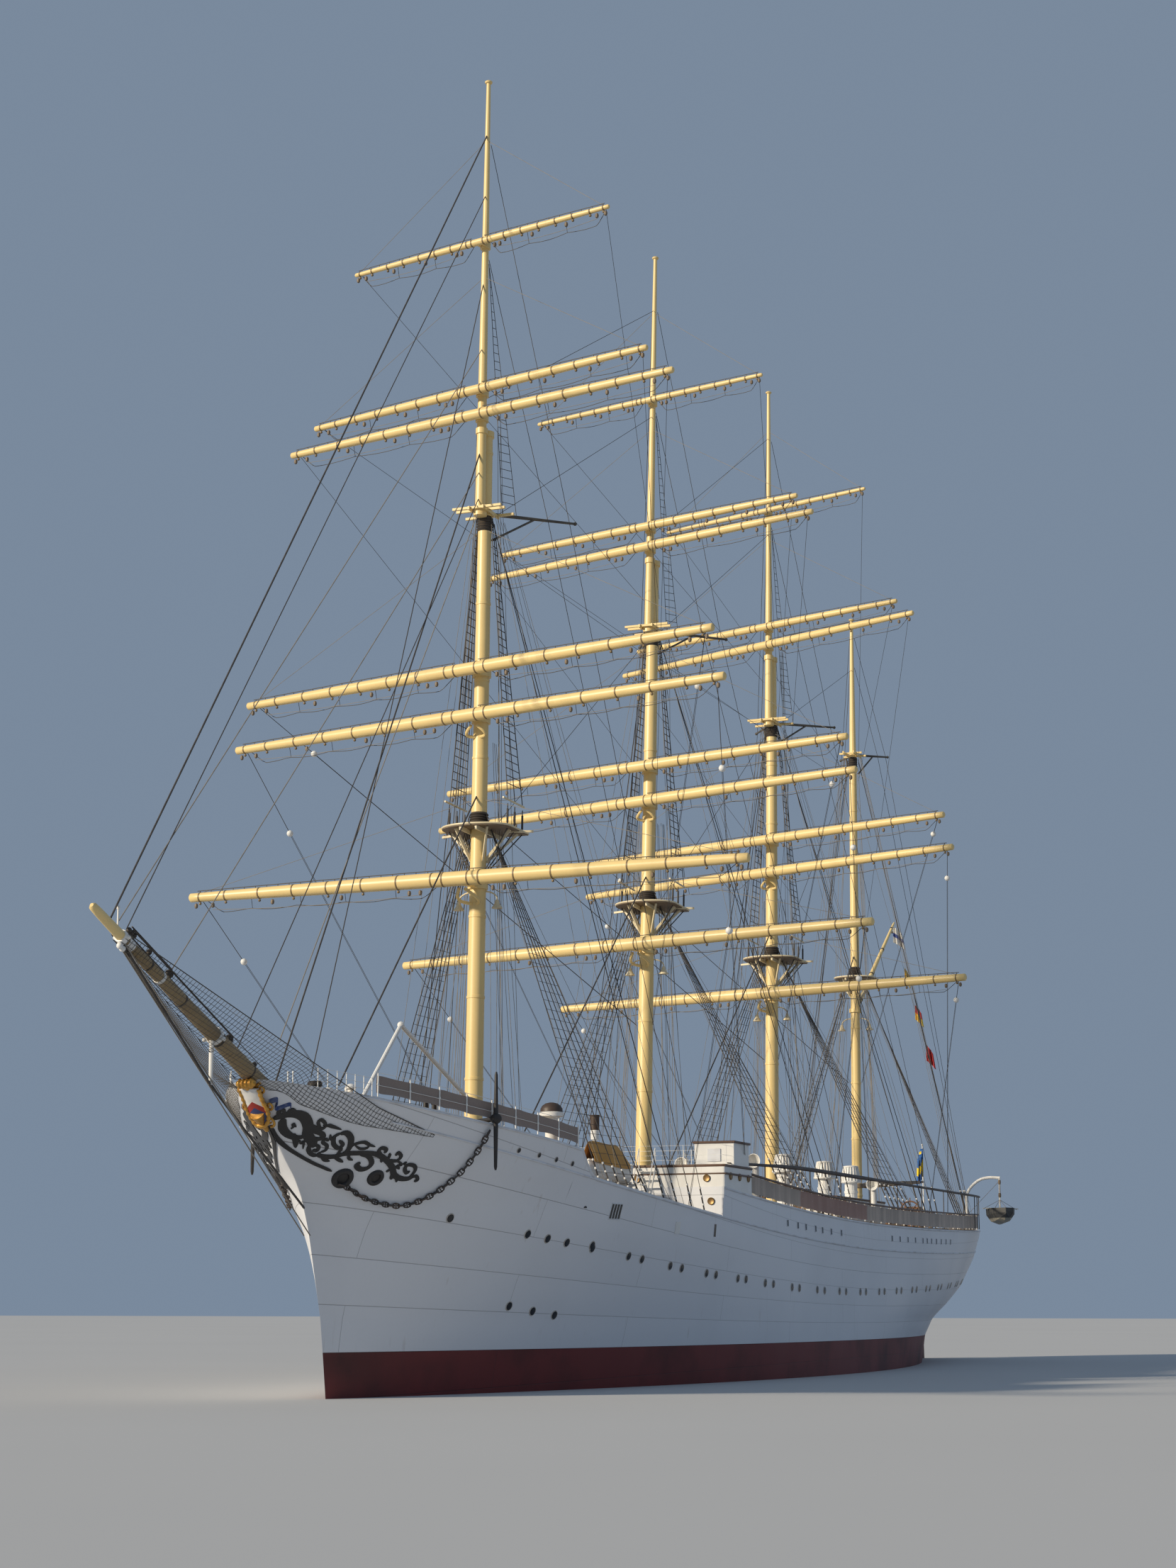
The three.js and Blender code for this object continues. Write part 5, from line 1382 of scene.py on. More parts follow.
def lampParts(mast):
    # bell-shaped floodlights on curved arms below the top, one each side
    row = mastRow(mast)
    z = row["top"] - 0.32 if mast != "jigger" else row["top"] - 0.30
    profile = array([[0.003, 0.030], [0.007, 0.028], [0.009, 0.016], [0.016, 0.004], [0.0225, -0.004],
                     [0.0225, -0.007], [0.012, -0.004]])
    parts = []
    for side in (1, -1):
        base = onMast(mast, -0.005, side * 0.085, z)
        parts.append(turned(profile, base, sides=20))
        turn = linspace(0, pi * 0.5, 9)
        arm = onMast(mast, -0.005 + 0 * turn, side * (0.030 + 0.055 * sin(turn)),
                     z + 0.030 + 0.035 * cos(turn))
        parts.append(sweeps(arm, 0.0032, 8))
    return parts


for mast in mastNames:
    addPiece("floodLamps_" + mast, lampParts(mast), "topCream", slotName="fitting_white")


def slingParts(mast, kind):
    # the crane under a standing yard: two bowed legs from the mast to the spar's middle
    row = yardRow(mast, kind)
    parts = []
    t = linspace(0, 1, 9)
    for side in (1, -1):
        bow = sin(t * pi) * 0.03
        leg = onMast(mast, (mastRadius(mast, row["z"]) - 0.004)
                     + (row["ahead"] - 0.03 - mastRadius(mast, row["z"])) * t, side * (0.012 + bow),
                     row["z"] - 0.075 + 0.040 * t - bow * 0.4)
        parts.append(sweeps(leg, 0.0065, 8))
    return parts


for mast in yardTable:
    addPiece("yardCranes_" + mast, slingParts(mast, "course") + slingParts(mast, "lower_topsail"),
             "sparBuff")
print("running rigging rove")

# Hull fittings: ports, moulding, hawse bosses, chain and the black scrollwork

def onHull(x, z, side=1, lift=0.0):
    # a point on the plating, lifted along the plating's normal
    x, z = np.broadcast_arrays(np.asarray(x, float), np.asarray(z, float))
    step = 0.004
    here = xyz(x, halfBreadth(x, z), z)
    ahead = stack([x + step, halfBreadth(x + step, z), z], -1) - xyz(x - step, halfBreadth(x - step, z), z)
    above = stack([x, halfBreadth(x, z + step), z + step], -1) - xyz(x, halfBreadth(x, z - step), z - step)
    normal = unit(cross(above, ahead))
    normal *= where(normal[..., 1:2] < 0, -1, 1)
    place = here + normal * np.asarray(lift)[..., None]
    return place * [1, side, 1], normal * [1, side, 1]


def fromPitch(pairs):
    return array(pairs, float) / 1000


ports = dict(  # millimetres along and up: rounds with a rim, and the small square scuttles
    main=fromPitch([
        (3240, 585), (3113, 571), (2986, 559), (2804, 541), (2523, 515), (2412, 505), (2162, 482),
        (2055, 474), (1811, 456), (1713, 450), (1472, 438), (1378, 435), (1142, 421), (1038, 418),
        (784, 405), (680, 402), (411, 396), (296, 393), (50, 391), (-60, 390), (-310, 390),
        (-412, 391), (-660, 393), (-764, 395), (-1012, 399), (-1116, 401), (-1364, 406), (-1468, 409),
        (-1716, 414), (-1820, 417), (-2068, 423), (-2172, 427), (-2420, 434), (-2524, 438),
        (-2772, 446), (-2876, 451), (-3124, 461), (-3228, 466), (3199, 320), (3052, 301), (2911, 286),
        (3671, 633), (2812, 551)]),
    small=fromPitch([
        (3137, 850), (3253, 860), (3370, 871), (3501, 882)]),
    square=fromPitch([
        (850, 691), (697, 685), (575, 681), (423, 677), (313, 673), (169, 670), (-1, 668),
        (-928, 663), (-1086, 663), (-1250, 664), (-1411, 665), (-1579, 666), (-1679, 667),
        (-1783, 668), (-1906, 669), (-2029, 671), (-2158, 673), (-2288, 675)]),
    rimRadius=0.0180, glassRadius=0.0152, smallShare=0.58, squareHalf=(0.0088, 0.0135))


def discsAt(places, profile, share=1.0, sides=20):
    # rings about the plating's normal: radius against how far they stand out
    parts = []
    for side in (1, -1):
        centre, normal = onHull(places[:, 0], places[:, 1], side)
        parts.append(turned(array(profile) * [share, 1], centre, normal, sides))
    return parts


rim = ports["rimRadius"]
rimProfile = [[ports["glassRadius"] - 0.001, -0.004], [rim + 0.0015, -0.004], [rim + 0.0012, 0.0012],
              [rim - 0.0006, 0.0028], [ports["glassRadius"], 0.0022]]
glassProfile = [[ports["glassRadius"] + 0.0006, -0.003], [ports["glassRadius"] + 0.0006, 0.0023],
                [ports["glassRadius"] * 0.55, 0.0034], [ports["glassRadius"] * 0.12, 0.0037]]
addPiece("portRims", discsAt(ports["main"], rimProfile)
         + discsAt(ports["small"], rimProfile, ports["smallShare"]), "portRim", smooth=50)
addPiece("portGlasses", discsAt(ports["main"], glassProfile)
         + discsAt(ports["small"], glassProfile, ports["smallShare"]), "portGlass", smooth=50)


def hullPatch(x, z, halfLength, halfHeight, thickness, side, lift=0.0, rows=3):
    # a small plate bent to the plating
    u, v = np.meshgrid(linspace(-halfLength, halfLength, rows),
                       linspace(-halfHeight, halfHeight, rows), indexing="ij")
    points, _ = onHull(x + u, z + v, side, lift + thickness / 2)
    part = gridSheet(points, thickness)
    return handed(part, side)


def patches(places, halfLength, halfHeight, thickness, lift=0.0):
    return [hullPatch(x, z, halfLength, halfHeight, thickness, side, lift) for x,
            z in places for side in (1, -1)]


halfLength, halfHeight = ports["squareHalf"]
addPiece("scuttleFrames", patches(ports["square"], halfLength + 0.003, halfHeight + 0.003, 0.002),
         "hullTrim")
addPiece("scuttleGlasses", patches(ports["square"], halfLength, halfHeight, 0.0012, 0.0019), "portGlass")

mouldings = dict(aft=-4.40, fore=4.16, aboveDeck=0.115, radius=0.0042)


def hullStrip(x, z, radius, side, sides=8):
    points, _ = onHull(x, z, side, radius * 0.25)
    return sweeps(points, radius, sides)


def hullLines(side):
    # mouldings at the bulwark's height, at the forecastle's edge and along the poop's edge
    x = linspace(mouldings["aft"], mouldings["fore"], 160)
    parts = [hullStrip(x, deckZ(x) + mouldings["aboveDeck"], mouldings["radius"], side)]
    x = linspace(hull["breakX"] + 0.01, 4.33, 60)
    parts.append(hullStrip(x, forecastleZ(x) - 0.006, mouldings["radius"], side))
    x = linspace(-4.50, hull["bridgeX"] - 0.01, 120)
    parts.append(hullStrip(x, poopZ(x) - 0.006, mouldings["radius"], side))
    x = linspace(hull["bridgeX"] + 0.01, hull["breakX"] - 0.005, 60)
    top = bulwarkTop(x)
    rail = xyz(x, side * (halfBreadth(x, top) - hull["bulwarkThick"] / 2), top + 0.001)
    parts.append(sweeps(rail, 0.0085, 8))
    return parts


addPiece("hullMouldings", hullLines(1) + hullLines(-1), "hullTrim", slotName="hull_white", smooth=60)

freeing = dict(middle=(2.7155, 0.6845), halfLength=0.042, halfHeight=0.030)


def freeingParts():
    x, z = freeing["middle"]
    openingShades, bars = [], []
    for side in (1, -1):
        # the dark plate behind the bars is painted shade for the hole through the bulwark
        openingShades.append(hullPatch(x, z, freeing["halfLength"], freeing["halfHeight"], 0.0012, side))
        for along in linspace(-freeing["halfLength"], freeing["halfLength"], 5):
            column = linspace(z - freeing["halfHeight"], z + freeing["halfHeight"], 5)
            bars.append(hullStrip(full(5, x + along), column, 0.0022, side, 6))
        for level in (z - freeing["halfHeight"], z + freeing["halfHeight"]):
            row = linspace(x - freeing["halfLength"], x + freeing["halfLength"], 5)
            bars.append(hullStrip(row, full(5, level), 0.0026, side, 6))
    return openingShades, bars


openingShades, bars = freeingParts()
addPiece("freeingPortShade", openingShades, "portGlass")
addPiece("freeingPortBars", bars, "hullTrim", slotName="hull_white")
addPiece("sideDoors", patches(fromPitch([(2168, 635.5)]), 0.020, 0.024, 0.004), "fittingWhite",
         slotName="hull_white")
# a dark plate painted as the shade inside an opening in the side
addPiece("sideOpeningShade", patches(fromPitch([(1780, 634)]), 0.010, 0.026, 0.0012), "portGlass")

hawse = dict(places=fromPitch([(4177, 758), (4067, 763)]), radii=(0.040, 0.032))


def hawseParts():
    # a swelling collar with a deep mouth: radius against reach along the normal
    parts = []
    for (x, z), radius in zip(hawse["places"], hawse["radii"]):
        profile = array([[1.0, -0.25], [1.06, 0.0], [1.0, 0.16], [0.84, 0.27], [0.66, 0.29], [0.56, 0.22],
                         [0.5, 0.05], [0.3, 0.02]]) * radius
        for side in (1, -1):
            centre, normal = onHull(x, z, side)
            parts.append(turned(profile, centre, normal, 32))
    return parts


addPiece("hawseBosses", hawseParts(), "ironBlack", smooth=60)


def chainLinks(path, pitch, width, wire, body=10, sides=6):
    # stadium-shaped loops along the path, each a quarter turn round from the last, with a stud across
    length = runAlong(path)
    count = int(length[-1] / pitch)
    at = (arange(count) + 0.5) * length[-1] / count
    centre = pointsAt(at, length, path)
    along = unit(stack([interp(at + 0.004, length, path[:, n]) - interp(at - 0.004, length, path[:, n])
                        for n in range(3)], -1))
    across, up = squareTo(along)
    even = (arange(count) % 2 == 0)[:, None]
    flat = where(even, across, up)
    tall = where(even, up, across)
    turn = turnsOf(body)
    half = pitch * 0.5 + wire * 0.9
    reach = sign(cos(turn)) * np.abs(cos(turn)) ** 0.7 * half
    out = sign(sin(turn)) * np.abs(sin(turn)) ** 0.7 * width / 2
    loop = centre[:, None] + along[:, None] * reach[None, :, None] + flat[:, None] * out[None, :, None]
    outward = unit(loop - centre[:, None])
    ringTurn = turnsOf(sides)
    ring = (cos(ringTurn)[:, None] * outward[:, :, None] + sin(ringTurn)[:, None]
            * tall[:, None, None]) * wire
    links = closedLoops((loop[:, :, None] + ring))
    studs = wires(centre - flat * (width / 2 - wire * 0.5), centre + flat * (width / 2 - wire * 0.5),
                  wire * 0.8, 5)
    return [links, studs]


anchor = dict(hub=0.019, chainPitch=0.0235, chainWidth=0.017, chainWire=0.0031)


def anchorChain(side):
    # from the boss the chain hangs down the plating and up to the anchor's hub
    x = array([4.180, 4.134, 4.080, 3.990, 3.903, 3.830, 3.764, 3.735, 3.722, 3.716])
    z = array([0.740, 0.728, 0.700, 0.676, 0.670, 0.698, 0.756, 0.835, 0.900, 0.945])
    t = linspace(0, 1, 60)
    share = linspace(0, 1, len(x))
    pathX, pathZ = interp(t, share, x), interp(t, share, z)
    smooth = np.ones(7) / 7
    pathX[3:-3], pathZ[3:-3] = np.convolve(pathX, smooth, "valid"), np.convolve(pathZ, smooth, "valid")
    points, _ = onHull(pathX, pathZ, side, 0.010)
    return points




def hubParts(side):
    # the hub, the long stock, the shank lying on the deck, and two palms
    low, high = (array(corner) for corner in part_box("anchor_port"))
    eye = array([high[0] - anchor["hub"], 0.0, 0.0])
    eye[1] = high[1] - anchor["hub"]
    eye[2] = float(deckTop(eye[0])) + 0.0096
    crown = array([eye[0] - 0.1815, eye[1] - 0.2866, 0.0])
    crown[2] = float(deckTop(crown[0])) + 0.0126
    stockAt = array([[eye[0], eye[1], low[2]], [eye[0], eye[1], low[2] + 0.012],
                     [eye[0], eye[1], eye[2] - 0.02], [eye[0], eye[1], eye[2] + 0.02],
                     [eye[0], eye[1], high[2] - 0.012], [eye[0], eye[1], high[2]]])
    parts = [sweeps(stockAt, array([0.0035, 0.0062, 0.0088, 0.0088, 0.0062, 0.0035]), 14)]
    parts.append(turned([[0.006, -0.019], [0.015, -0.016], [0.019, -0.006], [0.019, 0.006], [0.015, 0.016],
                         [0.006, 0.019]], eye, unit(eye - crown), 20))
    t = linspace(0, 1, 8)[:, None]
    parts.append(sweeps(eye + (crown - eye) * t, linspace(0.0085, 0.0125, 8), 12))
    across = unit(array([0.2706, -0.1815, 0]))
    for way in (1, -1):
        tip = crown + way * across * 0.095 + array([0.040, 0.030, 0])
        tip[2] = float(deckTop(tip[0])) + 0.0075
        bend = crown + way * across * 0.055
        bend[2] = tip[2]
        s = linspace(0, 1, 9)[:, None]
        curve = crown * (1 - s) ** 2 + bend * 2 * s * (1 - s) + tip * s ** 2
        parts.append(sweeps(curve, linspace(0.0125, 0.0055, 9), 10))
    return parts if side > 0 else [mirrored(part) for part in parts]


for side, word in ((1, "port"), (-1, "starboard")):
    addPiece("anchor_" + word + "_iron", hubParts(side), "ironBlack", stands=["anchor_" + word], smooth=50)
    links = chainLinks(anchorChain(side), anchor["chainPitch"], anchor["chainWidth"], anchor["chainWire"])
    addPiece("anchorChain_" + word, links, "chainIron", smooth=60)

# Scrollwork: strokes drawn on a slanting board, then bent to the plating on both bows

scrolls = dict(  # each stroke: widest part, share of it at the start and at the end, then along and down
    strokes=(
        
        (5.6, 0.9, 0.9, (29, 41), (35, 40), (42, 38.5), (49, 39), (54, 42), (56.5, 48), (56, 54), (59, 59),
         (61, 64)),
        (3.6, 0.9, 0.8, (36, 42), (37, 49), (41, 54), (47, 56.5), (54, 56)),
        (3.0, 1.0, 0.1, (44, 54), (46.5, 58), (46.5, 64.5)),
        (2.0, 1.0, 0.5, (40, 38), (42, 35), (45, 36.5), (43.5, 39)),
        (2.0, 1.0, 0.5, (33, 40), (33, 36), (36, 35.5), (37, 38)),
        (1.7, 0.4, 0.4, (43, 50), (45, 48), (44.5, 46), (47, 48.5)),
        (1.7, 0.3, 0.3, (49.5, 58.5), (51, 61), (53, 59.5), (52, 65.5)),
        (3.0, 0.9, 0.5, (56, 44), (60, 48.5), (66, 50), (70, 49.5)),
        (2.1, 0.8, 0.6, (66, 50), (64.5, 45.5), (66.5, 43), (70, 46), (68.5, 48)),
        (2.5, 0.6, 0.1, (68, 50), (72, 47.5), (76, 48.5), (83, 50.8)),
        (3.2, 1.0, 0.7, (57, 51), (62, 52), (67.5, 54), (68, 57), (64, 58), (60, 57)),
        (2.6, 0.9, 0.8, (60, 60), (56.5, 65), (58, 69), (62, 70.5), (66, 68)),
        (2.3, 0.5, 0.8, (62, 62), (64.5, 64), (63, 67), (60, 66)),
        (2.2, 0.8, 0.7, (66, 68), (70, 66.5), (71, 63), (68, 60.5), (70, 58), (72.5, 59.5)),
        (3.6, 0.6, 1.0, (62, 70), (69, 71.5), (77, 71.5), (85, 69.5), (95, 69), (104, 69), (111, 70)),
        (2.4, 0.6, 0.1, (66, 71), (69, 74), (73, 75.2)),
        (2.4, 0.6, 0.1, (76, 71.5), (80, 74), (83.5, 76)),
        (2.3, 0.8, 0.3, (79, 70), (82, 66), (80.5, 64.5)),
        (4.0, 0.7, 0.8, (84, 70), (88.5, 65), (90, 58), (87, 53.5), (82, 53.5)),
        (2.8, 0.9, 0.7, (82, 53.5), (77, 56.5), (76.5, 62), (80, 65), (83.5, 62.5), (81, 59)),
        (2.0, 0.6, 0.2, (78, 57), (74.5, 58), (74, 54.5)),
        (2.5, 0.6, 0.2, (87, 66), (93, 62), (100, 60.5), (104, 62.5), (108.5, 64)),
        (2.0, 0.3, 0.3, (93, 63), (97, 65.5), (102, 65), (104, 62.5)),
        (3.6, 0.8, 0.9, (96, 69.5), (103, 71.5), (105.5, 77), (102, 81), (97, 81.5), (94, 78.5), (97, 76.5)),
        (2.1, 0.6, 0.2, (88, 70), (88, 73), (91, 74.5)),
        (4.2, 0.8, 0.6, (106, 69), (112, 71), (117, 75), (121, 80), (123, 86), (128, 89), (134, 89),
         (138, 86.5)),
        (2.9, 0.8, 0.8, (114, 72), (111, 68), (113, 65), (116.5, 66), (115.5, 69)),
        (2.7, 0.8, 0.7, (118, 74.5), (124, 75), (127.5, 71.5), (125.5, 68.5), (123.5, 71)),
        (1.9, 0.6, 0.2, (125, 75), (128, 78), (124.5, 78.5)),
        (2.9, 0.8, 0.7, (134, 89), (138, 83), (137.5, 79), (133, 78), (130.5, 81), (132, 84.5), (134.5, 83)),
        (1.9, 0.7, 0.2, (132, 79), (130, 77), (132, 76)),
        (2.6, 0.8, 0.9, (134, 89), (139, 87), (140.5, 90), (138, 91)),
        (2.2, 0.9, 0.1, (121, 81), (118, 83), (117, 84)),
        (2.4, 0.9, 0.1, (122, 84), (121, 88), (121.5, 89.5)),
        (2.2, 0.9, 0.1, (124, 86), (125, 90), (124.5, 92)),
        (2.2, 0.9, 0.1, (117, 75), (119, 71), (119, 69)),
        (2.2, 0.9, 0.1, (121, 80), (125, 80), (126.5, 81.5)),
        (2.0, 0.9, 0.1, (112, 71.5), (113, 75), (112, 76)),
        (1.9, 0.7, 1.0, (28.5, 47), (33, 56), (40, 64), (50, 71), (60, 76.5), (67, 79.5), (75, 83))),
    place=(4.4265, -0.0027, -0.0000137, -0.0035), rise=(0.862, 0.00017, -0.0042), middle=(37, 62),
    scale=0.0040, lift=0.0024, thickness=0.0030)


def strokeLine(dots, count=30):
    # a smooth line through the dots: each span is the cubic whose slopes are half the neighbours' difference
    dots = array(dots, float)
    slope = np.gradient(dots, axis=0)
    at = linspace(0, len(dots) - 1.0001, count)
    n = at.astype(int)
    t = (at - n)[:, None]
    return (dots[n] * (1 + 2 * t) * (1 - t) ** 2 + slope[n] * t * (1 - t) ** 2
            + dots[n + 1] * t * t * (3 - 2 * t) + slope[n + 1] * t * t * (t - 1))


def ribbon(row, side):
    # a flat stroke: points each way from the line, across its direction, laid on the plating
    widest, first, last, *dots = row
    line = strokeLine(dots) - scrolls["middle"]
    t = linspace(0, 1, len(line))
    along, down = line.T
    x0, x1, x2, x3 = scrolls["place"]
    x = x0 + x1 * along + x2 * along ** 2 + x3 * down
    z = scrolls["rise"][0] + scrolls["rise"][1] * along + scrolls["rise"][2] * down
    way = unit(stack([np.gradient(x), np.gradient(z)], -1))
    ends = first + (last - first) * t
    swell = ends + (1 - ends) * sin(pi * t) ** 0.7
    width = widest * scrolls["scale"] * swell * clip(minimum(t, 1 - t) * 12 + 0.35, 0, 1)
    share = linspace(-0.5, 0.5, 4)
    points, _ = onHull(x[:, None] - way[:, 1:] * width[:, None] * share,
                       z[:, None] + way[:, :1] * width[:, None] * share, side, scrolls["lift"])
    part = gridSheet(points, scrolls["thickness"])
    return handed(part, side)


def scrollParts(side):
    return [ribbon(row, side) for row in scrolls["strokes"]]


addPiece("bowScrolls", scrollParts(1) + scrollParts(-1), "scrollBlack", smooth=30)


# Bowsprit, its bands and blocks, the striker's rods and the crest

sprit = dict(heel=(4.400, 0.985), tip=(5.659, 1.521), radii=(0.034, 0.014), shadedUpTo=5.485, firstX=4.470)


def spritZ(x):
    (x0, z0), (x1, z1) = sprit["heel"], sprit["tip"]
    return z0 + (np.asarray(x) - x0) / (x1 - x0) * (z1 - z0)


def spritRadius(x):
    share = (np.asarray(x) - sprit["heel"][0]) / (sprit["tip"][0] - sprit["heel"][0])
    return sprit["radii"][0] + (sprit["radii"][1] - sprit["radii"][0]) * share


def onSprit(x, aside=0.0, above=0.0):
    # aside and above are square to the spar's slope
    x = np.asarray(x, float)
    slope = np.arctan2(sprit["tip"][1] - sprit["heel"][1], sprit["tip"][0] - sprit["heel"][0])
    aside, above = broadcast_to(aside, x.shape), broadcast_to(above, x.shape)
    return xyz(x - above * sin(slope), aside, spritZ(x) + above * cos(slope))


# the inner spar's darker brown is partly painted shade; beyond the band the tip keeps the plain buff
inboard = linspace(sprit["firstX"], sprit["shadedUpTo"], 40)
outer = array([sprit["shadedUpTo"], 5.50, 5.56, 5.62, 5.650, 5.6585])
outerRadius = spritRadius(outer) * array([1.0, 1.0, 1.0, 1.0, 0.92, 0.45])
addPiece("bowsprit_inner", [sweeps(onSprit(inboard), spritRadius(inboard), 36)], "spritWorn",
         stands=["bowsprit"], smooth=60)
addPiece("bowsprit_tip", [sweeps(onSprit(outer), outerRadius * 1.02, 36)], "sparBuff", smooth=50)


def spritBand(x, width, proud):
    reach = array([-width / 2 - 0.001, -width / 2, width / 2, width / 2 + 0.001])
    radius = spritRadius(x + reach) + array([0, proud, proud, 0])
    return sweeps(onSprit(x + reach), radius, 28)


def spritBlocks(x, above, aside=0.0, radius=0.010):
    return balls(onSprit(array(x), aside, above), radius, 6, 8)


spritWhite = [spritBand(5.478, 0.020, 0.005), spritBand(5.440, 0.030, 0.0015),
              spritBand(5.246, 0.010, 0.002), spritBand(4.885, 0.014, 0.004),
              spritBlocks((5.478, 5.462), -0.030, 0.0, 0.011),
              spritBlocks((5.478, 5.478), 0.0, array([0.024, -0.024]), 0.008),
              spritBlocks((4.885, 4.885), -0.012, array([0.036, -0.036]), 0.008),
              wires(onSprit(array([5.510]), 0, 0.012), onSprit(array([5.533]), 0, 0.070), 0.0032, 8),
              turned([[0.002, -0.004], [0.0052, -0.003], [0.0052, 0.006], [0.002, 0.008]],
                     onSprit(array([5.533]), 0, 0.070))]
addPiece("spritBands_white", spritWhite, "fittingWhite", smooth=50)
spritDark = [spritBand(x, 0.006, 0.0016) for x in (5.32, 5.11, 4.865, 4.66, 4.56)]
spritDark.append(spritBlocks((5.455, 5.440, 5.425, 5.330, 5.210, 5.195, 4.81, 4.795, 4.63), 0.040))
for aside, above, low in ((0.012, 0.044, 4.80), (-0.014, 0.040, 4.66), (0.004, 0.056, 5.20)):
    spritDark.append(sweeps(onSprit(linspace(low, 5.45, 16), aside, above), 0.0026, 6))
for side in (1, -1):
    spritDark.append(sweeps(onSprit(linspace(4.62, 5.45, 10), side * 0.052, 0.012), 0.0014, 5))
addPiece("spritGear", spritDark, "bandDark", smooth=50)


def strikerRods():
    # paired rods from the sprit's band round the striker's foot and back to the stem
    parts = []
    foot = array([4.905, 0.0, float(spritZ(4.905)) - 0.165])
    for side in (1, -1):
        aside = array([0, 0.010 * side, 0])
        bandAt = onSprit(array([5.470]), side * 0.012, -0.020)[0]
        stem = array([4.205, 0.012 * side, 0.560])
        parts.append(wires([bandAt, foot + aside], [foot + aside, stem], 0.0022, 6))
    return parts


addPiece("strikerRods", strikerRods(), "wirePale", smooth=60)

net = dict(  # the guy's knots from the plating to the spar and the net's bottom edge
    guyX=(3.960, 4.250, 5.490), guyY=(0.368, 0.292, 0.030), guyZ=(0.914, 0.992, 1.452), rows=104,
    half=14, wire=0.0008, mesh=0.0165, clear=0.0030,
    bottomX=(3.960, 4.114, 4.245, 4.312, 4.393, 4.479, 4.55, 4.66, 4.90, 5.155, 5.49),
    bottomZ=(0.906, 0.9188, 0.9304, 0.941, 0.961, 0.985, 1.006, 1.030, 1.130, 1.250, 1.420))


def netParts(side):
    # each row goes down from the guy to the bottom, or to the plating where the hull is in its way
    x = linspace(net["guyX"][-1], net["guyX"][0], net["rows"])[:, None]
    edge = concatenate([x, interp(x, net["guyX"], net["guyY"]), interp(x, net["guyX"], net["guyZ"])], 1)
    middle = interp(x, net["bottomX"], net["bottomZ"])
    crestNear = where((x < 4.72) & (x > 4.50), 0.048, 0.0)
    first = np.zeros_like(x)
    for _ in range(12):
        z = edge[:, 2:] * first ** 1.25 + middle * (1 - first ** 1.25)
        inside = where(x < endReach(z, True), halfBreadth(x, z) + 0.004, 0.0)
        first = clip(maximum(inside, crestNear) / edge[:, 1:2], 0, 0.97) * clip((x - 4.50) / 0.10, 0, 1)

    def onNet(v):
        z = edge[:, 2:] * v ** 1.25 + middle * (1 - v ** 1.25)
        plating = where(x < endReach(z, True), halfBreadth(x, z) + net["clear"], 0.0)
        return xyz(repeat(x, v.shape[1], 1), maximum(edge[:, 1:2] * v, plating) * side, z)

    rows = onNet(first + (1 - first) * linspace(0, 1, 9)[None])
    depth = np.linalg.norm(diff(rows, axis=1), axis=2).sum(1)[:, None]
    share = minimum(arange(1, net["half"] + 1)[None] * net["mesh"] / depth, 1)
    lines = onNet(1 - (1 - first) * share).transpose(1, 0, 2)
    return [sweeps(rows[1:], net["wire"], 4), sweeps(lines, net["wire"], 4), sweeps(rows[:, -1], 0.0019, 6)]


addPiece("bowspritNet", netParts(1) + netParts(-1), "netCord", smooth=60)


crest = dict(  # a shield that leans with the stem, and the roll of its scroll above it
    middle=(4.592, 0.985), lean=0.92, height=0.118, half=0.037, crown=0.013, frame=0.0075,
    roll=(4.668, 1.052), rollHalf=0.036, rollRadius=0.0155)


def onCrest(y, z, proud):
    # the shield's own surface: it leans forward as it rises, and swells in the middle
    x = crest["middle"][0] + (z - crest["middle"][1]) * crest["lean"] + crest["crown"] * (1
        - (y / crest["half"]) ** 2)
    slope = array([1.0, 0.0, -crest["lean"]]) / np.hypot(1, crest["lean"])
    return xyz(x, y, z) + slope * np.asarray(proud)[..., None]


def shieldHalf(v):
    # straight sides above and a rounded point below
    return crest["half"] * where(v < 0.5, 1 - 0.06 * sin(pi * v * 2),
        sqrt(maximum(1 - (maximum(v - 0.5, 0) / 0.5) ** 2.3, 0)) + 0.02)


def crestParts():
    v = linspace(0, 1, 31)
    y = linspace(-1, 1, 21)[:, None] * shieldHalf(v)[None]
    z = crest["middle"][1] + crest["height"] * (0.45 - v)[None] + 0 * y
    return [gridSheet(onCrest(y, z, 0.004 + 0 * y), 0.006)]


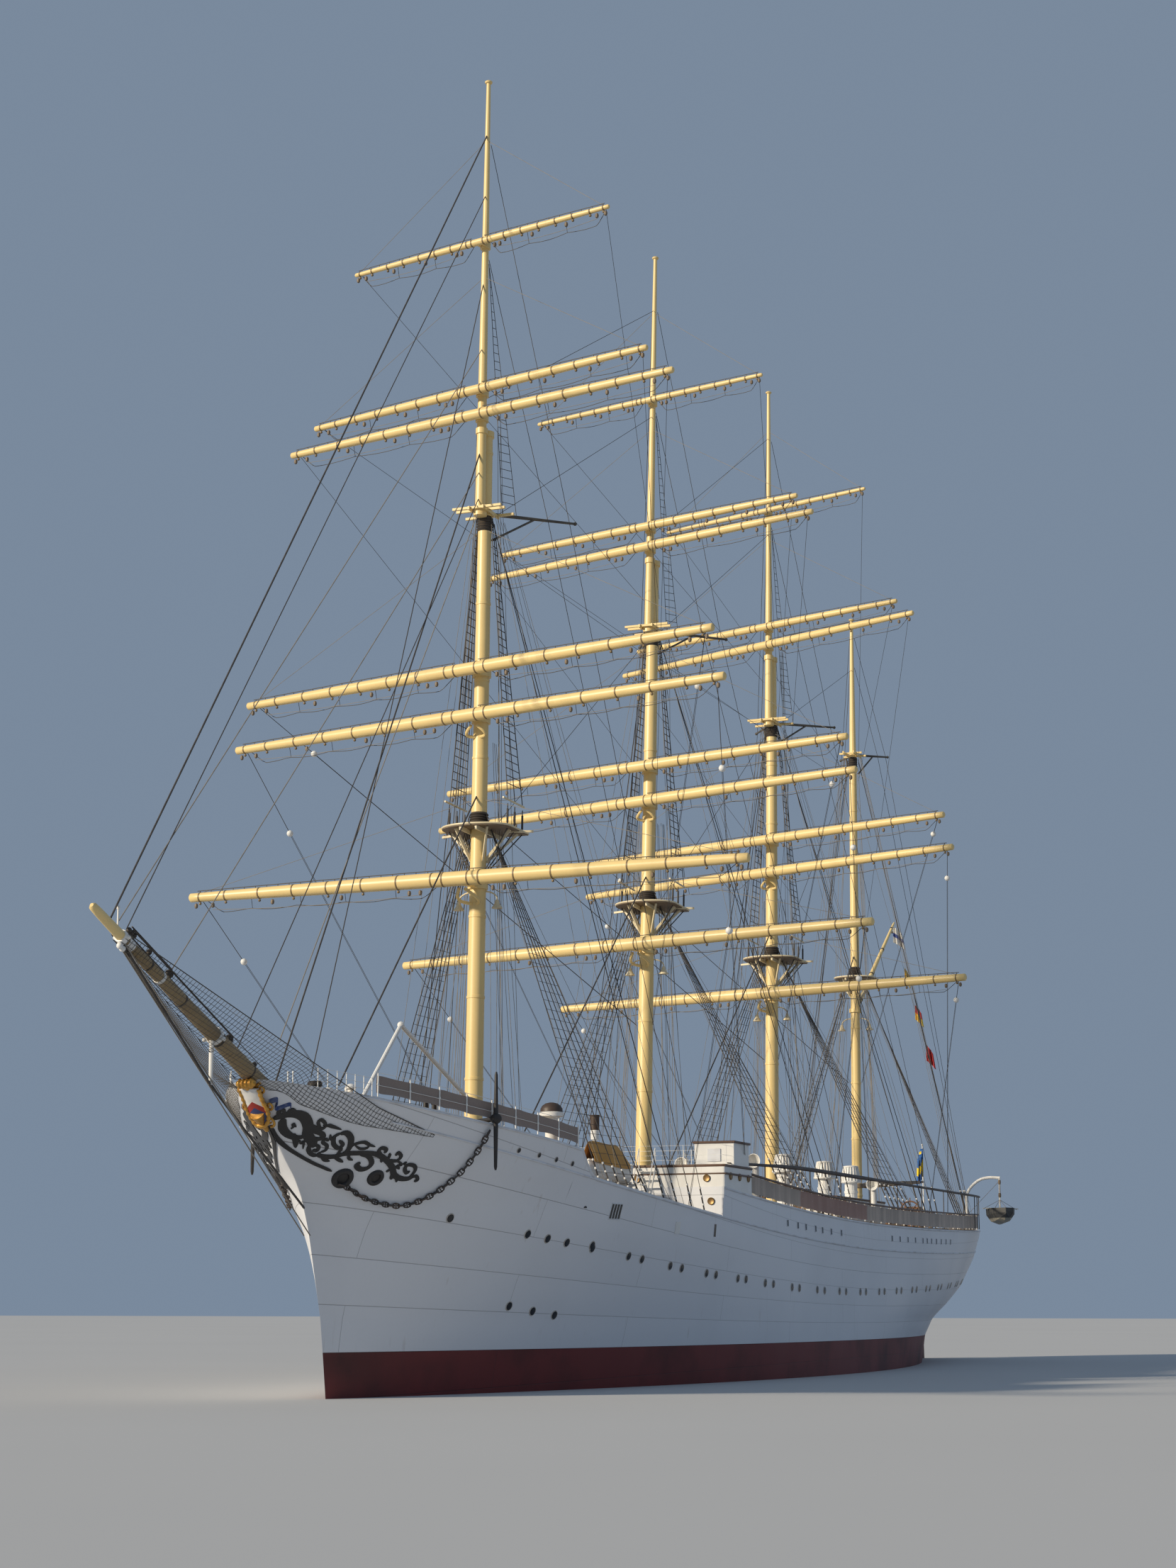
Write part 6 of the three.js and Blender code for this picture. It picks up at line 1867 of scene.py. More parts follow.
def crestFrame():
    # a beaded frame round the shield, the roll over it, side scrolls, and the neck below the spar
    v = linspace(0, 1, 40)
    outline = concatenate([stack([shieldHalf(v), v], -1), stack([-shieldHalf(v), v], -1)[::-1]])
    z = crest["middle"][1] + crest["height"] * (0.45 - outline[:, 1])
    path = onCrest(outline[:, 0], z, 0.006 + 0 * z)
    reach = crest["frame"] * (1 + 0.18 * sin(arange(len(path)) * 1.3))
    parts = [sweeps(path, reach, 12)]
    share = linspace(-1, 1, 33)
    profile = stack([crest["rollRadius"] * (1 - 0.16 * cos(share * 5 * pi)) * (1 - share ** 8 * 0.75),
                     share * crest["rollHalf"]], -1)
    parts.append(turned(profile, [crest["roll"][0], 0, crest["roll"][1]], (0, 1, 0), 24))
    t = linspace(0, 1, 40)
    for side in (1, -1):
        for lift, out, size, turns, first in ((0.43, 0.040, 0.017, 1.3, 0.2),
                (-0.02, 0.046, 0.015, 1.2, 0.45), (-0.44, 0.026, 0.016, 1.2, 0.7)):
            turn = 2 * pi * (first + turns * t)
            curl = size * (1 - 0.8 * t)
            y = side * (out + curl * cos(turn))
            z = crest["middle"][1] + crest["height"] * lift + curl * sin(turn)
            flat = crest["middle"][0] + (z - crest["middle"][1]) * crest["lean"] - 0.006
            parts.append(sweeps(xyz(flat, y, z), 0.0055 * (1 - 0.55 * t), 10))
    neck = linspace([4.560, 0, 1.020], [crest["roll"][0], 0, crest["roll"][1]], 9)
    parts.append(sweeps(neck, linspace(0.036, 0.015, 9), 20))
    foot = linspace([4.585, 0, 0.958], [4.512, 0, 0.905], 7)
    parts.append(sweeps(foot, linspace(0.026, 0.007, 7), 14))
    return parts


def crestRibbons():
    # two painted ribbons that wave back along the plating behind the frame
    parts = []
    t = linspace(0, 1, 26)
    for side in (1, -1):
        x = 4.575 - 0.060 * t
        z = 1.000 - 0.020 * t + 0.010 * sin(t * 9)
        middle, _ = onHull(x, z, side, 0.004)
        wide = array([0, 0, 1.0]) * linspace(-0.5, 0.5, 4)[None, :, None] * (0.020 - 0.008 * t)[:,
            None, None]
        part = gridSheet(middle[:, None] + wide, 0.003)
        parts.append(handed(part, side))
    return parts


addPiece("crestShield", crestParts(), "crestEnamel", smooth=40)
addPiece("crestFrame", crestFrame(), "gilt", stands=["bow_crest"], smooth=60)
addPiece("crestRibbons", crestRibbons(), "ribbonBlue", smooth=60)
print("bow dressed")

# Rails: white stanchions and wires with stretched brown canvas, and a brown rail round the poop

rails = dict(  # forecastle from break to canvas end; poop from bridge to stern
    forecastle=dict(fore=4.257, aft=3.097, height=0.084, every=0.142, canvas="canvasBrown", foot=0.011,
                    posts=0.004, cloth=0.006, lines=(0.47, 0.985)),
    poop=dict(fore=1.325, aft=-4.602, height=0.092, every=0.150, canvas="canvasGrey", foot=0.003,
              posts=0.0065, cloth=0.0008, lines=(0.40, 0.70)),
    edge=0.010, post=0.0027, wire=0.0010, topWidth=0.017, topThick=0.009)


def railLine(x, side, rise, inward):
    # along the deck's edge, at a height over the planking
    edge = halfBreadth(x, deckTop(x) - 0.006) - inward
    return xyz(x, side * maximum(edge, 0.0005), deckTop(x) + rise)


def railSpread(deck, count):
    # closer together towards the stern, where the edge turns across
    row = rails[deck]
    t = linspace(0, 1, count)
    bend = t ** 2 * (3 - 2 * t) if deck == "poop" else t
    return row["aft"] + (row["fore"] - row["aft"]) * (0.5 * t ** 2 + 0.5 * bend if deck == "poop" else bend)


def canvasSheet(deck, side):
    # the cloth is pulled in a little between the stanchions and scalloped along its lower edge
    row = rails[deck]
    x = railSpread(deck, 240 if deck == "poop" else 110)
    v = linspace(0, 1, 7)
    bay = np.abs(sin(pi * (x - row["aft"]) / row["every"]))
    low = row["foot"] + 0.004 * bay
    high = row["height"] - rails["topThick"] - 0.002 - 0.0025 * bay
    rise = low[:, None] + (high - low)[:, None] * v[None]
    belly = 0.0025 * bay[:, None] * sin(pi * v)[None]
    foot = railLine(x, side, 0, rails["edge"] + row["cloth"])
    points = repeat(foot[:, None], len(v), 1)
    points[..., 1] -= side * belly
    points[..., 2] += rise
    part = gridSheet(points, 0.0012)
    length = runAlong(foot)
    grid = stack([repeat(length[:, None], len(v), 1), rise], -1).reshape(-1, 2)
    uv = concatenate([grid, grid])
    area = float(np.sum(diff(length) * (rise[:-1, -1] - rise[:-1, 0])))
    return handed(part, side), uv, length[-1], float(np.max(high - low)), area


def railPosts(deck, side):
    row = rails[deck]
    line = railLine(railSpread(deck, 800), side, 0, rails["edge"] + row["posts"])
    length = runAlong(line)
    count = int(length[-1] / row["every"]) + 1
    at = linspace(0.004, length[-1] - 0.004, count)
    foot = pointsAt(at, length, line)
    posts = wires(foot, foot + [0, 0, row["height"] - 0.004], rails["post"], 8)
    knobs = balls(foot + [0, 0, row["height"] * 0.5], rails["post"] * 1.7, 5, 8)
    parts = [posts, knobs]
    for share in row["lines"]:
        parts.append(sweeps(line + [0, 0, row["height"] * share], rails["wire"], 5))
    return parts


def topRail(side):
    # a flat wooden rail: a rounded rectangle carried along the poop's edge
    x = railSpread("poop", 260)
    line = railLine(x, side, rails["poop"]["height"] - rails["topThick"] / 2, rails["edge"] + 0.004)
    along = unit(np.gradient(line, axis=0))
    across = unit(cross([0, 0, 1.0], along))
    up = cross(along, across)
    turn = turnsOf(12)
    wide = sign(cos(turn)) * np.abs(cos(turn)) ** 0.5 * rails["topWidth"] / 2
    tall = sign(sin(turn)) * np.abs(sin(turn)) ** 0.5 * rails["topThick"] / 2
    ring = line[:, None] + across[:, None] * wide[None, :, None] + up[:, None] * tall[None, :, None]
    return closedTubes(ring[None])


for side, word in ((1, "port"), (-1, "starboard")):
    for deck in ("forecastle", "poop"):
        posts = addPiece(deck + "Posts_" + word, railPosts(deck, side), "fittingWhite",
                         stands=[deck + "_rail_" + word], smooth=60)
        part, uv, length, height, area = canvasSheet(deck, side)
        cloth = addPiece(deck + "Canvas_" + word, [part], rails[deck]["canvas"], uv=uv, smooth=60)
    addPiece("poopTopRail_" + word, [topRail(side)], "edgeBrown", smooth=60)


def headRails(side):
    # open wires on stanchions round the head of the forecastle
    x = linspace(4.275, 4.47, 7)
    foot = railLine(x, side, -0.004, 0.016)
    parts = [wires(foot, foot + [0, 0, 0.066], 0.0018, 8)]
    for rise in (0.022, 0.043, 0.064):
        parts.append(sweeps(foot + [0, 0, rise], 0.0008, 5))
    return parts


addPiece("headRails", headRails(1) + headRails(-1), "fittingWhite", smooth=60)
awning = dict(x=(1.61, 0.63, -1.2, -3.17, -3.60), y=(0.664, 0.672, 0.668, 0.590, 0.520),
              z=(0.925, 0.952, 0.953, 0.966, 0.975), radius=0.0066, rollMiddle=0.10, rollHalf=0.95)


def awningSpars(side):
    # a long spar over each side rail on props, its bends averaged over a few points and its ends tapered
    t = linspace(0, 1, 70)
    at = linspace(0, 1, len(awning["x"]))
    path = xyz(*(interp(t, at, awning[axis]) for axis in "xyz"))
    smooth = path.copy()
    smooth[4:-4] = stack([np.convolve(path[:, n], np.ones(9) / 9, "valid") for n in range(3)], -1)
    smooth[:, 1] *= side
    rolled = clip(1 - np.abs((smooth[:, 0] - awning["rollMiddle"]) / awning["rollHalf"]) ** 6, 0, 1)
    reach = awning["radius"] * clip(minimum(t, 1 - t) * 12 + 0.4, 0, 1) * (1 + 0.45 * rolled)
    props = smooth[4:-2:5]
    feet = xyz(props[:, 0], props[:, 1], deckTop(props[:, 0]))
    return [sweeps(smooth, reach, 12)], [wires(feet, props, 0.0026, 6)]


spars, props = zip(awningSpars(1), awningSpars(-1))
addPiece("awningSpars", spars[0] + spars[1], "pipeDark", smooth=60)
addPiece("awningProps", props[0] + props[1], "bandDark", smooth=60)

# Deck houses: roof mouldings, round windows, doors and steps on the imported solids

houses = dict(  # low x, high x, half width, top, all from the part
    bridge=(1.330, 1.698, 0.680, 0.912), poop=(-2.480, -1.500, 0.230, 0.905),
    fore=(1.900, 2.390, 0.250, 0.880))


def roofEdges(low, high, half, top):
    # a rounded edge that runs round the roof, and a rail a little above it
    corners = array([[low, -half], [high, -half], [high, half], [low, half]])
    loop = concatenate([linspace(corners[n], corners[(n + 1) % 4], 12)[:-1] for n in range(4)])
    flat = column_stack([loop, full(len(loop), top)])
    turn = turnsOf(8)
    outward = unit(flat - array([(low + high) / 2, 0, top]))
    ring = flat[:, None] + (cos(turn)[:, None] * outward[:, None] + sin(turn)[:, None]
                            * [0, 0, 1.0]) * 0.006
    return closedLoops(ring[None])


addPiece("roofEdges", [roofEdges(*houses[name]) for name in houses], "edgeBrown", smooth=60)


def windowsOn(places, normal, radius=0.016):
    # brass ring and dark glass, each a profile turned about the wall's normal
    ring = array([[0.72, -0.1], [1.0, -0.1], [1.0, 0.16], [0.86, 0.26], [0.72, 0.20]]) * radius
    glass = array([[0.76, -0.08], [0.76, 0.10], [0.40, 0.16], [0.10, 0.18]]) * radius
    return turned(ring, places, normal, 18), turned(glass, places, normal, 18)


windowRows = (  # x, y and z of each row, of which one lists its places
    (1.700, (-0.60, -0.28, 0.28, 0.60), 0.858), (1.702, (-0.62, 0.62), 0.760),
    ((1.38, 1.50, 1.62), 0.682, 0.868), ((1.97, 2.09, 2.21, 2.33), 0.252, 0.810),
    (2.392, (-0.16, 0.16), 0.810), (linspace(-2.42, -1.56, 8), 0.232, 0.850))


def houseWindows():
    # a row across the ship lies in a fore wall, and a row along it in both side walls
    made = []
    for x, y, z in windowRows:
        if np.ndim(y):
            made.append(windowsOn(xyz(x, y, z), (1, 0, 0)))
        else:
            made += [windowsOn(xyz(x, side * y, z), (0, side, 0)) for side in (1, -1)]
    return zip(*made)


rings, glasses = houseWindows()
addPiece("houseWindowRings", rings, "brass", smooth=50)
addPiece("houseWindowGlasses", glasses, "portGlass", smooth=50)
doors = blocksAt([(2.389, -0.045, 0.690), (1.329, -0.30, 0.815), (1.329, 0.22, 0.815),
                  (-1.501, -0.04, 0.775), (-2.484, -0.04, 0.790)],
                 [(2.395, 0.045, 0.850), (1.325, -0.22, 0.900), (1.325, 0.30, 0.900), (-1.496, 0.04, 0.895),
                  (-2.479, 0.04, 0.895)])
rounded(addPiece("houseDoors", [doors], "varnished", weld=True), 0.0015)
breakDoors = blocksAt([(3.086, y - 0.035, 0.715) for y in (-0.32, -0.10, 0.10, 0.32)],
                      [(3.091, y + 0.035, 0.865) for y in (-0.32, -0.10, 0.10, 0.32)])
rounded(addPiece("forecastleDoors", [breakDoors], "varnished", weld=True), 0.0015)
wing = dict(x=(1.366, 1.570), top=1.013)
lids = blocksAt([(wing["x"][0] - 0.007, side * 0.59 - 0.098, wing["top"]) for side in (1, -1)],
                [(wing["x"][1] + 0.007, side * 0.59 + 0.098, wing["top"] + 0.010) for side in (1, -1)])
rounded(addPiece("wingBoxLids", [lids], "edgeBrown", weld=True), 0.003)
hatchesOnBoxes = blocksAt([(1.571, side * 0.59 - 0.030, 0.935) for side in (1, -1)],
                          [(1.5745, side * 0.59 + 0.030, 0.990) for side in (1, -1)])
rounded(addPiece("wingBoxDoors", [hatchesOnBoxes], "hullTrim", weld=True), 0.001)


def ladder(bottom, top, width, steps):
    # two strings, the treads between them, and a hand rail on props over each string
    bottom, top = array(bottom, float), array(top, float)
    aside = unit(cross(top - bottom, [0, 0, 1.0])) * width / 2
    feet, heads = bottom + aside * [[-1], [1]], top + aside * [[-1], [1]]
    centre = bottom + (top - bottom) * (np.arange(steps) + 0.5)[:, None] / steps
    ends, up = concatenate([feet, heads]), array([0, 0, 0.085])
    return [bar(feet, heads, 0.003, 0.012), bar(centre - aside, centre + aside, 0.012, 0.003),
            sweeps(linspace(feet + up, heads + up, 5, axis=1), 0.0022, 6),
            wires(ends, ends + up, 0.0022, 6)]


ladders = []
for side in (1, -1):
    ladders += ladder((2.930, side * 0.22, 0.702), (3.086, side * 0.22, 0.918), 0.075, 9)
    ladders += ladder((1.860, side * 0.33, 0.592), (1.704, side * 0.33, 0.905), 0.075, 11)
    ladders += ladder((1.170, side * 0.40, 0.803), (1.326, side * 0.40, 0.912), 0.075, 6)
addPiece("ladders", ladders, "fittingWhite")


def bridgeRails():
    parts = []
    loop = array([[1.335, -0.670], [1.692, -0.670], [1.692, 0.670], [1.335, 0.670], [1.335, -0.670]])
    path = concatenate([linspace(loop[n], loop[n + 1], 16)[:-1] for n in range(4)])
    base = column_stack([path, full(len(path), houses["bridge"][3])])
    parts.append(wires(base[::4], base[::4] + [0, 0, 0.088], 0.0012, 6))
    for rise in (0.045, 0.087):
        parts.append(sweeps(concatenate([base, base[:1]]) + [0, 0, rise], 0.0006, 5))
    return parts, concatenate([base, base[:1]]) * [1, 1, 0] + array([0.010, 0, 0.877])


parts, handLine = bridgeRails()
addPiece("bridgeRails", parts, "fittingWhite", smooth=60)
belt = handLine * [1, 1.022, 1] - [0.006 * (handLine[0, 0] < 1.5), 0, 0]
addPiece("bridgeBelt", [sweeps(belt, 0.0042, 8)], "edgeBrown", smooth=60)
cones = dict(places=((-1.612, 0.130, 0.905), (-2.131, 0.130, 0.905), (-0.870, 0.130, 0.905)), low=0.105,
             high=0.190, radii=(0.056, 0.039), ribs=20)


def coneParts():
    # sloping ribs round each cone, a rolled foot and a flat lid
    parts, lids = [], []
    turn = arange(cones["ribs"]) * 2 * pi / cones["ribs"]
    circle = xyz(cos(turn), sin(turn), 0 * turn)
    for place in array(cones["places"]):
        low = place + circle * (cones["radii"][0] + 0.001) + [0, 0, cones["low"]]
        high = place + circle * (cones["radii"][1] + 0.001) + [0, 0, cones["high"]]
        parts.append(wires(low, high, 0.0028, 6))
        foot = array([[0.050, -0.006], [0.058, -0.005], [0.0605, 0.0], [0.058, 0.005], [0.050, 0.006]])
        parts.append(turned(foot, place + [0, 0, cones["low"]], sides=32))
        lid = array([[0.040, -0.004], [0.0425, -0.002], [0.0425, 0.003], [0.036, 0.006], [0.008, 0.009]])
        lids.append(turned(lid, place + [0, 0, cones["high"]], sides=32))
        collar = array([[0.0365, -0.004], [0.039, -0.003], [0.039, 0.010], [0.0365, 0.011]])
        lids.append(turned(collar, place + [0, 0, 0.045], sides=28))
    return parts, lids


parts, lids = coneParts()
addPiece("ventilatorRibs", parts, "fittingWhite", smooth=60)
addPiece("ventilatorLids", lids, "fittingWhite", smooth=40)

# Deck fittings: turned pieces, boats, pin rails with their coils, and flags

bollardPlaces = ((3.92, 0.315), (3.87, 0.325), (2.94, 0.53), (2.89, 0.53), (-3.62, 0.44), (-3.67, 0.43),
                 (0.05, 0.60), (0.0, 0.60))
ventPlaces = ((4.120, 0.075), (4.120, -0.075), (4.246, 0.180), (4.246, -0.180), (0.70, 0.42), (-1.25, 0.40))
fittingRows = dict(  # finish, feet, height of the feet or None for the deck, then pairs of radius and height
    domeTrunk=("fittingWhite", [(3.170, 0.490)], None,
               [(0.030, 0), (0.030, 0.006), (0.024, 0.010), (0.024, 0.098), (0.040, 0.104)]),
    domeBand=("fittingWhite", [(3.170, 0.490)], None,
              [(0.040, 0.103), (0.046, 0.105), (0.0465, 0.119), (0.042, 0.122)]),
    domeCap=("pipeDark", [(3.170, 0.490)], None,
             [(0.040, 0.120), (0.043, 0.123), (0.042, 0.134), (0.036, 0.145), (0.024, 0.154),
              (0.008, 0.158)]),
    stoveFoot=("fittingWhite", [(1.990, 0.200)], 0.880,
               [(0.012, 0), (0.012, 0.006), (0.007, 0.010), (0.007, 0.128), (0.017, 0.134), (0.0185, 0.172),
                (0.015, 0.175)]),
    stovePipe=("stoveBrown", [(1.990, 0.200)], 0.880,
               [(0.015, 0.172), (0.0195, 0.176), (0.0200, 0.230), (0.0225, 0.232), (0.0225, 0.237),
                (0.018, 0.2375), (0.017, 0.220)]),
    capstanDrum=("ironBlack", [(4.170, 0), (-3.560, 0)], None,
                 [(0.030, 0), (0.030, 0.008), (0.019, 0.014), (0.016, 0.035), (0.019, 0.056), (0.026, 0.060),
                  (0.027, 0.072), (0.022, 0.078), (0.006, 0.080)]),
    mushroomVents=("fittingWhite", ventPlaces, None,
                   [(0.008, 0), (0.009, 0.030), (0.0185, 0.032), (0.0200, 0.037), (0.016, 0.045),
                    (0.005, 0.050)]),
    bollards=("ironBlack", [(x, side * y) for side in (1, -1) for x, y in bollardPlaces], None,
              [(0.013, 0), (0.013, 0.004), (0.0095, 0.008), (0.0090, 0.038), (0.0125, 0.041), (0.0125, 0.047),
               (0.004, 0.050)]),
    binnacle=("varnished", [(-3.760, 0)], None,
              [(0.022, 0), (0.022, 0.006), (0.015, 0.012), (0.014, 0.078), (0.019, 0.084), (0.019, 0.090)]),
    binnacleHood=("brass", [(-3.760, 0)], None,
                  [(0.016, 0.088), (0.0175, 0.092), (0.0165, 0.104), (0.010, 0.114), (0.004, 0.117)]),
    cornerPosts=("fittingWhite", [(4.353, 0.010), (4.353, -0.010)], None,
                 [(0.004, 0), (0.0028, 0.004), (0.0025, 0.070), (0.0042, 0.074), (0.002, 0.079)]))
for name, (finish, feet, foot, profile) in fittingRows.items():
    places = array([(x, y, deckTop(x) - 0.001 if foot is None else foot) for x, y in feet])
    slotName = "iron_black" if name == "domeCap" else None
    addPiece(name, [turned(profile, places, sides=24)], finish, slotName=slotName, smooth=38)

cowls = dict(places=((0.420, 0.400), (0.420, -0.400), (-1.780, 0.36), (-1.780, -0.36), (2.900, 0.0),
                     (0.32, 0.0)), neck=0.205, bend=0.032, radius=0.0165, mouth=0.034)


def cowlParts():
    # a trunk, a quarter bend that widens to its mouth, and the inner wall turned back down the bend
    parts = []
    outer, inner = linspace(0, pi / 2, 12), linspace(pi / 2, 0.5, 7)
    turn = concatenate([outer, inner])
    swell = (turn / (pi / 2)) ** 2.2
    wide = cowls["radius"] + (cowls["mouth"] - cowls["radius"]) * swell
    wide[12:] = wide[12:] * 0.92 - 0.0004
    for x, y in cowls["places"]:
        neck = array([x, y, deckTop(x) + cowls["neck"]])
        centre = neck + cowls["bend"] * xyz(1 - cos(turn), 0 * turn, sin(turn))
        up = xyz(-cos(turn), 0 * turn, sin(turn))
        ring = ringOf(broadcast_to([0.0, 1, 0], up.shape), up, 24)
        parts.append(closedTubes((centre[:, None] + ring * wide[:, None, None])[None]))
        trunk = array([[0.024, 0], [0.024, 0.008], [0.018, 0.012], [0.0172, 0.09], [0.0185, 0.092],
                       [0.0185, 0.100], [0.0170, 0.102], [0.0166, cowls["neck"] + 0.002]])
        parts.append(turned(trunk, neck * [1, 1, 0] + [0, 0, deckTop(x)], sides=24))
    return parts


addPiece("cowlVentilators", cowlParts(), "fittingWhite", smooth=55)

lifeboat = dict(middle=(2.330, 0.400), half=0.230, width=0.062, keel=0.812, gunwale=0.882, sheer=0.020,
                ridge=0.080, overhang=0.004, covered=(-0.32, 1.04))


def boatSection(u):
    # half width falls off to both ends as (1 - |u| ** 2.6) ** 0.8, and the gunwale rises with u squared
    wide = lifeboat["width"] * maximum(1 - np.abs(u) ** 2.6, 0.0004) ** 0.8
    return wide, lifeboat["gunwale"] + lifeboat["sheer"] * u ** 2, lifeboat["keel"] + 0.03 * np.abs(u) ** 6


def lifeboatHull():
    # sections from gunwale round the bilge to gunwale: width sin(turn) ** 0.7, depth by cos(turn)
    u = sin(linspace(-pi / 2, pi / 2, 61))
    wide, high, low = boatSection(u)
    turn = linspace(-pi / 2, pi / 2, 26)
    y = wide[:, None] * sign(turn) * np.abs(sin(turn))[None] ** 0.7
    z = high[:, None] - (high - low)[:, None] * cos(turn)[None] ** 0.8
    x = repeat((lifeboat["middle"][0] + lifeboat["half"] * u)[:, None], len(turn), 1)
    return closedTubes(xyz(x, lifeboat["middle"][1] + y, z)[None, :, ::-1])


def lifeboatTrim():
    # a rubbing strake along each gunwale, three lands below it, the keel, and two cradles
    u = sin(linspace(-pi / 2, pi / 2, 61))
    wide, high, low = boatSection(u)
    x = lifeboat["middle"][0] + lifeboat["half"] * u
    strakes, cradles = [], []
    for side in (1, -1):
        for turn, radius in ((1.5, 0.0035), (1.2, 0.0012), (0.95, 0.0012), (0.7, 0.0012)):
            y = wide * np.abs(sin(turn)) ** 0.7 * side + lifeboat["middle"][1]
            strakes.append(sweeps(xyz(x, y, high - (high - low) * cos(turn) ** 0.8), radius, 6))
    strakes.append(sweeps(xyz(x, 0 * x + lifeboat["middle"][1], low - 0.001), 0.0035, 6))
    for share in (-0.5, 0.5):
        at = lifeboat["middle"][0] + lifeboat["half"] * share
        floor = deckTop(at)
        for side in (1, -1):
            cradles.append(bar((at, lifeboat["middle"][1] + side * 0.066, floor),
                               (at, lifeboat["middle"][1] + side * 0.046, lifeboat["keel"] + 0.010), 0.012,
                               0.010))
        cradles.append(bar((at, lifeboat["middle"][1] - 0.066, lifeboat["keel"] - 0.004),
                           (at, lifeboat["middle"][1] + 0.066, lifeboat["keel"] - 0.004), 0.012, 0.010))
    return strakes, cradles


def lifeboatCover():
    # the cloth falls from a ridge to just outside the gunwales, and hangs a little in five bays
    u = linspace(*lifeboat["covered"], 60)
    wide, high, _ = boatSection(u)
    wide = maximum(wide, 0.024)
    v = linspace(-1, 1, 25)
    bay = np.abs(sin(u * 2.5 * pi))
    ridge = lifeboat["ridge"] * (1 - 0.25 * u ** 4) + 0.003
    skirt = 0.016 * clip((np.abs(v) - 0.86) / 0.14, 0, 1)
    rise = 1 - minimum(np.abs(v) / 0.86, 1) ** 1.25
    y = (wide + lifeboat["overhang"])[:, None] * clip(v / 0.86, -1, 1)[None]
    sag = (0.005 * bay)[:, None] * (rise * (1 - rise) * 4)[None]
    z = high[:, None] + 0.004 + ridge[:, None] * rise[None] - skirt[None] - sag
    x = repeat((lifeboat["middle"][0] + lifeboat["half"] * u)[:, None], len(v), 1)
    points = xyz(x, lifeboat["middle"][1] + y, z)
    return points, gridSheet(points[:, ::-1], 0.0011)


def clothSizes(points):
    # the greatest length along each way, and the area as the sum of |side x side| over the grid
    alongSteps, acrossSteps = diff(points, axis=0), diff(points, axis=1)
    length = float(np.linalg.norm(alongSteps, axis=-1).sum(0).max())
    width = float(np.linalg.norm(acrossSteps, axis=-1).sum(1).max())
    area = float(np.linalg.norm(cross(alongSteps[:, :-1], acrossSteps[:-1]), axis=-1).sum())
    return width, length, area


def clothMap(points):
    # the cloth's own map in metres: length along each way from its first edge
    along = concatenate([np.zeros_like(points[:1, :, 0]), np.linalg.norm(diff(points, axis=0), axis=-1)])
    across = concatenate([np.zeros_like(points[:, :1, 0]), np.linalg.norm(diff(points, axis=1), axis=-1)],
                         1)
    flat = stack([along.cumsum(0), across.cumsum(1)], -1).reshape(-1, 2)
    return concatenate([flat, flat])


boat = addPiece("lifeboatHull", [lifeboatHull()], "fittingWhite", slotName="hull_white", smooth=50,
                weld=True)
strakes, cradles = lifeboatTrim()
addPiece("lifeboatStrakes", strakes, "hullTrim", slotName="hull_white", smooth=60)
addPiece("lifeboatCradles", cradles, "fittingWhite")
points, part = lifeboatCover()
cover = addPiece("lifeboatCover", [part], "coverOchre", smooth=60, uv=clothMap(points[:, ::-1]))
width, length, area = clothSizes(points)

pins = dict(rise=0.074, inboard=0.046, every=0.040, rail=0.0062, seed=11)
pinShape = array([[0.0012, -0.016], [0.0022, -0.012], [0.0020, 0.004], [0.0036, 0.008], [0.0034, 0.016],
                  [0.0015, 0.019]])
luck = np.random.default_rng(pins["seed"])


def coilsOn(places, ways, outs):
    # two and a half turns of an ellipse hung from each pin: along the rail by sin, down by 1 - cos
    count = len(places)
    turn = linspace(0, 5 * pi, 34)
    half, drop = luck.uniform(0.010, 0.017, (count, 1)), luck.uniform(0.024, 0.044, (count, 1))
    drift = luck.uniform(0.6, 1.4, (count, 1)) * linspace(0.004, 0.011, len(turn))
    paths = (places[:, None] + ways[:, None] * (half * sin(turn))[..., None] + outs[:, None]
             * drift[..., None] - array([0, 0, 1.0]) * (drop * (1 - cos(turn)))[..., None])
    return sweeps(paths, 0.0019, 4)


def pinRail(line, out):
    # a wooden rail on knees, a pin through it at each step, and a coil on most pins
    reach = runAlong(line)
    at = arange(pins["every"] / 2, reach[-1], pins["every"])
    places = pointsAt(at, reach, line)
    way = broadcast_to(unit(line[-1] - line[0]), places.shape)
    outs = broadcast_to(array(out, float), places.shape)
    used = luck.random(len(at)) < 0.8
    dark = used & (luck.random(len(at)) < 0.45)
    hang = places + outs * 0.007
    return (sweeps(line, pins["rail"], 8), turned(pinShape, places, sides=6),
            [coilsOn(hang[group], way[group], outs[group]) for group in (used & ~dark, dark)])


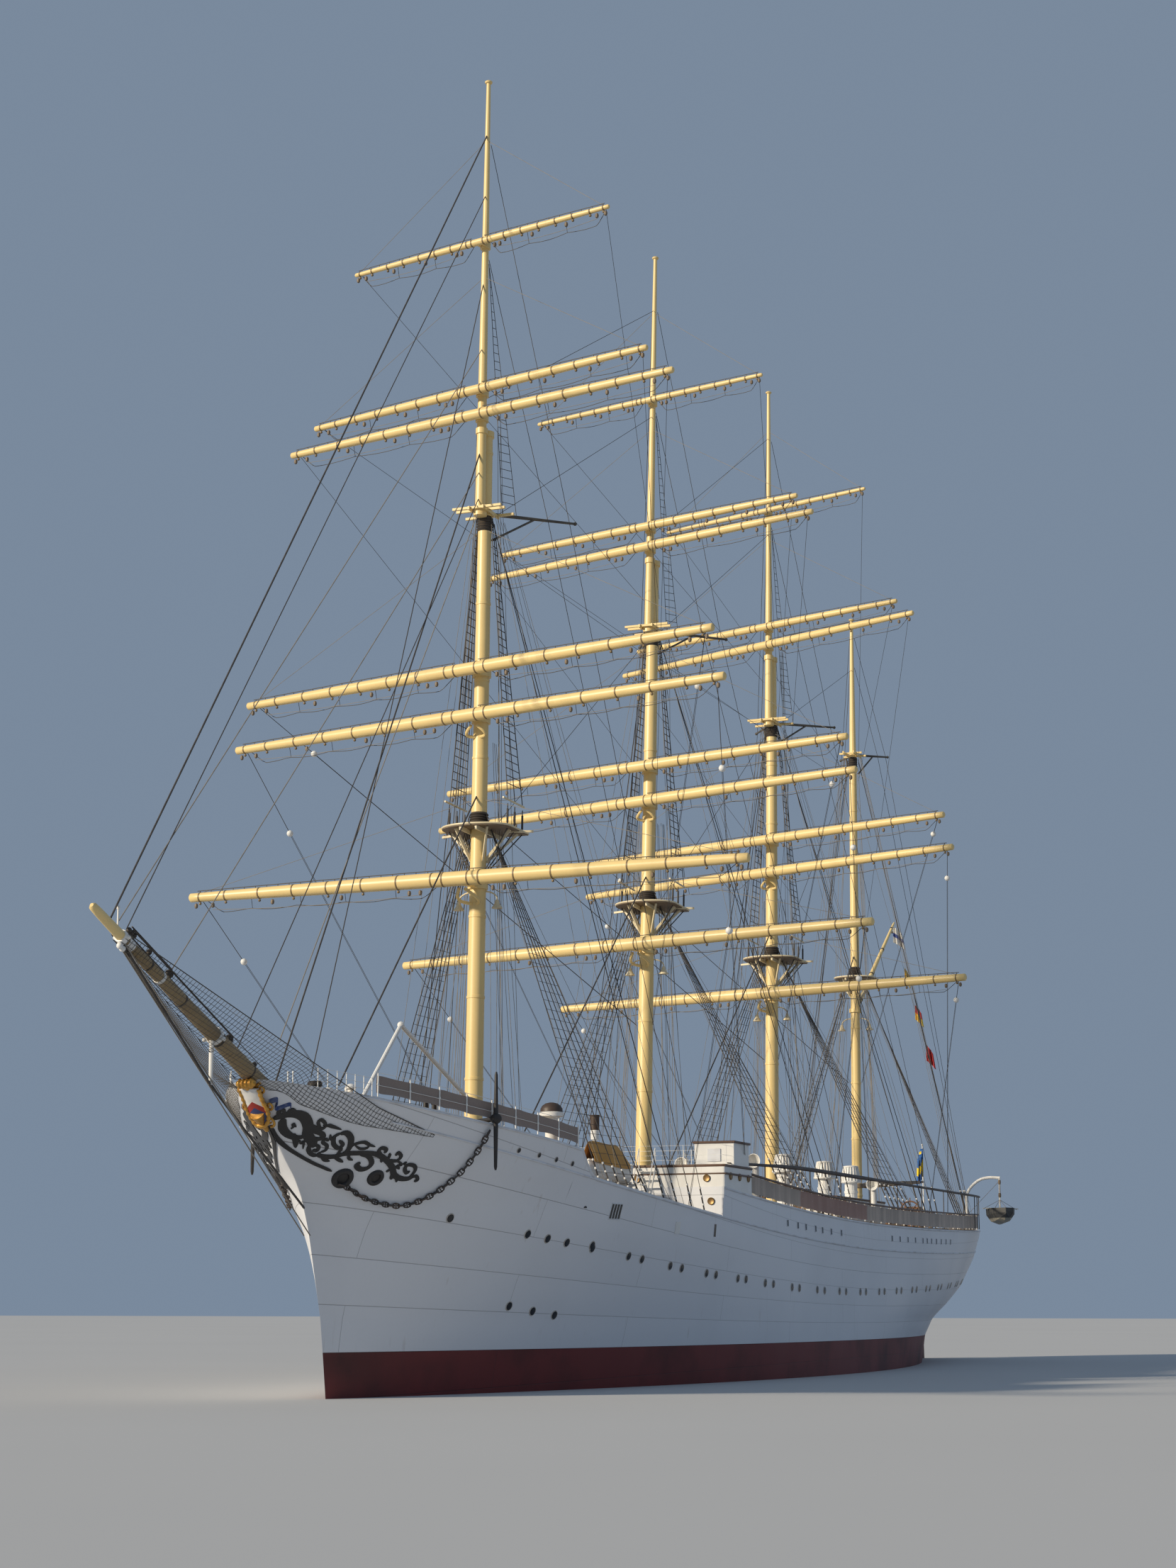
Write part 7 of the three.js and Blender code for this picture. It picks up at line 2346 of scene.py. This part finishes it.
def addPinRails():
    wood, pinParts, pale, dark, posts = [], [], [], [], []
    for mast in mastNames:
        first, _, _, last = feetTable[mast]
        lines = []
        for side in (1, -1):
            x = linspace(first - 0.02, last + 0.05, 14)
            lines.append((sideFoot(x, side, pins["rise"], pins["inboard"]), (0, -side, 0)))
            knees = sideFoot(x[1::4], side, 0, pins["inboard"])
            posts.append(wires(knees, knees + [0, 0, pins["rise"]], 0.0032, 6))
        z = float(deckTop(mastRow(mast)["x"]))
        foot = onMast(mast, 0, 0, z) * [1, 1, 0] + [0, 0, z + 0.086]
        for side in (1, -1):
            ends = foot + array([[-0.085, side * 0.088, 0], [0.085, side * 0.088, 0]])
            lines.append((linspace(*ends, 6), (0, side, 0)))
            posts.append(wires(ends - [0, 0, 0.087], ends + [0, 0, 0.012], 0.0062, 10))
        for along in (-0.085, 0.085):
            ends = foot + array([[along, -0.088, 0], [along, 0.088, 0]])
            lines.append((linspace(*ends, 6), (sign(along), 0, 0)))
        for line, out in lines:
            rail, pin, coils = pinRail(line, out)
            wood.append(rail)
            pinParts.append(pin)
            pale.append(coils[0])
            dark.append(coils[1])
    addPiece("pinRails", wood, "varnished", smooth=60)
    addPiece("belayingPins", pinParts, "varnished", smooth=60)
    addPiece("ropeCoils_pale", pale, "wirePale", smooth=60)
    addPiece("ropeCoils_dark", dark, "blockWood", slotName="stay_wire", smooth=60)
    addPiece("pinRailPosts", posts, "fittingWhite", smooth=60)


addPinRails()

hatches = dict(rows=((2.470, 2.680, 0.150), (0.300, 0.620, 0.190), (-0.560, -0.260, 0.190)), coaming=0.046,
               boards=7)


def hatchParts():
    # a coaming of four walls, boards laid across it with narrow gaps, and three battens over them
    walls, boards, battens = [], [], []
    for low, high, half in hatches["rows"]:
        z = float(deckTop((low + high) / 2)) - 0.004
        top = z + hatches["coaming"]
        for side in (1, -1):
            walls.append(blocksAt((low, side * half - 0.005, z), (high, side * half + 0.005, top)))
        for x in (low, high):
            walls.append(blocksAt((x - 0.005, -half - 0.005, z), (x + 0.005, half + 0.005, top - 0.0004)))
        edge = linspace(-half, half, hatches["boards"] + 1)
        boards.append(blocksAt(xyz(low + 0.004, edge[:-1] + 0.0012, top - 0.002),
                               xyz(high - 0.004, edge[1:] - 0.0012, top + 0.006)))
        for share in (0.2, 0.5, 0.8):
            x = low + (high - low) * share
            battens.append(bar((x, -half + 0.004, top + 0.0075), (x, half - 0.004, top + 0.0075), 0.007,
                               0.003))
    return walls, boards, battens


walls, boards, battens = hatchParts()
rounded(addPiece("hatchCoamings", walls, "fittingWhite"), 0.0012)
rounded(addPiece("hatchBoards", boards, "deckTeak"), 0.0012)
addPiece("hatchBattens", battens, "ironBlack")

skylight = dict(low=-3.340, high=-3.100, half=0.075, wall=0.040, ridge=0.034, panes=4)


def skylightParts():
    # two sloping rows of panes between a ridge bar and low walls, with a glazing bar at each edge
    low, high, half = skylight["low"], skylight["high"], skylight["half"]
    z = float(deckTop(low)) - 0.004
    eaves, ridge = z + skylight["wall"], z + skylight["wall"] + skylight["ridge"]
    frameParts = [blocksAt((low, -half, z), (high, half, eaves)),
                  bar((low, 0, ridge), (high, 0, ridge), 0.010, 0.008)]
    edges = linspace(low + 0.004, high - 0.004, skylight["panes"] + 1)
    panes = []
    for side in (1, -1):
        feet, tops = xyz(edges, side * (half - 0.004), eaves + 0.002), xyz(edges, 0, ridge)
        frameParts += [bar(feet, tops, 0.008, 0.007), bar(feet[0], feet[-1], 0.008, 0.008)]
        slope = stack([linspace(feet[0], feet[-1], 9), linspace(tops[0], tops[-1], 9)], 1)
        panes.append(gridSheet(slope, 0.002))
    for x in (low + 0.002, high - 0.002):
        gable = array([[[x, y, eaves - 0.002], [x, 0, ridge]] for y in (-half + 0.006, 0, half - 0.006)])
        frameParts.append(gridSheet(gable, 0.004))
    return frameParts, panes


frameParts, panes = skylightParts()
addPiece("skylightFrame", frameParts, "varnished")
addPiece("skylightPanes", panes, "portGlass")

davit = dict(head=(-3.160, 0.745, 1.062), boat=(-3.160, 0.745, 0.892))


def davitParts():
    # upper and lower blocks, three falls between them, a hook, and four slings to the boat's corners
    head, boat = array(davit["head"]), array(davit["boat"])
    shell = array([[0.002, -0.016], [0.0075, -0.011], [0.0085, 0.0], [0.0075, 0.011], [0.002, 0.016]])
    blocks = [turned(shell, [head - [0, 0, 0.018], boat + [0, 0, 0.075]], sides=12)]
    offsets = array([[-0.004, 0, 0], [0.004, 0, 0], [0, 0.004, 0]])
    ropes = [wires(head + offsets - [0, 0, 0.02], boat + offsets + [0, 0, 0.08], 0.0016, 6),
             wires(boat + [0, 0, 0.062], boat + [0, 0, 0.045], 0.0026, 6)]
    corners = boat * [1, 1, 0] + [(x, y, 0.884) for x in (-0.13, 0.13) for y in (-0.07, 0.07)]
    ropes.append(wires(boat + [0, 0, 0.048], corners, 0.0011, 5))
    ropes.append(wires(head + [0.003, 0, -0.012], (-3.160, 0.552, 0.86), 0.0011, 5))
    fit = [bar((-3.26, 0.66, 0.889), (-3.26, 0.83, 0.889), 0.018, 0.004),
           bar((-3.08, 0.66, 0.889), (-3.08, 0.83, 0.889), 0.018, 0.004),
           wires((-3.335, 0.70, 0.872), (-3.335, 0.70, 0.985), 0.0022, 6)]
    return blocks, ropes, fit


blocks, ropes, fit = davitParts()
addPiece("davitBlocks", blocks, "blockWood")
addPiece("davitFalls", ropes, "blockWood", slotName="stay_wire", smooth=60)
addPiece("dinghyThwarts", fit, "boatPale")

flagPole = dict(foot=(-4.235, 0.0), high=1.335, radius=0.0042)
flags = dict(  # head of the hoist, hoist, fly, folds, droop, share of the fly that shows, its way and finish
    ensign=((-4.239, 0.0, 1.318), 0.165, 0.250, 4.0, 0.080, 0.48, (1.0, 0.0), "flagBlueYellow"),
    signalWhite=((-3.290, 0.089, 2.625), 0.100, 0.140, 2.0, 0.050, 0.50, (-0.31, 0.95), "flagWhite"),
    signalYellow=((-3.461, 0.112, 2.386), 0.085, 0.110, 2.0, 0.045, 0.30, (-0.31, 0.95), "flagYellow"),
    signalStriped=((-3.618, 0.132, 2.168), 0.090, 0.120, 2.0, 0.050, 0.40, (-0.31, 0.95), "flagRedYellow"),
    signalRed=((-3.784, 0.154, 1.934), 0.100, 0.140, 2.0, 0.055, 0.38, (-0.31, 0.95), "flagRed"))


def flagCloth(head, hoist, fly, folds, droop, share, way):
    # hung from its hoist: folds go to and fro as sin(2 pi folds u), and the fly droops as u ** 1.3
    u = linspace(0, 1, 97)
    forward = share * fly
    swing = sqrt(max(fly ** 2 - forward ** 2, 0)) / (4 * folds) * 0.93
    v = linspace(0, 1, 15)[None]
    wave = sin(2 * pi * folds * u)[:, None] * (0.92 + 0.16 * v)
    out = 0.003 + forward * u[:, None] * (0.8 + 0.3 * v) + 0.25 * swing * wave
    across = swing * wave * minimum(u[:, None] * 6, 1)
    z = head[2] - hoist * v - droop * u[:, None] ** 1.3
    return xyz(head[0] + out * way[0] - across * way[1], head[1] + out * way[1] + across * way[0], z)


halyard = [wires((-2.768, 0.020, 3.352), (-4.500, 0.250, 0.905), 0.0009, 4)]
staff = [sweeps(xyz(full(9, flagPole["foot"][0]), np.zeros(9),
                    linspace(deckTop(-4.235), flagPole["high"], 9)),
                flagPole["radius"] * linspace(1, 0.7, 9), 10),
         balls((flagPole["foot"][0], 0, flagPole["high"] + 0.004), 0.0062)]
pole = addPiece("flagstaff", staff, "fittingWhite", smooth=60)
line = addPiece("signalHalyard", halyard, "wirePale")
for name, (head, hoist, fly, folds, droop, share, way, finish) in flags.items():
    points = flagCloth(head, hoist, fly, folds, droop, share, way)
    cloth = addPiece(name, [gridSheet(points, 0.0007)], finish, smooth=70,
                     uv=clothMap(points) / [fly, hoist])
    width, length, area = clothSizes(points)
print("deck fitted out")

# Every node that is still shown gets its worn finish

shownFinishes = dict(house_white="fittingWhite", fitting_white="fittingWhite", hull_white="hullWhite",
                     bottom_red="bottomRed", spar_buff="sparBuff", deck_teak="deckTeak",
                     varnished_wood="varnished", rail_canvas="canvasBrown", iron_black="ironBlack",
                     crest_gilt="gilt", stay_wire="wireDark", boat_dark="dinghyTwoTone")
for node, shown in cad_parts.items():
    for place in shown.material_slots:
        slotName = place.material.name.split(".")[0] if place.material else ""
        if slotName in shownFinishes:
            place.material = finishes[shownFinishes[slotName]]

# Stage: a pale floor at the water's level, a soft sky and a broad warm sun from the left of the view

stage = dict(floorHalf=60.0, floorTone=(0.56, 0.57, 0.58), sky=(0.46, 0.60, 0.80), skyStrength=0.42,
             sunColour=(1.0, 0.86, 0.66), sunStrength=3.95, sunWay=(0.74, -0.60, 0.36), sunAngle=4.0)
floorCorners = array([[-1, -1, 0], [1, -1, 0], [1, 1, 0], [-1, 1, 0]]) * stage["floorHalf"]
floorFinish = bpy.data.materials.new("floor")
floorFinish.use_nodes = True
floorTree = floorFinish.node_tree
floorShade = mixColour(floorTree, noise(floorTree, objectPoint(floorTree), 0.35, 2.0),
                       (*stage["floorTone"], 1), (*[tone * 0.94 for tone in stage["floorTone"]], 1))
floorTree.links.new(floorShade, floorTree.nodes["Principled BSDF"].inputs["Base Color"])
floorTree.nodes["Principled BSDF"].inputs["Roughness"].default_value = 1.0
floorTree.nodes["Principled BSDF"].inputs["Specular IOR Level"].default_value = 0.0
finishes["floor"] = floorFinish
floor = addPiece("floor", [(floorCorners, array([[0, 1, 2, 3]]))], "floor", body=None)
sky = bpy.data.worlds.new("sky")
sky.use_nodes = True
sky.node_tree.nodes["Background"].inputs["Color"].default_value = (*stage["sky"], 1)
sky.node_tree.nodes["Background"].inputs["Strength"].default_value = stage["skyStrength"]
bpy.context.scene.world = sky
sunData = bpy.data.lights.new("sun", "SUN")
sunData.energy = stage["sunStrength"]
sunData.color = stage["sunColour"]
sunData.angle = radians(stage["sunAngle"])
sun = bpy.data.objects.new("sun", sunData)
sun.rotation_euler = Vector(stage["sunWay"]).to_track_quat("Z", "Y").to_euler()
bpy.context.scene.collection.objects.link(sun)
bpy.context.scene.view_settings.view_transform = "Standard"
print("stage set")
